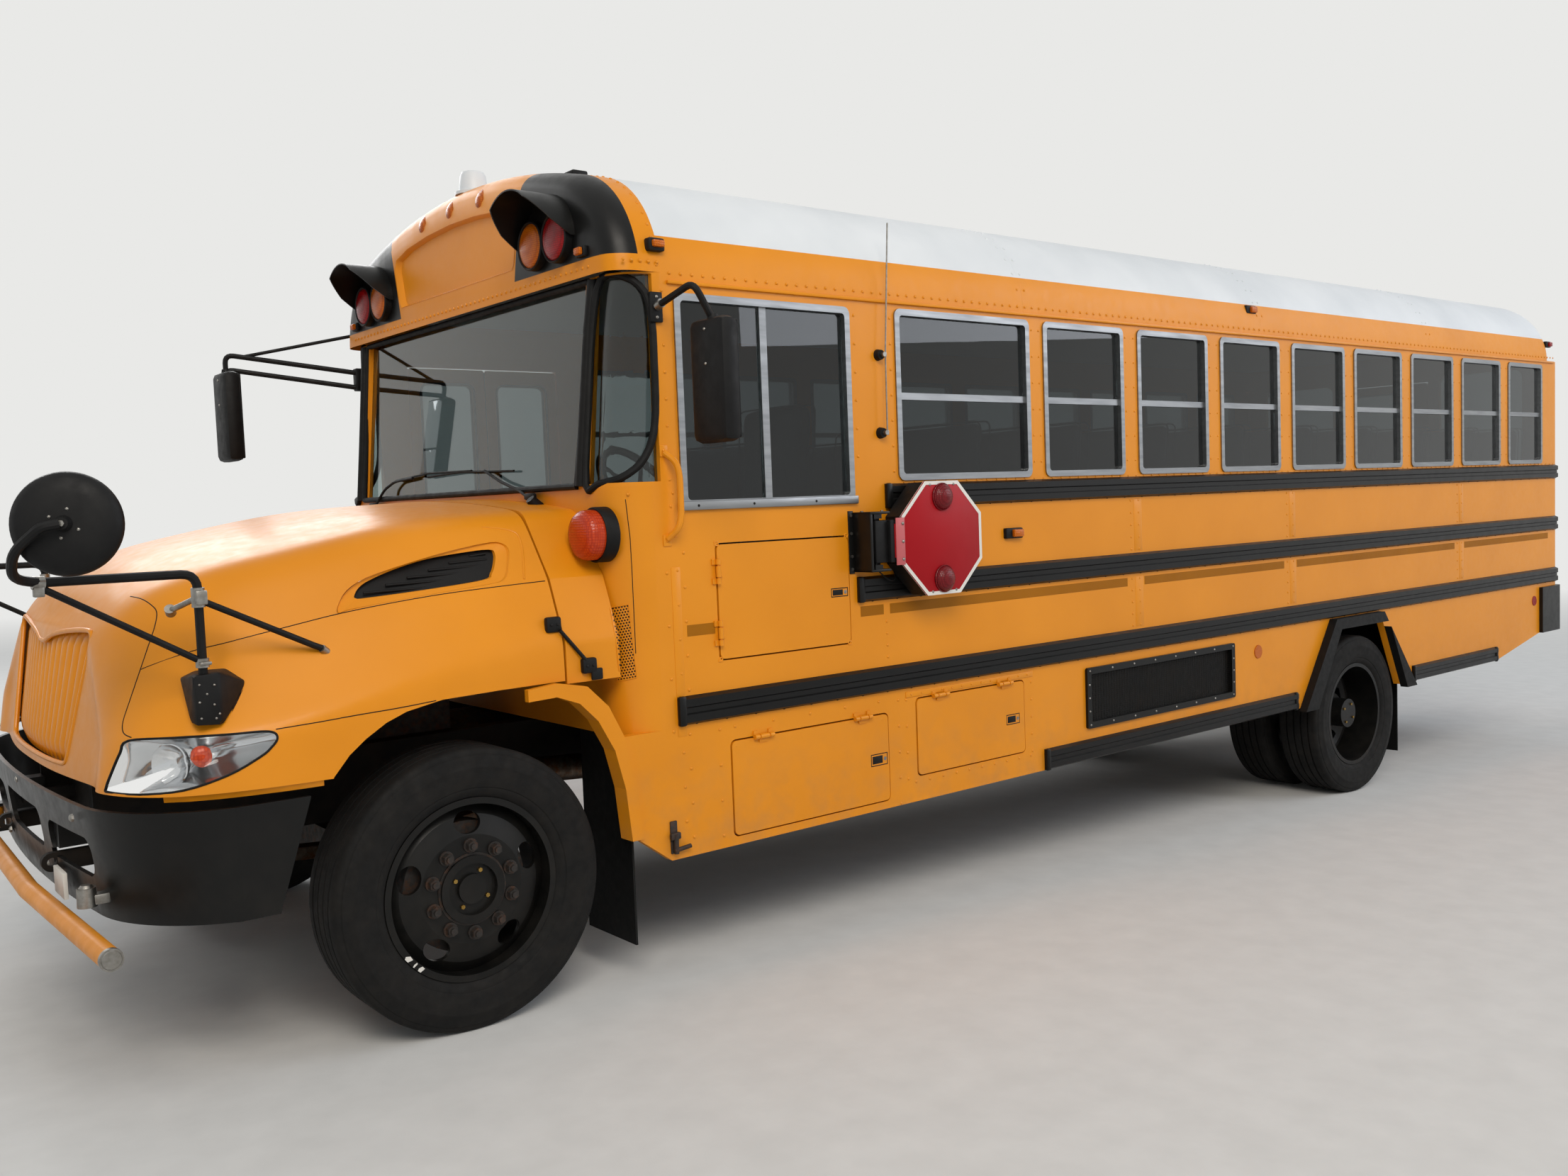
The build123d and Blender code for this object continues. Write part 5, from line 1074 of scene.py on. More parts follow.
sides = (("left", 1), ("right", -1))
front_places = [(front_axle, front_y, front_hub)]
rear_places = [(rear_axle, rear_y, rear_hub), (rear_axle, rear_y - dual_gap, rear_hub)]
for side, hand in sides:
    tyre_piece("treaded_tyre_front_" + side, f"front_{side}_wheel", "front_tyre_" + side, front_places, hand)
for side, hand in sides:
    tyre_piece("treaded_tyres_rear_" + side, f"rear_{side}_wheels", "rear_tyres_" + side, rear_places, hand)

# %% Nuts, studs and hubs
stud_circle = 0.142875


def hub_dressing(name, body, x, y, z, hand, cap_y, cap_radius):
    """Ten flanged nuts on their studs, four brass screws and a thin rusty edge round the hub."""
    nuts, screws = bmesh.new(), bmesh.new()
    for number in range(10):
        angle = math.tau * (number + 0.5) / 10
        at = (x + stud_circle * math.cos(angle), z + stud_circle * math.sin(angle))

        def spot(reach):
            """A point on the stud's axis, so far out of the disc."""
            return (at[0], hand * (y + reach), at[1])

        bar(nuts, spot(-0.001), spot(0.006), 0.0235, 20)
        bar(nuts, spot(0.006), spot(0.026), 0.019, 6, 0.018)
        bar(nuts, spot(0.026), spot(0.034), 0.0105, 14)
    ring_spin(nuts, [(0.11, y - 0.0005), (0.11, y + 0.003), (0.118, y + 0.003), (0.118, y - 0.0005)],
              (x, 0, z), (0, hand, 0), 48)
    finish(nuts, name + "_nuts", rusty_steel, body, smooth=30.0)
    for number in range(4):
        angle = math.tau * (number + 0.35) / 4
        at = (x + cap_radius * math.cos(angle), z + cap_radius * math.sin(angle))
        bar(screws, (at[0], hand * (cap_y - 0.001), at[1]), (at[0], hand * (cap_y + 0.007), at[1]), 0.0075, 6)
    finish(screws, name + "_screws", brass, body, smooth=30.0)


for side, hand in sides:
    hub_dressing("front_" + side, f"front_{side}_wheel", front_axle, 1.138, front_hub, hand, 1.13, 0.064)
for side, hand in sides:
    hub_dressing("rear_" + side, f"rear_{side}_wheels", rear_axle, 0.933, rear_hub, hand, 1.15, 0.058)

# %% Brake drums behind the front wheels
for side, hand in sides:
    bm = bmesh.new()
    drum = [(0.07, 0.0), (0.213, 0.0), (0.213, -0.07), (0.205, -0.07), (0.205, -0.01), (0.07, -0.01)]
    ring_spin(bm, drum, (front_axle, hand * 1.085, front_hub), (0, hand, 0), 48)
    finish(bm, "brake_drum_" + side, cast_iron, f"front_{side}_wheel")

# %% Painted highlight on the driver's front rim
rim_highlight = bmesh.new()
rim_radius, rim_face, highlight_depth = 0.29, 1.1512, 0.0006
# white patches on the rim's lip: a painted highlight where the lip catches the light
for angle, width in ((-0.64, 0.026), (-0.84, 0.019), (-0.75, 0.008)):
    corners = []
    for shift, reach in ((-0.5, 0.281), (-0.2, 0.297), (0.35, 0.2975), (0.5, 0.29), (0.1, 0.279)):
        turn = angle + shift * width / rim_radius
        corners.append((front_axle + reach * math.cos(turn), rim_face, front_hub + reach * math.sin(turn)))
    plate(rim_highlight, corners, (0, highlight_depth, 0))
finish(rim_highlight, "rim_highlight_patches", border_white, "front_left_wheel", "steel", smooth=0)

# %% [markdown]
# ## Rivets and other small repeated shapes
# Bus bodies are riveted sheet. Each rivet is a low dome; a row is a run of them at even
# spacing, all in one mesh. Their way out is the way that the sheet faces.

# %% Rows of rivets


def rivet(bm, spot, way, radius=0.0065, rise=0.0035):
    """One domed rivet head: a rim of eight, a ring of eight and a top."""
    place = Matrix.Translation(Vector(spot)) @ turn_to(way)
    turns = [step * math.pi / 4 for step in range(8)]
    rings = []
    for share, height in ((1.0, -0.0005), (0.85, 0.6 * rise), (0.45, rise)):
        ring = [(radius * share * math.cos(turn), radius * share * math.sin(turn), height) for turn in turns]
        rings.append([bm.verts.new(place @ Vector(corner)) for corner in ring])
    skin_rings(bm, rings)
    bm.faces.new(rings[-1])


def rivet_row(bm, start, end, spacing, way, radius=0.0065):
    """Rivets from one point to another, as near to the spacing as comes out even."""
    start, end = Vector(start), Vector(end)
    count = max(1, round((end - start).length / spacing))
    for number in range(count + 1):
        rivet(bm, start.lerp(end, number / count), way, radius)


# %% [markdown]
# ## Front roof cap
# The cap is one steel pressing. Its section is the roof's own, two corner arcs that meet a
# crown arc, and it shrinks along a quarter circle to round the front edge. Its corners are
# painted black behind the warning lamps, and a blank sign panel sits in the middle.

# %% Cap skin
gutter_z, crest_z, corner_radius = 2.437, 2.971, 0.43
cap_x, cap_rear_x, cap_foot = 2.63, 2.44, 2.462


def roof_arc(inset, steps=22):
    """Points over the roof from the kerb side to the driver's side, at an inset from the skin."""
    rise = crest_z - gutter_z
    reach = half_width - corner_radius
    drop = rise - corner_radius
    lift = (reach**2 - drop**2) / (2 * drop)
    turn = math.atan2(lift, reach)
    corner = corner_radius - inset
    crown = rise + lift - inset
    half = []
    for step in range(steps + 1):
        angle = turn * step / steps
        half.append((reach + corner * math.cos(angle), gutter_z + corner * math.sin(angle)))
    for step in range(1, steps + 1):
        angle = turn + (math.pi / 2 - turn) * step / steps
        half.append((crown * math.cos(angle), gutter_z - lift + crown * math.sin(angle)))
    return [(-y, z) for y, z in half[:-1]] + list(reversed(half))


# enamel sprayed round a mask: yellow, and black behind the warning lamps
cap_paint, tree, place = start_material("cap_paint")
about = {"Vector": place, "Center": (centre_shift, 0, ground_shift), "Axis": (0, 1, 0), "Angle": -rake}
level = add_node(tree, "VectorRotate", about, "Vector")
parts = add_node(tree, "SeparateXYZ", {"Vector": level}).node.outputs
wide = add_node(tree, "Math", {0: parts["Y"]}, operation="ABSOLUTE")
lean = add_node(tree, "Math", {0: parts["Z"], 1: 0.22}, operation="MULTIPLY")
edge_line = add_node(tree, "Math", {0: lean, 1: -0.052}, operation="ADD")
past_edge = add_node(tree, "Math", {0: wide, 1: edge_line}, operation="SUBTRACT")
black_share = 1.0
for value, middle in (
    (past_edge, 0.0), (parts["Z"], 2.52 + ground_shift), (parts["X"], 2.526 + centre_shift)
):
    ends = {"Value": value, "From Min": middle - paint_edge, "From Max": middle + paint_edge}
    beyond = add_node(tree, "MapRange", ends, clamp=True)
    black_share = add_node(tree, "Math", {0: black_share, 1: beyond}, operation="MULTIPLY")
yellow = tones(tree, place, panel_scale, 0.35, 0.65, body_yellow, body_shade)
skin = {0: black_share, 6: yellow, 7: colour("#0b0b0b")}
end_material(cap_paint, tree, {
    "Base Color": add_node(tree, "Mix", skin, 2, data_type="RGBA"),
    "Roughness": mottle(tree, place, gloss_scale, 0.3, 0.7, 0.32, 0.42),
    "Normal": grain(tree, place, peel_scale, 2.0, 0.0004, 0.25), "Specular IOR Level": 0.22,
})

bm = bmesh.new()
round_x, round_inset = 0.105, 0.085
stations = [(cap_rear_x, 0.0), (2.48, 0.0)]
for step in range(9):
    angle = math.pi / 2 * step / 8
    stations.append((cap_x - round_x + round_x * math.sin(angle), round_inset * (1 - math.cos(angle))))
chains = []
for x, inset in stations:
    chains.append([bm.verts.new((x, y, max(z, cap_foot))) for y, z in roof_arc(inset)])
for near, far in zip(chains, chains[1:]):
    for place_on in range(len(near) - 1):
        corners = [near[place_on], near[place_on + 1], far[place_on + 1], far[place_on]]
        if len({tuple(round(value, 5) for value in vert.co) for vert in corners}) > 2:
            bm.faces.new(corners)
front = chains[-1]
inner = []
for vert in front:
    inner.append(bm.verts.new((cap_x + 0.004, vert.co.y * 0.97, cap_foot + (vert.co.z - cap_foot) * 0.97)))
for place_on in range(len(front) - 1):
    bm.faces.new((front[place_on], front[place_on + 1], inner[place_on + 1], inner[place_on]))
bm.faces.new(inner)
bmesh.ops.remove_doubles(bm, verts=bm.verts, dist=0.00005)
cap_skin = finish(bm, "cap_skin", cap_paint, "bus_body", "yellow paint", smooth=32.0)
sign_line = [
    (0.51, 2.566), (0.527, 2.59), (0.56, 2.735), (0.54, 2.775), (0.42, 2.803), (0.22, 2.822), (0.0, 2.829),
]
sign_ring = [(y, z) for y, z in sign_line] + [(-y, z) for y, z in reversed(sign_line[:-1])]
sink = cutter([([(2.655, y, z) for y, z in sign_ring], Vector((0.04, 0, 0)))])
bake(cap_skin, [sink], smooth=32.0)
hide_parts("front_roof_cap")
print("cap skin faces:", len(cap_skin.data.polygons))

# %% Sign panel, its dished frame and the warning lamps
# retroreflective sheeting: a more golden yellow than the paint round it
sign_yellow = enamel("sign_yellow_sheeting", "#e29a0a", "#da9207", gloss=0.4, coat=0.0, shine=0.18)
bm = bmesh.new()
loops = []
sign_middle = 2.695
for share, x in ((1.005, 2.6355), (0.985, 2.63), (0.955, 2.612)):
    tall = share if share > 1 else 1 - (1 - share) * 1.9
    ring = [(x, y * share, sign_middle + (z - sign_middle) * tall) for y, z in sign_ring]
    loops.append([bm.verts.new(corner) for corner in ring])
skin_rings(bm, loops)
finish(bm, "sign_frame", yellow_enamel, outward=False)
bm = bmesh.new()
backing = [(2.6125, y * 0.956, sign_middle + (z - sign_middle) * 0.918) for y, z in sign_ring]
bm.faces.new([bm.verts.new(corner) for corner in backing])
finish(bm, "sign_backing", yellow_enamel, smooth=0, outward=False)
bm = bmesh.new()
panel = [
    (0.478, 2.59), (0.478, 2.782), (0.2, 2.8), (0.0, 2.804), (-0.2, 2.8), (-0.478, 2.782), (-0.478, 2.59)
]
plate(bm, [(2.613, y, z) for y, z in panel], (0.0015, 0, 0), 0.0006)
finish(bm, "blank_sign", sign_yellow, "bus_body", "yellow paint", smooth=30.0)

ambers, reds, bezels = bmesh.new(), bmesh.new(), bmesh.new()
for hand in (1, -1):
    for y, lenses in ((0.705, ambers), (0.879, reds)):
        centre = Vector((2.632, hand * y, 2.62))
        bar(bezels, centre, centre + Vector((0.022, 0, 0)), 0.0885, 40)
        ring_spin(bezels, [(0.08, 0.02), (0.0885, 0.02), (0.0885, 0.03), (0.084, 0.034), (0.08, 0.03)],
                  centre, (1, 0, 0), 40)
        dome(lenses, centre + Vector((0.024, 0, 0)), (1, 0, 0), 0.0815, 0.02, 5, 40)
        rear = Vector((rear_face, hand * y, 2.58))
        bar(bezels, rear, rear - Vector((0.022, 0, 0)), 0.0885, 40)
        dome(lenses, rear - Vector((0.02, 0, 0)), (-1, 0, 0), 0.0815, 0.018, 5, 40)
red_faces = finish(reds, "red_warning_lenses", red_lens)
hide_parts("warning_lamps")
finish(ambers, "amber_warning_lenses", amber_lens)
finish(bezels, "warning_bezels", moulded_black, "bus_body", "vent plastic")

# %% Beacon, roof box and small lamps of the cap
bm = bmesh.new()
ring_spin(
    bm,
    [(0.0, 0.0), (0.075, 0.0), (0.075, 0.012), (0.06, 0.018), (0.052, 0.08), (0.044, 0.094), (0.0, 0.098)],
    (2.519, 0.0, 2.958), (0, 0, 1), 40, closed=False
)
finish(bm, "strobe_beacon", white_enamel, smooth=30.0)
bm = bmesh.new()
block(bm, (2.318, 0.44, 2.936), (2.388, 0.575, 2.962), 0.008)
block(bm, (2.335, 0.47, 2.915), (2.371, 0.545, 2.94), 0.004)
finish(bm, "roof_box", moulded_black)
lights, shoes = bmesh.new(), bmesh.new()
for hand in (1, -1):
    block(shoes, (2.425, hand * 1.196, 2.532), (2.492, hand * 1.232, 2.578), 0.008)
    block(lights, (2.432, hand * 1.222, 2.545), (2.48, hand * 1.243, 2.57), 0.006)
    low_y, high_y = sorted((hand * 1.0, hand * 1.06))
    block(shoes, (2.625, low_y, 2.528), (2.65, high_y, 2.566), 0.006)
    block(lights, (2.645, low_y + 0.012, 2.534), (2.664, high_y - 0.008, 2.56), 0.006)
finish(shoes, "marker_shoes", moulded_black, "bus_body", "vent plastic")
finish(lights, "marker_faces", amber_lens)
ovals = bmesh.new()
for y, z in ((0.0, 2.893), (0.267, 2.884), (-0.267, 2.884)):
    dome(ovals, (2.606, y, z), (0.86, y * 0.2, 0.5), 0.048, 0.03, 5, 32)
finish(ovals, "cluster_lamps", amber_lens)

# %% Rivets of the cap and the pillars
bm = bmesh.new()
rivet_row(bm, (2.6345, -1.06, 2.492), (2.6345, 1.06, 2.492), 0.038, (1, 0, 0))
for hand in (1, -1):
    rivet_row(bm, (2.59, hand * 1.2165, 2.496), (2.455, hand * 1.2195, 2.496), 0.034, (0, hand, 0.05))
    rivet_row(bm, (2.441, hand * 1.219, 1.56), (2.441, hand * 1.219, 2.4), 0.094, (0, hand, 0))
    rivet_row(bm, (2.405, hand * 1.219, 2.463), (-5.15, hand * 1.219, 2.463), 0.048, (0, hand, 0))
    rivet_row(bm, (2.6, hand * 1.196, 1.7), (2.43, hand * 1.219, 1.7), 0.06, (0, hand, 0))
arc = roof_arc(0.0)
for (y, z), (next_y, next_z) in zip(arc[::2], arc[2::2]):
    length = math.hypot(next_y - y, next_z - z)
    for share in (0.0, 0.5) if length > 0.06 else (0.0,):
        at_y, at_z = y + (next_y - y) * share, z + (next_z - z) * share
        way = Vector((0, z - next_z, next_y - y))
        way = way if way.z > 0 or abs(way.z) < 1e-6 else -way
        rivet(bm, (2.456, at_y, at_z), way)
finish(bm, "cap_rivets", yellow_enamel, smooth=50.0)

# %% [markdown]
# ## Windscreen
# Thick black rubber holds a flat screen and two corner panes with rounded outer corners.
# The rubber is a bead that follows each pane's outline; two wipers are parked on the glass.

# %% Windscreen rubber
screen_points = [
    (2.669, 0.975, 1.736), (2.669, 0.5, 1.736), (2.669, 0.0, 1.736), (2.669, -0.5, 1.736),
    (2.669, -0.975, 1.736), (2.64, -0.99, 2.0), (2.612, -1.0, 2.28), (2.594, -1.005, 2.452),
    (2.588, -0.5, 2.456), (2.586, 0.0, 2.456), (2.588, 0.5, 2.456), (2.594, 1.005, 2.452), (2.612, 1.0, 2.28),
    (2.64, 0.99, 2.0)
]
corner_points = [
    (2.592, 1.075, 2.452), (2.545, 1.16, 2.446), (2.5, 1.2, 2.395), (2.482, 1.212, 2.3), (2.48, 1.213, 2.15),
    (2.482, 1.211, 1.98), (2.502, 1.208, 1.88), (2.545, 1.198, 1.805), (2.605, 1.165, 1.758),
    (2.655, 1.1, 1.74), (2.668, 1.035, 1.737), (2.642, 1.03, 2.0), (2.614, 1.035, 2.28)
]
tube(
    "screen_rubber", [[Vector(point) for point in screen_points] + [Vector(screen_points[0])]], 0.0125,
    seal_rubber, bend=0.012
)
tube(
    "corner_rubber", [through(run, closed=True, steps=3) + [Vector(run[0])] for run in both(corner_points)],
    0.0135, seal_rubber, bend=0.001, steps=1
)
bm = bmesh.new()
for hand in (1, -1):
    run = [(2.669, 1.005, 1.735), (2.642, 1.01, 2.0), (2.614, 1.017, 2.28), (2.595, 1.03, 2.452)]
    for near, far in zip(run, run[1:]):
        bar(
            bm, (near[0] + 0.002, hand * near[1], near[2]), (far[0] + 0.002, hand * far[1], far[2]), 0.021, 12
        )
finish(bm, "screen_dividers", seal_rubber)

# %% Wipers
tube("wiper_arms", [
    [(2.7, 0.706, 1.69), (2.678, 0.56, 1.735), (2.662, 0.378, 1.775), (2.655, 0.24, 1.822)],
    [(2.7, -0.78, 1.7), (2.672, -0.731, 1.777), (2.66, -0.64, 1.81), (2.656, -0.45, 1.82)],
], 0.006, moulded_black)
tube("wiper_blades", [
    [(2.652, 0.478, 1.812), (2.651, 0.0, 1.826), (2.652, -0.3, 1.818)],
    [(2.652, -0.64, 1.815), (2.651, -0.3, 1.834), (2.652, 0.12, 1.828)],
], 0.0045, seal_rubber)
bm = bmesh.new()
for y in (0.706, -0.78):
    bar(bm, (2.68, y, 1.665), (2.712, y, 1.7), 0.026, 20, 0.018)
    block(bm, (2.676, y - 0.075, 1.696), (2.7, y - 0.01, 1.722), 0.008)
finish(bm, "wiper_pivots", moulded_black)

# %% [markdown]
# ## Sheet joints, rivets and the rain gutter
# The side of a bus is flat steel sheet lapped over its neighbour and riveted to the frame
# posts. The laps show as a pair of rivet columns with a fine dark line between them, and a
# rolled gutter runs above the windows. A table gives each column, and loops lay the rivets.

# %% Rivets on the walls
rear_end_x = -5.15
wall_rivets = bmesh.new()
window_edges = [
    (1.33, 0.513), (0.419, -0.161), (-0.271, -0.856), (-0.969, -1.532), (-1.655, -2.221),
    (-2.33, -2.9), (-3.02, -3.58), (-3.702, -4.275), (-4.399, -4.953),
]
# (x, lowest z, highest z, spacing) of each column of rivets
rivet_columns = [
    (1.42, 1.017, 1.16, 0.045), (1.434, 1.38, 1.6, 0.11), (1.545, 1.82, 2.368, 0.11),
    (1.352, 1.76, 2.368, 0.11), (2.27, 0.45, 0.84, 0.13), (1.372, 0.412, 0.835, 0.105),
    (0.554, 0.505, 0.815, 0.075), (1.327, 0.505, 0.83, 0.105), (2.47, 0.86, 1.42, 0.18),
]
for x in (-0.232, -1.626, -3.672):
    for low, high in ((1.0, 1.225), (1.365, 1.598)):
        rivet_columns += [(x + 0.03, low, high, 0.056), (x - 0.03, low, high, 0.056)]
for hand in (1, -1):
    for x, low, high, spacing in rivet_columns:
        if hand > 0 or x < 1.3:
            rivet_row(
                wall_rivets, (x, hand * half_width, low), (x, hand * half_width, high), spacing, (0, hand, 0)
            )
    for (_, rear_x), (next_x, _) in zip(window_edges, window_edges[1:]):
        for x in (rear_x - 0.024, next_x + 0.024):
            rivet_row(
                wall_rivets, (x, hand * half_width, 1.79), (x, hand * half_width, 2.365), 0.115, (0, hand, 0),
                0.005
            )
    rivet_row(wall_rivets, (1.3, hand * half_width, 1.7165), (rear_end_x, hand * half_width, 1.7165), 0.062,
              (0, hand, 0), 0.0045)
for number in range(10):
    shift = 0.015 if number % 2 else -0.015
    rivet(wall_rivets, (2.411 + shift, half_width, 1.0 + 0.061 * number), (0, 1, 0))
    if number < 7:
        rivet(wall_rivets, (2.416 + shift, half_width, 0.47 + 0.062 * number), (0, 1, 0))
rivet_row(wall_rivets, (2.2, half_width, 0.842), (1.48, half_width, 0.842), 0.18, (0, 1, 0))
rivet_row(wall_rivets, (1.283, half_width, 0.486), (0.565, half_width, 0.486), 0.08, (0, 1, 0))
finish(wall_rivets, "wall_rivets", yellow_enamel, smooth=50.0)

# %% Rivets over the roof
bm = bmesh.new()
arc = roof_arc(0.0)
for joint_x in (0.54, -1.37, -3.28):
    for (y, z), (next_y, next_z) in zip(arc[::3], arc[3::3]):
        way = Vector((0, z - next_z, next_y - y))
        for x in (joint_x + 0.024, joint_x - 0.024):
            rivet(bm, (x, y, z), way, 0.0065)
finish(bm, "roof_rivets", roof_paint, smooth=50.0)

# %% Gutter, fuel-door hinge strip and sheet laps
bm = bmesh.new()
for hand in (1, -1):
    inner, outer = sorted((hand * 1.217, hand * 1.231))
    block(bm, (rear_end_x, inner, 2.425), (2.42, outer, 2.4375), 0.0035)
    for low, high in ((0.992, 1.232), (1.356, 1.604)):
        for x in (-0.232, -1.626, -3.672):
            block(bm, (x - 0.055, hand * 1.218, low), (x + 0.006, hand * 1.2199, high), 0.0006)
block(bm, (0.542, 1.2185, 0.8385), (1.329, 1.2222, 0.862), 0.0012)
block(bm, (2.414, 1.218, 0.838), (2.452, 1.2205, 1.438), 0.0008)
finish(bm, "sheet_laps", yellow_enamel)
bm = bmesh.new()
rivet_row(bm, (0.58, 1.2222, 0.85), (1.3, 1.2222, 0.85), 0.06, (0, 1, 0), 0.005)
finish(bm, "hinge_strip_rivets", yellow_enamel, smooth=50.0)

# %% [markdown]
# ## Reflective tape and round reflectors
# A band of yellow sheeting runs below the middle rail, cut at each lap and door. It has
# faded to brown, so it is a piece of its own with a thickness that catches a little edge.

# %% Tape and reflectors


def band(name, spans, hand, body):
    """A strip of tape on one wall, in several lengths."""
    bm = bmesh.new()
    for front_x, back_x in spans:
        block(bm, (back_x, hand * 1.2186, 1.19), (front_x, hand * 1.2201, 1.23), 0.0003)
    return finish(bm, name, tape_yellow, body, smooth=0)


wall_tape = [(1.4, -0.165), (-0.3, -1.56), (-1.69, -3.6), (-3.74, -5.06)]
band("driver_side_tape", [(2.394, 2.272), (1.56, 1.436)] + wall_tape, 1, "bus_body")
band("kerb_side_tape", wall_tape, -1, "bus_body")
band("electric_door_tape", [(2.244, 1.63)], 1, "electric_door")
bm, red_discs, dot = bmesh.new(), bmesh.new(), bmesh.new()
for hand in (1, -1):
    for lenses, x, radius in ((bm, -1.288, 0.037), (red_discs, -4.825, 0.035)):
        bar(lenses, (x, hand * 1.218, 0.762), (x, hand * 1.2235, 0.762), radius, 32, radius - 0.002)
finish(bm, "amber_reflectors", amber_lens)
finish(red_discs, "red_reflectors", red_lens)
bar(dot, (1.184, 1.2185, 0.767), (1.184, 1.22, 0.767), 0.033, 32)
finish(
    dot, "fuel_door_dot", enamel("bright_yellow_sticker", "#f9b420", "#f4ac18", coat=0.0), "fuel_door",
    "yellow paint"
)

# %% [markdown]
# ## Rail ends and rail bolts
# The black rub rails are rolled steel hats, bolted along their lower flange. A pressed cap
# closes each front end.

# %% Rail ends
rail_rows = [
    (1.613, 1.711, 1.408, rear_end_x), (1.247, 1.347, 1.575, rear_end_x), (0.876, 0.98, 2.45, rear_end_x)
]
ends, bolts = bmesh.new(), bmesh.new()
for hand in (1, -1):
    for low, high, front_x, back_x in rail_rows:
        front_x = front_x if hand > 0 or front_x < 1.5 else 1.43
        block(
            ends, (front_x - 0.03, hand * 1.2185, low - 0.002),
            (front_x + 0.004, hand * 1.2405, high + 0.002), 0.009
        )
        rivet_row(
            bolts, (front_x - 0.08, hand * 1.2205, low + 0.004), (back_x, hand * 1.2205, low + 0.004), 0.135,
            (0, hand, 0), 0.0062
        )
    for front_x, back_x in ((0.474, -1.662), (-3.013, -4.202)):
        for x in (front_x, back_x + 0.026):
            block(ends, (x - 0.026, hand * 1.2185, 0.402), (x + 0.003, hand * 1.2405, 0.502), 0.009)
finish(ends, "rail_ends", rail_enamel)
finish(bolts, "rail_bolts", rail_enamel, smooth=50.0)

# %% [markdown]
# ## Door latches
# Each hatch has a black paddle latch: a shallow tray, a folded paddle that a finger pulls,
# and a small key cylinder. One function makes it, since only its place and door differ.

# %% Latches


def paddle_latch(name, x, z, width, height, body):
    """A tray with a raised rim, the paddle in it, and a key cylinder."""
    bm = bmesh.new()
    face, rim = half_width - 0.0005, 0.0045
    low = Vector((x - width / 2, face, z - height / 2))
    high = Vector((x + width / 2, face + 0.004, z + height / 2))
    for corner_low, corner_high in (
        ((low.x, low.y, low.z), (high.x, high.y, low.z + rim)),
        ((low.x, low.y, high.z - rim), (high.x, high.y, high.z)),
        ((low.x, low.y, low.z), (low.x + rim, high.y, high.z)),
        ((high.x - rim, low.y, low.z), (high.x, high.y, high.z)),
    ):
        block(bm, corner_low, corner_high, 0.0012)
    block(bm, (low.x, face, low.z), (high.x, face + 0.0012, high.z))
    block(
        bm, (low.x + 0.3 * width, face, low.z + 0.18 * height),
        (high.x - 0.008, face + 0.004, high.z - 0.18 * height), 0.0015
    )
    finish(bm, name, moulded_black, body)
    bm = bmesh.new()
    bar(bm, (low.x + 0.16 * width, face, z), (low.x + 0.16 * width, face + 0.0042, z), 0.0085, 20, 0.0078)
    finish(bm, name + "_key", zinc_steel, body)


paddle_latch("electric_door_latch", 1.67, 1.295, 0.088, 0.036, "electric_door")
paddle_latch("battery_door_latch", 1.489, 0.61, 0.092, 0.05, "battery_door")
paddle_latch("fuel_door_latch", 0.681, 0.665, 0.088, 0.046, "fuel_door")

# %% Rivets and bead on the doors
bm = bmesh.new()
for x, z in ((2.2, 0.768), (1.47, 0.768), (2.2, 0.47), (2.02, 0.73), (2.02, 0.48)):
    rivet(bm, (x, half_width, z), (0, 1, 0))
finish(bm, "battery_door_rivets", yellow_enamel, "battery_door", smooth=50.0)
door_ring = [
    (2.238, 1.492), (2.238, 1.114), (2.214, 1.106), (1.66, 1.106), (1.636, 1.114), (1.636, 1.492),
    (1.66, 1.5), (2.214, 1.5)
]
beads("electric_door_bead", [[(x, half_width - 0.0006, z) for x, z in door_ring]], 0.003, yellow_enamel,
      "electric_door", closed=True)

# %% [markdown]
# ## Stop arm
# The stop arm is an eight-sided sheet with a white edge, on a black pan that keeps the wind
# off, with a flashing lamp at the top and the bottom. The pan and the sheet swing with
# the arm; the hinge box stays on the wall.

# %% Stop arm sheet, edge and pan
arm_x, arm_z, arm_face = 1.209, 1.486, 1.34
# dark red acrylic: the flashers of the stop arm, unlit
stop_lens = lens("dark_red_acrylic", "#8f1a22", "#5c0c12", cells=150.0, see_through=0.1)
# red paint faded to pink where the sun reaches the flange
flange_pink = enamel("faded_red_flange", "#c4686a", "#b5575a", gloss=0.45, coat=0.1)


def octagon(across, y):
    """The corners of the sign's outline at a width across flats."""
    reach = across / 2 / math.cos(math.pi / 8)
    turns = [math.pi / 8 + step * math.pi / 4 for step in range(8)]
    return [Vector((arm_x + reach * math.cos(turn), y, arm_z + reach * math.sin(turn))) for turn in turns]


def octagon_band(bm, stations):
    """A closed band through octagons, each given by its width across flats and its y."""
    rings = [[bm.verts.new(spot) for spot in octagon(across, y)] for across, y in stations]
    skin_rings(bm, rings + rings[:1])


bm = bmesh.new()
plate(bm, octagon(0.455, arm_face - 0.008), (0, 0.008, 0), 0.001)
block(bm, (1.42, 1.333, 1.42), (1.476, 1.3395, 1.552), 0.001)
sheet = finish(bm, "stop_arm_sheet", stop_red, "stop_arm", smooth=25.0)
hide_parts("stop_arm")
bm = bmesh.new()
for y, out in ((arm_face, 1), (arm_face - 0.008, -1)):
    octagon_band(bm, [(0.456, y - out * 0.0004), (0.456, y + out * 0.0006), (0.427, y + out * 0.0006),
                      (0.427, y - out * 0.0004)])
finish(bm, "stop_arm_edge", border_white, "stop_arm", smooth=0)
bm = bmesh.new()
octagon_band(bm, [(0.45, 1.246), (0.45, 1.3318), (0.443, 1.3318), (0.443, 1.246)])
block(bm, (1.478, 1.287, 1.402), (1.559, 1.319, 1.568), 0.006)
block(bm, (1.47, 1.3, 1.402), (1.496, 1.337, 1.568), 0.004)
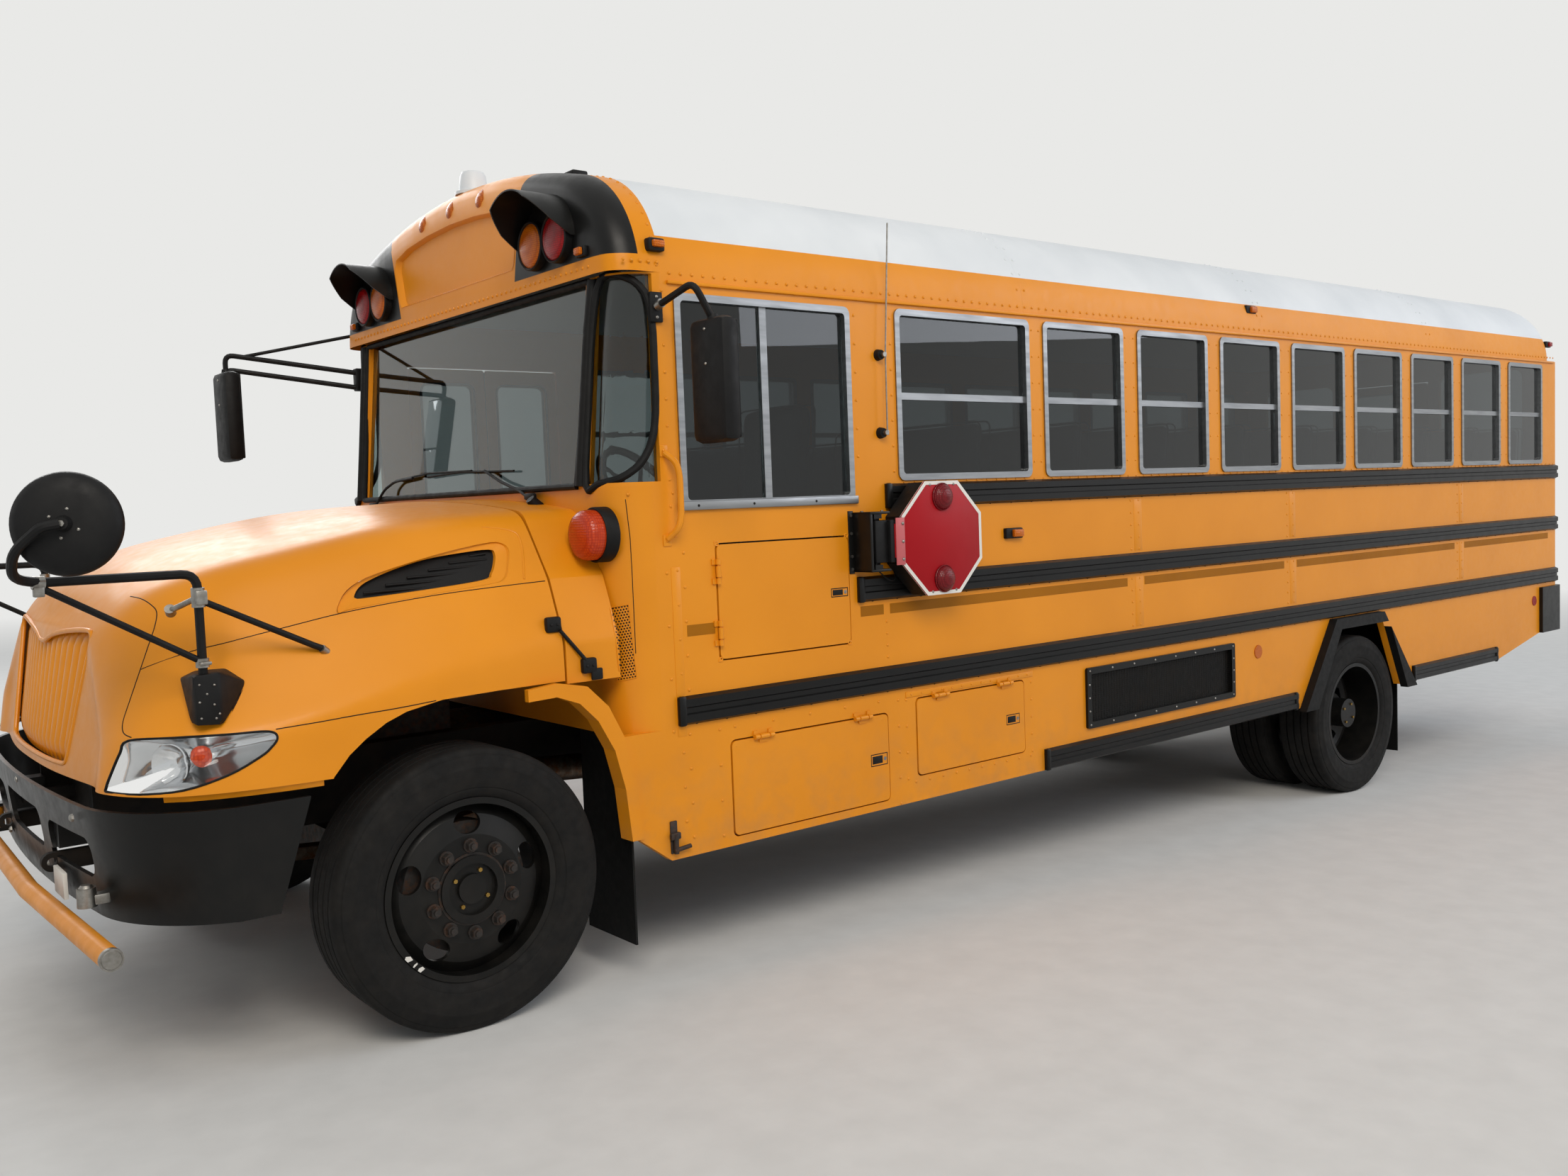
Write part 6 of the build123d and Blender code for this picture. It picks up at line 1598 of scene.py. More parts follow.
finish(bm, "stop_arm_pan", moulded_black, "stop_arm", "vent plastic", smooth=25.0)
lights, rims, screws = bmesh.new(), bmesh.new(), bmesh.new()
for z in (arm_z - 0.165, arm_z + 0.165):
    for y, out in ((arm_face, 1), (arm_face - 0.008, -1)):
        centre = Vector((arm_x, y, z))
        ring_spin(rims, [(0.05, -0.001), (0.0555, -0.001), (0.0555, 0.006), (0.053, 0.009), (0.05, 0.006)],
                  centre, (0, out, 0), 40)
        dome(lights, centre + Vector((0, out * 0.003, 0)), (0, out, 0), 0.0515, 0.034, 7, 40)
finish(lights, "stop_arm_lenses", stop_lens, "stop_arm", "lamp lens")
finish(rims, "stop_arm_lens_rims", stop_lens, "stop_arm", "lamp lens")
bm = bmesh.new()
block(bm, (1.425, 1.3396, 1.39), (1.472, 1.344, 1.575), 0.0012)
finish(bm, "stop_arm_flange", flange_pink, "stop_arm", "stop red paint")
for z in (1.412, 1.482, 1.552):
    rivet(screws, (1.436, 1.344, z), (0, 1, 0), 0.007, 0.005)
for x, z in ((1.275, 1.7), (1.275, 1.272), (1.14, 1.7), (1.14, 1.272)):
    rivet(screws, (x, arm_face + 0.0006, z), (0, 1, 0), 0.006, 0.003)
finish(screws, "stop_arm_screws", zinc_steel, "stop_arm", smooth=50.0)

# %% Hinge box on the wall
bm = bmesh.new()
block(bm, (1.574, 1.218, 1.368), (1.588, 1.322, 1.602), 0.003)
block(bm, (1.482, 1.218, 1.592), (1.588, 1.324, 1.602), 0.003)
block(bm, (1.482, 1.218, 1.368), (1.588, 1.324, 1.378), 0.003)
block(bm, (1.586, 1.218, 1.362), (1.612, 1.2225, 1.608), 0.001)
finish(bm, "hinge_box", black_enamel)
bm = bmesh.new()
for z in (1.38, 1.43, 1.52, 1.59):
    bar(bm, (1.6, 1.2222, z), (1.6, 1.2275, z), 0.0065, 6)
for x, y in ((1.505, 1.3), (1.56, 1.245)):
    bar(bm, (x, y, 1.6), (x, y, 1.6065), 0.0065, 6)
finish(bm, "hinge_box_bolts", zinc_steel, smooth=30.0)
wire = [
    (1.47, 1.232, 1.368), (1.452, 1.25, 1.34), (1.425, 1.262, 1.322), (1.398, 1.256, 1.335),
    (1.392, 1.24, 1.365),
]
tube("stop_arm_wire", [wire], 0.0028, moulded_black, slot="rubber", bend=0.02)

# %% [markdown]
# ## Lamps along the sides
# The turn lamp on the cowl is a deep round lens in a black rim. The side and roof lamps are
# small amber lenses in black shoes.

# %% Side lamps
bm, rims = bmesh.new(), bmesh.new()
for hand in (1, -1):
    base = Vector((2.64, hand * 1.12, 1.565))
    ring_spin(
        bm, [(0.086, 0.02), (0.0872, 0.085), (0.084, 0.103), (0.073, 0.117), (0.05, 0.124), (0.0, 0.127)],
        base, (1, 0, 0), 48, closed=False
    )
    ring_spin(
        rims, [(0.0845, 0.01), (0.096, 0.01), (0.096, 0.056), (0.0925, 0.062), (0.086, 0.06)], base,
        (1, 0, 0), 48
    )
turn_lamps = finish(bm, "turn_lamp_lenses", turn_lens)
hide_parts("marker_lamps")
finish(rims, "turn_lamp_rims", seal_rubber)
shoes, ambers, reds = bmesh.new(), bmesh.new(), bmesh.new()
# (x, z, length, height) of each shoe, then the lenses that it carries
for x, z, length, height, lenses in ((0.652, 1.48, 0.11, 0.046, ambers), (-1.297, 2.567, 0.09, 0.044, ambers),
                                     (-5.125, 2.56, 0.08, 0.042, reds)):
    for hand in (1, -1):
        wall_y = half_width if z < gutter_z else half_width - (0.03 if x > -5 else 0.034)
        inner, outer = sorted((hand * (wall_y - 0.006), hand * (wall_y + 0.018)))
        block(shoes, (x - length / 2, inner, z - height / 2), (x + length / 2, outer, z + height / 2), 0.006)
        inner, outer = sorted((hand * (wall_y + 0.01), hand * (wall_y + 0.032)))
        block(
            lenses, (x - length * 0.42, inner, z - height * 0.36),
            (x + length * 0.16, outer, z + height * 0.36), 0.006
        )
finish(shoes, "side_lamp_shoes", moulded_black, "bus_body", "vent plastic")
finish(ambers, "side_lamp_lenses", amber_lens)
finish(reds, "tail_marker_lenses", red_lens)

# %% [markdown]
# ## Mesh of the side box
# Woven wire closes the box low on the driver's side. It is two sets of straight wires, over
# a dark screen.

# %% Side mesh
bm = bmesh.new()
for number in range(1, 58):
    x = 0.142 - 1.162 * number / 58
    bar(bm, (x, 1.212, 0.58), (x, 1.212, 0.803), 0.0014, 5)
for number in range(1, 22):
    z = 0.58 + 0.223 * number / 22
    bar(bm, (-1.02, 1.2145, z), (0.142, 1.2145, z), 0.0014, 5)
finish(bm, "side_mesh", frame_paint, "bus_body", "black paint")
bm = bmesh.new()
block(bm, (-1.026, 1.192, 0.574), (0.148, 1.196, 0.809))
block(bm, (-1.02, 1.205, 0.592), (0.142, 1.2085, 0.6))
finish(bm, "side_mesh_screen", seal_rubber, "bus_body", "black paint")
bm = bmesh.new()
for number in range(8):
    x = 0.152 - 1.182 * number / 7
    for z in (0.566, 0.818):
        rivet(bm, (x, 1.2332, z), (0, 1, 0), 0.0055, 0.0035)
for z in (0.63, 0.692, 0.754):
    for x in (0.157, -1.035):
        rivet(bm, (x, 1.2332, z), (0, 1, 0), 0.0055, 0.0035)
finish(bm, "side_mesh_screws", zinc_steel, smooth=50.0)

# %% [markdown]
# ## Antenna, grab handle, window sill and hood latch
# Small bought parts stand on the wall ahead of the first window. The grab handle is bent
# tube with flattened feet, painted with the body.

# %% Small parts on the driver's side
rod = [(1.412, 1.25, 1.905), (1.409, 1.25, 2.225), (1.372, 1.246, 2.735)]
tube("antenna_rod", [rod], 0.0032, zinc_steel, bend=0.05)
bm, bolts = bmesh.new(), bmesh.new()
for z in (1.912, 2.219):
    bar(bm, (1.422, 1.218, z), (1.422, 1.24, z), 0.023, 24, 0.019)
    bar(bolts, (1.418, 1.238, z), (1.418, 1.256, z), 0.0095, 12)
    block(bolts, (1.404, 1.243, z - 0.01), (1.42, 1.254, z + 0.01), 0.003)
finish(bm, "antenna_pads", seal_rubber)
finish(bolts, "antenna_bolts", zinc_steel)
grip = [
    (2.462, 1.224, 1.84), (2.44, 1.262, 1.806), (2.43, 1.266, 1.76), (2.43, 1.266, 1.62),
    (2.44, 1.262, 1.575), (2.462, 1.224, 1.54),
]
tube("grab_handle", [grip], 0.0115, yellow_enamel, bend=0.022)
bm = bmesh.new()
for z in (1.846, 1.534):
    block(bm, (2.446, 1.218, z - 0.02), (2.48, 1.2235, z + 0.02), 0.002)
    rivet(bm, (2.463, 1.2235, z), (0, 1, 0), 0.0075, 0.005)
finish(bm, "grab_handle_feet", yellow_enamel)
bm, holes = bmesh.new(), bmesh.new()
block(bm, (1.56, 1.218, 1.636), (2.405, 1.233, 1.668), 0.004)
for x in (2.33, 2.08, 1.78):
    bar(holes, (x, 1.232, 1.652), (x, 1.2336, 1.652), 0.005, 16)
finish(bm, "slider_sill", window_aluminium)
finish(holes, "slider_sill_screws", frame_paint, "bus_body", "steel")
bm = bmesh.new()
block(bm, (2.476, 1.218, 0.428), (2.506, 1.226, 0.545), 0.004)
block(bm, (2.47, 1.224, 0.48), (2.512, 1.24, 0.505), 0.005)
bar(bm, (2.43, 1.236, 0.448), (2.5, 1.236, 0.442), 0.008, 12)
bar(bm, (2.491, 1.236, 0.43), (2.491, 1.236, 0.5), 0.009, 12)
finish(bm, "hood_latch", rusty_steel)

# %% [markdown]
# ## Cowl air intake
# Behind each hood latch the cowl is pierced by a field of small round holes, and a seam runs
# round the corner panel. Cutting hundreds of holes would be heavy, so each is a tiny dark
# six-sided pit cap, laid on the panel by casting a ray at it. The caps' black is painted
# shade: it stands for the dark inside each hole.

# %% Cast on the front body
front_panel = BVHTree.FromObject(solids["front_body"], bpy.context.evaluated_depsgraph_get())
level_again = stance.inverted()


def on_cowl(spot, way):
    """The place and outward direction where the cowl lies under a spot, seen along a direction."""
    start = stance @ (Vector(spot) + Vector(way).normalized() * 0.1)
    down = stance.to_3x3() @ -Vector(way).normalized()
    hit, facing_out, _, _ = front_panel.ray_cast(start, down, 0.25)
    if hit is None:
        return Vector(spot), Vector(way).normalized()
    facing_out = level_again.to_3x3() @ facing_out
    if facing_out.dot(Vector(way)) < 0:
        facing_out = -facing_out
    return level_again @ hit, facing_out


# %% Holes, rim and seams of the cowl
pits = bmesh.new()
rim_runs, seam_runs = [], []
across, down = 7, 27
corner_seam = [
    (2.664, 0.787, 1.701), (2.606, 1.187, 1.683), (2.598, 1.193, 1.552), (2.597, 1.194, 1.449),
    (2.597, 1.194, 1.075),
]
for hand in (1, -1):
    first, second, third = (Vector((x, hand * y, z)) for x, y, z in (
        (2.668, 1.157, 1.31), (2.61, 1.184, 1.321), (2.597, 1.194, 1.065)))
    fourth = first + third - second
    way = (0.35, hand * 0.94, 0.0)
    for row in range(down):
        for column in range(across - row % 2):
            share_u = (column + 0.5 + 0.5 * (row % 2)) / across
            share_v = (row + 0.5) / down
            spot = first.lerp(second, share_u).lerp(fourth.lerp(third, share_u), share_v)
            hit, out = on_cowl(spot, way)
            bar(pits, hit - out * 0.0004, hit + out * 0.0007, 0.0034, 6)
    outline = [first, second, third, fourth, first]
    line = []
    for start, end in zip(outline, outline[1:]):
        for step in range(6):
            hit, out = on_cowl(start.lerp(end, step / 6), way)
            line.append(tuple(hit + out * 0.001))
    rim_runs.append(line + line[:1])
    seam = [Vector((x, hand * y, z)) for x, y, z in corner_seam]
    line = []
    for start, end in zip(seam[1:], seam[2:]):
        for step in range(5):
            hit, out = on_cowl(start.lerp(end, step / 5), way)
            line.append(tuple(hit + out * 0.0006))
    seam_runs.append(line)
# the pits' black is painted shade, standing for the dark inside each hole
finish(pits, "cowl_intake_holes", seal_rubber, "bus_body", "black paint")
tube("cowl_intake_rim", rim_runs, 0.0024, yellow_enamel, bend=0.004, steps=2)
tube("cowl_corner_seams", seam_runs, 0.0014, seal_rubber, "bus_body", "black paint", bend=0.002, steps=1)

# %% [markdown]
# ## Cross-view mirrors
# A round convex mirror stands out over each fender and shows the ground in front of the
# bumper, which the hood hides. Its dished plastic back faces forward. The post is bent
# tube, stayed by two rods to the hood and by a slanting one below, with plated clamps at
# the joints.

# %% Cross-view mirror tubes
runs = []
for hand in (1, -1):
    main = [(3.992, 1.1, 1.205), (3.992, 1.1, 1.514), (4.4, 1.13, 1.516), (4.462, 1.176, 1.532),
            (4.468, 1.25, 1.6), (4.412, 1.322, 1.662), (4.372, 1.326, 1.668)]
    runs.append([(x, hand * y, z) for x, y, z in main])
mirror_tubes = tube("cross_mirror_posts", runs, 0.013, moulded_black, "hood_body", bend=0.045)
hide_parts("cross_view_mirrors")
runs = []
for hand in (1, -1):
    runs += [
        [(3.992, hand * 1.1, 1.262), (4.395, hand * 1.13, 1.505)],
        [(3.992, hand * 1.104, 1.44), (3.668, hand * 1.09, 1.276), (3.636, hand * 1.083, 1.262)],
    ]
tube("cross_mirror_stays", runs, 0.0098, moulded_black, "hood_body", bend=0.01)

# %% Clamps, feet and their rivets
clamps, feet, screws = bmesh.new(), bmesh.new(), bmesh.new()
for hand in (1, -1):
    side = Vector((1, hand, 1))
    for low, high in ((1.418, 1.474), (1.246, 1.272)):
        bar(clamps, (3.992, hand * 1.1, low), (3.992, hand * 1.1, high), 0.0185, 20)
        block(clamps, (3.975, hand * 1.112, low + 0.008), (4.006, hand * 1.134, high - 0.008), 0.003)
    bar(clamps, (4.38, hand * 1.1285, 1.515), (4.41, hand * 1.131, 1.516), 0.0175, 20)
    block(clamps, (4.382, hand * 1.118, 1.478), (4.408, hand * 1.142, 1.508), 0.003)
    bar(clamps, (3.992, hand * 1.096, 1.446), (4.04, hand * 0.99, 1.408), 0.0085, 12)
    bar(clamps, (4.044, hand * 0.998, 1.414), (4.036, hand * 0.978, 1.4), 0.015, 16)
    bar(clamps, (3.646, hand * 1.089, 1.266), (3.628, hand * 1.08, 1.252), 0.012, 12)
    corners = [(4.026, 1.128, 1.084), (3.956, 1.127, 1.078), (3.956, 1.127, 1.23), (4.026, 1.128, 1.228),
               (3.889, 1.079, 1.146), (3.861, 1.06, 1.187), (3.904, 1.009, 1.228), (3.981, 0.968, 1.226),
               (4.032, 1.0, 1.212), (4.032, 1.085, 1.09), (3.93, 1.06, 1.085)]
    made = bmesh.new()
    for corner in corners:
        made.verts.new(Vector(corner) * side)
    bmesh.ops.convex_hull(made, input=made.verts)
    bmesh.ops.delete(made, geom=[vert for vert in made.verts if not vert.link_faces], context="VERTS")
    bmesh.ops.dissolve_limit(made, angle_limit=0.02, verts=made.verts, edges=made.edges)
    bmesh.ops.bevel(
        made, geom=list(made.edges), offset=0.007, affect="EDGES", segments=2, profile=0.5, material=-1
    )
    scratch = bpy.data.meshes.new("foot")
    made.to_mesh(scratch)
    made.free()
    feet.from_mesh(scratch)
    bpy.data.meshes.remove(scratch)
    for x, z in ((4.012, 1.104), (3.972, 1.1), (4.014, 1.15), (3.975, 1.14), (3.993, 1.172), (4.012, 1.2),
                 (3.972, 1.196), (3.962, 1.112)):
        rivet(screws, (x, hand * 1.1285, z), (0, hand, 0), 0.004, 0.003)
finish(clamps, "cross_mirror_clamps", zinc_steel, "hood_body")
finish(feet, "cross_mirror_feet", moulded_black, "hood_body")
finish(screws, "cross_mirror_screws", zinc_steel, "hood_body", smooth=50.0)

# %% Cross-view mirror dishes
backs, mirrors, bolts = bmesh.new(), bmesh.new(), bmesh.new()
dish_profile = [(0.0, 0.03), (0.045, 0.029), (0.085, 0.025), (0.115, 0.016), (0.13, 0.004), (0.135, -0.01),
                (0.133, -0.02), (0.127, -0.022)]
silver_profile = [(0.129, -0.018), (0.115, -0.034), (0.09, -0.048), (0.05, -0.058), (0.0, -0.062)]
for hand in (1, -1):
    centre = Vector((4.345, hand * 1.275, 1.667))
    way = Vector((0.4, hand * 0.9, 0.03)).normalized()
    ring_spin(backs, dish_profile, centre, way, 56, closed=False)
    ring_spin(mirrors, silver_profile, centre, way, 56, closed=False)
    turn = turn_to(way)
    for across, up in ((0.03, 0.022), (-0.03, 0.022), (0.028, -0.024), (-0.03, -0.024)):
        spot = centre + turn @ Vector((up, across, 0.0285))
        rivet(bolts, spot, way, 0.0052, 0.004)
    socket = centre + way * 0.028
    bar(backs, socket, socket + way * 0.022, 0.022, 20, 0.015)
    bar(bolts, socket + way * 0.022, socket + way * 0.032, 0.0085, 6)
for bm in (backs, mirrors):
    bmesh.ops.remove_doubles(bm, verts=bm.verts, dist=0.00003)
finish(backs, "cross_mirror_dishes", moulded_black, "hood_body", smooth=40.0)
finish(mirrors, "cross_mirror_glass", mirror_silver, "hood_body", smooth=60.0)
finish(bolts, "cross_mirror_bolts", zinc_steel, "hood_body", smooth=40.0)

# %% [markdown]
# ## Rear-view mirrors
# A tall head hangs from a bent arm at each front corner: the driver's close to the side
# window, the kerb one far forward on a pair of long arms with a stay. Each head is a
# moulded shell with rounded edges, and its flat glass faces the driver's seat.

# %% Rear-view mirrors
heads, silvers, plates, screws = bmesh.new(), bmesh.new(), bmesh.new(), bmesh.new()
for x, y, z in ((2.395, 1.45, 2.07), (3.13, -1.4, 2.15)):
    block(heads, (x - 0.038, y - 0.098, z - 0.208), (x + 0.038, y + 0.098, z + 0.208), 0.026)
    block(heads, (x - 0.04, y - 0.086, z - 0.196), (x - 0.03, y + 0.086, z + 0.196), 0.004)
    block(silvers, (x - 0.0415, y - 0.079, z - 0.06), (x - 0.038, y + 0.079, z + 0.188), 0.0012)
    block(silvers, (x - 0.0415, y - 0.079, z - 0.188), (x - 0.038, y + 0.079, z - 0.072), 0.0012)
    for lift in (0.19, 0.075):
        rivet(screws, (x + 0.038, y, z + lift - 0.02), (1, 0, 0), 0.0055, 0.004)
    bar(plates, (x, y, z + 0.196), (x, y, z + 0.222), 0.022, 16, 0.017)
block(plates, (2.447, 1.2175, 2.288), (2.497, 1.233, 2.392), 0.004)
block(plates, (2.56, -1.205, 2.265), (2.6, -1.16, 2.372), 0.005)
heads_made = finish(heads, "rear_view_heads", moulded_black)
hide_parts("rear_view_mirrors")
finish(silvers, "rear_view_glass", mirror_silver)
finish(plates, "rear_view_brackets", moulded_black)
for z in (2.305, 2.375):
    rivet(screws, (2.472, 1.233, z), (0, 1, 0), 0.0065, 0.004)
bar(screws, (2.472, 1.236, 2.3425), (2.471, 1.262, 2.35), 0.0165, 16)
finish(screws, "rear_view_screws", zinc_steel, smooth=50.0)
tube("rear_view_arms", [
    [(2.472, 1.228, 2.34), (2.47, 1.45, 2.392), (2.395, 1.45, 2.272)],
    [(2.585, -1.178, 2.35), (3.13, -1.4, 2.44), (3.13, -1.4, 2.352)],
    [(2.585, -1.178, 2.28), (3.13, -1.4, 2.372), (3.13, -1.4, 2.3)],
], 0.012, moulded_black, bend=0.04)
tube("rear_view_stay", [[(2.545, -1.186, 2.54), (3.05, -1.372, 2.432)]], 0.008, moulded_black)

# %% [markdown]
# ## Bumper hardware and the crossing arm
# Bolts hold the bumper to its brackets, a blank plate hangs low on the driver's side, and a
# plated magnet catches the crossing arm. The arm is yellow plastic pipe with a grey plug.

# %% Bumper hardware
bm = bmesh.new()
for y, z, x in ((0.745, 0.807, 4.287), (0.0, 0.822, 4.3085), (-0.745, 0.807, 4.287), (0.33, 0.59, 4.29),
                (-0.33, 0.59, 4.29)):
    rivet(bm, (x, y, z), (1, y * 0.2, 0), 0.013, 0.009)
bar(bm, (4.286, 0.862, 0.566), (4.286, 0.862, 0.622), 0.027, 28, 0.0255)
bar(bm, (4.286, 0.862, 0.622), (4.286, 0.862, 0.63), 0.02, 28, 0.014)
block(bm, (4.226, 0.842, 0.57), (4.276, 0.882, 0.6), 0.004)
finish(bm, "bumper_hardware", zinc_steel)
bm = bmesh.new()
block(bm, (4.285, 0.455, 0.53), (4.298, 0.595, 0.612), 0.002)
finish(bm, "blank_front_plate", border_white)
bm = bmesh.new()
start, tip = Vector((4.358, 0.38, 0.532)), Vector((4.318, 1.29, 0.524))
way = (tip - start).normalized()
bar(bm, tip - way * 0.01, tip + way * 0.004, 0.0308, 32)
bar(bm, tip + way * 0.004, tip + way * 0.007, 0.026, 32, 0.024)
finish(bm, "crossing_arm_plug", zinc_steel, "crossing_arm")

# %% Hood straps
straps = bmesh.new()
for hand in (1, -1):
    for x, y, z in ((2.907, 1.182, 1.276), (2.791, 1.205, 1.129)):
        low_y, high_y = sorted((hand * (y - 0.016), hand * (y + 0.01)))
        block(straps, (x - 0.028, low_y, z - 0.026), (x + 0.028, high_y, z + 0.026), 0.008)
        for dx in (-0.012, 0.012):
            rivet(straps, (x + dx, hand * (y + 0.01), z), (0, hand, 0), 0.0055, 0.004)
    bar(straps, (2.89, hand * 1.196, 1.256), (2.806, hand * 1.21, 1.15), 0.0065, 12)
    block(straps, (2.742, hand * 1.203, 1.078), (2.786, hand * 1.214, 1.118), 0.005)
finish(straps, "hood_straps", moulded_black, "bus_body", "vent plastic")

# %% [markdown]
# ## Compartments behind the low doors
# When the battery and fuel doors swing up, one looks into a steel tray. The battery tray
# carries two batteries with lead posts, and the other has the filler neck and its cap.

# %% Trays, batteries and filler
trays, batteries, posts = bmesh.new(), bmesh.new(), bmesh.new()
tray_back, tray_front = 0.9, 1.182
for low_x, high_x, low_z, high_z in ((1.444, 2.211, 0.448, 0.792), (0.614, 1.261, 0.519, 0.83)):
    block(trays, (low_x, tray_back, low_z), (high_x, tray_back + 0.004, high_z))
    for z in (low_z, high_z - 0.004):
        block(trays, (low_x, tray_back + 0.004, z), (high_x, tray_front, z + 0.004))
    for x in (low_x, high_x - 0.004):
        block(trays, (x, tray_back + 0.004, low_z + 0.004), (x + 0.004, tray_front, high_z - 0.004))
for middle in (1.65, 2.0):
    block(batteries, (middle - 0.145, 0.945, 0.454), (middle + 0.145, 1.12, 0.66), 0.006)
    block(batteries, (middle - 0.15, 0.94, 0.655), (middle + 0.15, 1.125, 0.68), 0.004)
    for shift in (-0.1, 0.1):
        bar(posts, (middle + shift, 1.085, 0.68), (middle + shift, 1.085, 0.698), 0.0095, 16, 0.0085)
        bar(posts, (middle + shift, 1.085, 0.684), (middle + shift, 1.085, 0.692), 0.015, 16)
neck, cap = Vector((0.93, 1.0, 0.64)), Vector((0.93, 1.11, 0.69))
bar(posts, neck - (cap - neck) * 0.8, cap, 0.03, 24)
ring_spin(
    posts, [(0.0, 0.022), (0.04, 0.022), (0.046, 0.016), (0.046, -0.012), (0.0, -0.012)], cap, cap - neck, 32,
    closed=False
)
finish(trays, "compartment_trays", frame_paint)
finish(batteries, "batteries", moulded_black, "bus_body", "vent plastic")
finish(posts, "battery_posts_and_filler", zinc_steel)

# %% [markdown]
# ## Rear wall
# The back carries round lamps in rubber rings and rivets along its sheet edges. The
# emergency door has two windows, a plated handle and three hinges of steel.

# %% Rear lamps
cups, reds, ambers, clears, rims = bmesh.new(), bmesh.new(), bmesh.new(), bmesh.new(), bmesh.new()
rear_lamps = ((1.02, 1.48, 0.09, reds), (1.02, 1.18, 0.06, ambers), (0.8, 1.48, 0.05, clears))
ring_section = ((0.0, 0.0), (0.0, 0.02), (0.004, 0.026), (0.01, 0.026), (0.012, 0.018), (0.012, 0.0))
for hand in (1, -1):
    for y, z, radius, target in rear_lamps:
        section = [(radius - inset, height) for inset, height in ring_section]
        ring_spin(cups, section, (rear_face, hand * y, z), (-1, 0, 0), 48)
        dome(target, (rear_face - 0.017, hand * y, z), (-1, 0, 0), radius - 0.0125, 0.014, 5, 40)
finish(cups, "rear_lamp_rings", seal_rubber)
finish(reds, "rear_stop_lamps", red_lens, smooth=60.0)
finish(ambers, "rear_turn_lamps", turn_lens, smooth=60.0)
finish(clears, "rear_reversing_lamps", clear_lens, smooth=60.0)

# %% Rear rivets, hinge and door furniture
screws, hinge, handle = bmesh.new(), bmesh.new(), bmesh.new()
for hand in (1, -1):
    rivet_row(screws, (rear_face, hand * 1.15, 0.9), (rear_face, hand * 1.15, 2.36), 0.075, (-1, 0, 0))
    rivet_row(screws, (rear_face, hand * 0.385, 0.93), (rear_face, hand * 0.385, 2.4), 0.075, (-1, 0, 0))
    rivet_row(screws, (rear_face, hand * 0.45, 1.64), (rear_face, hand * 1.11, 1.64), 0.066, (-1, 0, 0))
rivet_row(screws, (rear_face, -1.1, 0.905), (rear_face, 1.1, 0.905), 0.075, (-1, 0, 0))
finish(screws, "rear_rivets", yellow_enamel, smooth=50.0)
for z in (1.1, 1.66, 2.22):
    bar(hinge, (-5.1985, -0.337, z - 0.055), (-5.1985, -0.337, z + 0.055), 0.0085, 16)
    block(hinge, (-5.1935, -0.33, z - 0.05), (-5.1895, -0.272, z + 0.05), 0.001)
    for lift in (-0.035, 0.0, 0.035):
        rivet(hinge, (-5.1935, -0.29, z + lift), (-1, 0, 0), 0.005, 0.003)
finish(hinge, "exit_door_hinges", zinc_steel, "exit_door")
block(handle, (rear_face - 0.008, 0.246, 1.69), (rear_face, 0.32, 1.8), 0.003)
bar(handle, (rear_face - 0.006, 0.283, 1.745), (rear_face - 0.034, 0.283, 1.745), 0.0125, 20)
block(handle, (rear_face - 0.044, 0.27, 1.64), (rear_face - 0.032, 0.296, 1.76), 0.005)
finish(handle, "exit_door_handle", chrome, "exit_door")

# %% [markdown]
# ## Passenger doors
# The entrance has two leaves that part in the middle, and the exit door in the tail has one.
# A leaf could be a flat card with painted windows, but from the kerb one looks through it,
# so each is a plate with its lights cut out, a pane set in each, and a rubber bead round it.

# %% Door leaves


def rounded(low_u, high_u, low_v, high_v, radius, steps=6):
    """The corners of a rectangle with rounded corners, as pairs."""
    pairs = []
    for mid_u, mid_v, start in (
        (high_u - radius, high_v - radius, 0), (low_u + radius, high_v - radius, 90),
        (low_u + radius, low_v + radius, 180), (high_u - radius, low_v + radius, 270)
    ):
        for step in range(steps + 1):
            angle = math.radians(start + 90 * step / steps)
            pairs.append((mid_u + radius * math.cos(angle), mid_v + radius * math.sin(angle)))
    return pairs


def door(name, body, edges, lights, make, inward, corner):
    """A leaf with its lights cut out, their panes, and the beads that hold them."""
    inward = Vector(inward)
    bm = bmesh.new()
    plate(bm, [make(u, v) for u, v in rounded(*edges, corner)], inward * 0.036, 0.0015, 1)
    leaf = finish(bm, name + "_leaf", yellow_enamel, body)
    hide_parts(name)
    bake(leaf, [cutter([([make(u, v) for u, v in rounded(*light, 0.04)], inward * 0.1) for light in lights])])
    panes, runs = bmesh.new(), []
    for low_u, high_u, low_v, high_v in lights:
        grown = rounded(low_u - 0.004, high_u + 0.004, low_v - 0.004, high_v + 0.004, 0.042)
        plate(panes, [Vector(make(u, v)) + inward * 0.014 for u, v in grown], inward * 0.005)
        for depth in (0.0005, 0.0355):
            bound = rounded(low_u, high_u, low_v, high_v, 0.04)
            ring = [tuple(Vector(make(u, v)) + inward * depth) for u, v in bound]
            runs.append(ring + ring[:1])
    finish(panes, name + "_panes", side_glass, body)
    tube(name + "_beads", runs, 0.0065, seal_rubber, body, bend=0.002, steps=1)


for name, high_x, low_x in (("entrance_door_front", 2.324, 1.918), ("entrance_door_rear", 1.912, 1.506)):
    lights = [(low_x + 0.06, high_x - 0.06, low_z, high_z) for low_z, high_z in ((0.7, 1.33), (1.42, 2.31))]
    door(
        name, name, (low_x, high_x, 0.566, 2.384), lights, lambda x, z: (x, -half_width, z), (0, 1, 0), 0.012
    )
door(
    "exit_door", "exit_door", (-0.334, 0.334, 0.946, 2.374),
    [(-0.24, 0.24, 1.87, 2.31), (-0.24, 0.24, 1.21, 1.63)], lambda y, z: (rear_face, y, z), (1, 0, 0), 0.03
)

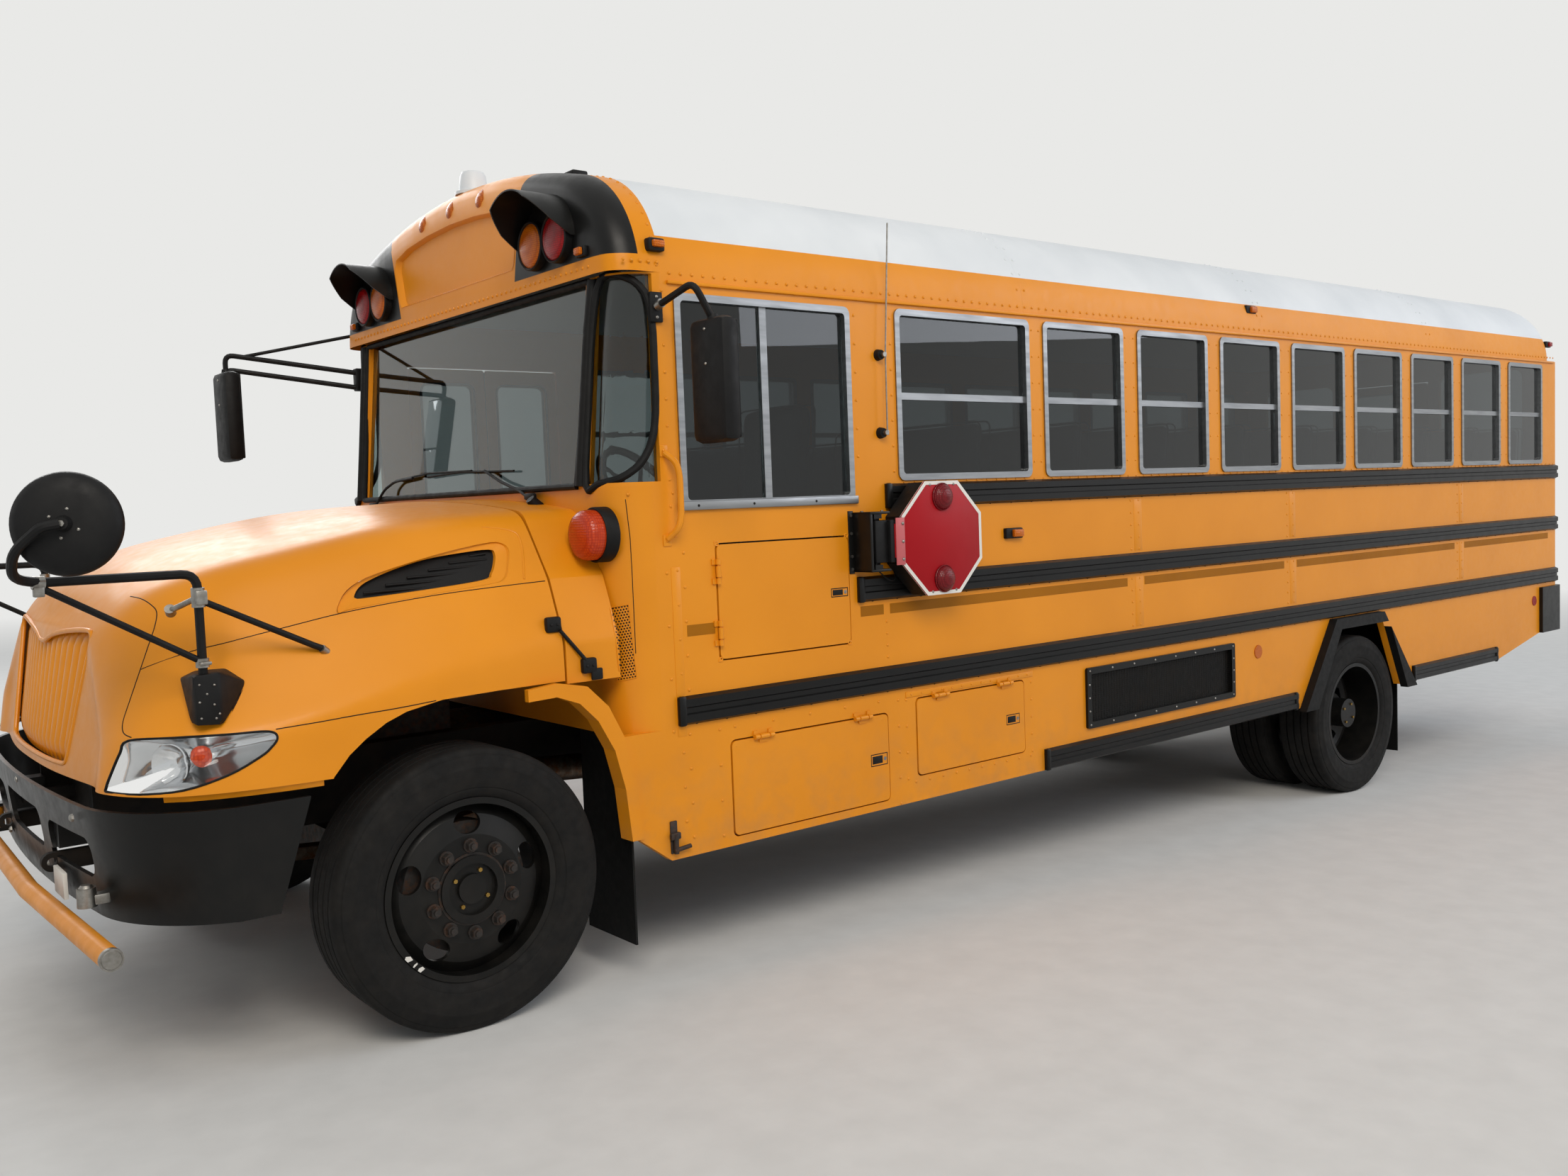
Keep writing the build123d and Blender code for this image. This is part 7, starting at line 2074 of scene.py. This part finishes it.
# %% Door seals and hinges
for name, edge, way, hinge in (
    ("entrance_door_front", 1.918, -1, 2.327), ("entrance_door_rear", 1.912, 1, 1.503)
):
    bm = bmesh.new()
    low_x, high_x = sorted((edge - way * 0.002, edge + way * 0.0022))
    block(bm, (low_x, -1.2165, 0.575), (high_x, -1.186, 2.375), 0.0008)
    finish(bm, name + "_seal", seal_rubber, name)
    bm = bmesh.new()
    for z in (0.83, 2.21):
        bar(bm, (hinge, -1.2275, z - 0.06), (hinge, -1.2275, z + 0.06), 0.0085, 16)
        low_x, high_x = sorted((hinge + way * 0.002, hinge + way * 0.052))
        block(bm, (low_x, -1.2225, z - 0.05), (high_x, -1.2185, z + 0.05), 0.001)
        for lift in (-0.03, 0.03):
            rivet(bm, (hinge + way * 0.036, -1.2225, z + lift), (0, -1, 0), 0.0055, 0.003)
    finish(bm, name + "_hinges", black_enamel, name)

# %% [markdown]
# ## Bench seats
# Each bench is a tube frame with a padded cushion and a tall padded back, both covered in
# grey-blue vinyl. The pads could be rounded blocks, but real ones swell between their seams.
# One cushion and one back are therefore inflated as cloth, and then copied to every place.

# %% Bench pads, inflated as cloth


def puff(name, low, high, lean=0.0, voxel=0.018, reach=0.016, pressure=4.0):
    """A closed pad: a rounded block, inflated as cloth, no point moving further than reach."""
    bm = bmesh.new()
    block(bm, low, high)
    bmesh.ops.bevel(
        bm, geom=list(bm.edges), offset=0.03, affect="EDGES", segments=3, profile=0.5, material=-1
    )
    if lean:
        for vert in bm.verts:
            vert.co.x -= lean * (vert.co.z - low[2])
    pad = to_object(bm, name)
    remesh = pad.modifiers.new("even", "REMESH")
    remesh.mode = "VOXEL"
    remesh.voxel_size = voxel
    start = [vert.co.copy() for vert in apply_modifiers(pad).vertices]
    cloth = pad.modifiers.new("cloth", "CLOTH")
    cloth.settings.use_pressure = True
    cloth.settings.uniform_pressure_force = pressure
    cloth.settings.effector_weights.gravity = 0.0
    cloth.settings.quality = 5
    cloth.settings.mass = 0.3
    cloth.point_cache.frame_start = 1
    cloth.point_cache.frame_end = 16
    for frame_number in range(1, 17):
        bpy.context.scene.frame_set(frame_number)
    apply_modifiers(pad)
    bpy.context.scene.frame_set(1)
    far = 0.0
    for vert, rest in zip(pad.data.vertices, start):
        step = vert.co - rest
        if step.length > reach:
            step = step.normalized() * reach
        vert.co = rest + step
        far = max(far, step.length)
    shape = pad.data
    bpy.data.objects.remove(pad)
    smooth = bmesh.new()
    smooth.from_mesh(shape)
    for _ in range(12):
        bmesh.ops.smooth_vert(
            smooth, verts=smooth.verts, factor=0.5, use_axis_x=True, use_axis_y=True, use_axis_z=True
        )
    smooth.to_mesh(shape)
    smooth.free()
    print(name, len(shape.vertices), "points, moved at most", round(far * 1000, 1), "mm")
    return shape


cushion_shape = puff("bench_cushion", (0.012, 0.204, 1.274), (0.428, 1.151, 1.366))
back_shape = puff("bench_back", (0.004, 0.204, 1.33), (0.066, 1.151, 1.984), lean=0.1029)

# %% Place the pads
bench_starts = [0.76 - 0.688 * number for number in range(9)]


def welt_run(corners):
    """A closed run for a welt: it starts and ends in the middle of its first side."""
    middle = tuple((first + second) / 2 for first, second in zip(corners[0], corners[1]))
    return [middle, *corners[1:], corners[0], middle]


def seat_piece(name, shape, starts, hand, node=None):
    """Copies of one pad along a side of the bus, made one padded piece."""
    bm = bmesh.new()
    for start in starts:
        copy = shape.copy()
        copy.transform(Matrix.Translation((start, 0, 0)))
        if hand < 0:
            copy.transform(Matrix.Diagonal((1, -1, 1, 1)))
        bm.from_mesh(copy)
        bpy.data.meshes.remove(copy)
    piece = finish(bm, name, seat_vinyl, smooth=180.0)
    if node:
        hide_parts(node)
    return piece


for side, hand in sides:
    seat_piece("bench_cushions_" + side, cushion_shape, bench_starts, hand, "bench_seats_" + side)
    seat_piece("bench_backs_" + side, back_shape, bench_starts, hand)

# %% Bench welts and frames
for side, hand in sides:
    welts = []
    for start in bench_starts:
        for low_z in (1.282, 1.358):
            welts.append(welt_run([
                (start + 0.012, hand * 0.204, low_z), (start + 0.428, hand * 0.204, low_z),
                (start + 0.428, hand * 1.151, low_z), (start + 0.012, hand * 1.151, low_z)]))
        lean = [(z, -0.1029 * (z - 1.33)) for z in (1.345, 1.972)]
        for face_x in (0.004, 0.066):
            welts.append(welt_run([(start + face_x + move, hand * y, z) for (z, move), y in (
                (lean[0], 0.206), (lean[1], 0.206), (lean[1], 1.149), (lean[0], 1.149))]))
    tube("bench_welts_" + side, welts, 0.0042, seat_vinyl, bend=0.035, steps=3)
    bm = bmesh.new()
    for start in bench_starts:
        for x in (start + 0.04, start + 0.38):
            for y in (0.31, 1.105):
                low_y, high_y = sorted((hand * (y - 0.014), hand * (y + 0.014)))
                block(bm, (x - 0.014, low_y, 0.934), (x + 0.014, high_y, 1.272), 0.004)
                block(bm, (x - 0.034, low_y - 0.006, 0.931), (x + 0.034, high_y + 0.006, 0.938), 0.002)
                rivet(bm, (x + 0.026, hand * y, 0.938), (0, 0, 1), 0.006, 0.005)
                rivet(bm, (x - 0.026, hand * y, 0.938), (0, 0, 1), 0.006, 0.005)
            block(bm, (x - 0.012, hand * 0.23, 1.252), (x + 0.012, hand * 1.14, 1.276), 0.004)
        for y in (0.31, 1.105):
            low_y, high_y = sorted((hand * (y - 0.012), hand * (y + 0.012)))
            block(bm, (start + 0.03, low_y, 1.02), (start + 0.39, high_y, 1.042), 0.004)
    finish(bm, "bench_frames_" + side, black_enamel, "bus_body", "frame paint")

# %% [markdown]
# ## Driver's station
# The driver sits on a pedestal seat behind a long moulded dash with a hooded instrument
# cluster. A large thin wheel with four spokes stands on a slanting column.

# %% Driver's seat
driver_cushion = puff(
    "driver_cushion", (1.516, 0.394, 1.356), (1.944, 0.846, 1.436), voxel=0.012, reach=0.014
)
driver_back = puff(
    "driver_back", (1.482, 0.404, 1.415), (1.552, 0.836, 2.066), lean=0.085, voxel=0.012, reach=0.012
)
seat_piece("driver_seat_cushion", driver_cushion, [0.0], 1)
seat_piece("driver_seat_back", driver_back, [0.0], 1)
welts = []
for low_z in (1.366, 1.428):
    welts.append(
        welt_run([(1.516, 0.394, low_z), (1.944, 0.394, low_z), (1.944, 0.846, low_z), (1.516, 0.846, low_z)])
    )
for face_x in (1.482, 1.552):
    welts.append(welt_run([(face_x - 0.085 * (z - 1.415), y, z) for y, z in (
        (0.406, 1.428), (0.406, 2.056), (0.834, 2.056), (0.834, 1.428))]))
tube("driver_seat_welts", welts, 0.0038, seat_vinyl, bend=0.035, steps=4)
bm = bmesh.new()
ring_spin(
    bm,
    [
        (0.105, 0.0), (0.105, 0.03), (0.085, 0.05), (0.08, 0.34), (0.1, 0.385), (0.1, 0.402), (0.0, 0.402),
        (0.0, 0.0)
    ],
    (1.73, 0.62, 0.934), (0, 0, 1), 40, closed=False
)
bmesh.ops.remove_doubles(bm, verts=bm.verts, dist=0.00003)
block(bm, (1.54, 0.43, 1.336), (1.92, 0.81, 1.352), 0.006)
finish(bm, "driver_seat_pedestal", black_enamel, "bus_body", "frame paint")

# %% Dash and steering wheel
bm = bmesh.new()
plate(bm, [(2.352, -0.598, 1.34), (2.352, -0.598, 1.6), (2.38, -0.598, 1.672), (2.44, -0.598, 1.69),
           (2.622, -0.598, 1.69), (2.622, -0.598, 1.34)], (0, 1.345, 0), 0.01)
dash = finish(bm, "dash_moulding", dash_plastic)
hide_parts("driver_station")
bm = bmesh.new()
block(bm, (2.346, 0.44, 1.56), (2.4, 0.74, 1.686), 0.016)
for y in (0.52, 0.66):
    ring_spin(
        bm, [(0.046, 0.0), (0.046, 0.008), (0.041, 0.01), (0.04, 0.003)], (2.347, y, 1.622), (-1, 0, 0), 32
    )
for number in range(8):
    y = -0.08 - 0.055 * number
    block(bm, (2.345, y - 0.018, 1.52), (2.353, y + 0.018, 1.56), 0.003)
for y in (-0.48, -0.3, 0.25):
    ring_spin(
        bm, [(0.04, 0.0), (0.04, 0.006), (0.034, 0.008), (0.03, 0.002)], (2.352, y, 1.46), (-1, 0, 0), 24
    )
finish(bm, "dash_switches_and_dials", moulded_black, "bus_body", "dash plastic")
hub, tilt = Vector((2.175, 0.62, 1.704)), Vector((-math.sin(math.radians(55)), 0, math.cos(math.radians(55))))
bm = bmesh.new()
rim_radius, rim_thickness = 0.215, 0.015
rim_section = []
for step in range(12):
    turn = math.tau * step / 12
    rim_section.append((rim_radius + rim_thickness * math.cos(turn), rim_thickness * math.sin(turn)))
ring_spin(bm, rim_section, hub, tilt, 64)
ring_spin(bm, [(0.048, -0.022), (0.052, 0.0), (0.04, 0.014), (0.0, 0.018)], hub, tilt, 32, closed=False)
turn = turn_to(tilt)
for spoke in range(4):
    angle = math.radians(45 + 90 * spoke)
    arm = turn @ Vector((math.cos(angle), math.sin(angle), 0))
    bar(bm, hub + arm * 0.04, hub + arm * 0.206, 0.0105, 12, 0.0075)
bmesh.ops.remove_doubles(bm, verts=bm.verts, dist=0.00003)
finish(bm, "steering_wheel", moulded_black, "bus_body", "dash plastic", smooth=50.0)
bm = bmesh.new()
bar(bm, (2.366, 0.62, 1.569), (2.196, 0.62, 1.69), 0.027, 24, 0.023)
finish(bm, "steering_column", moulded_black, "bus_body", "dash plastic")

# %% [markdown]
# ## Counting the pieces
# The script ends by printing how many pieces it added.

# %% The count of pieces
print("pieces added:", piece_count)
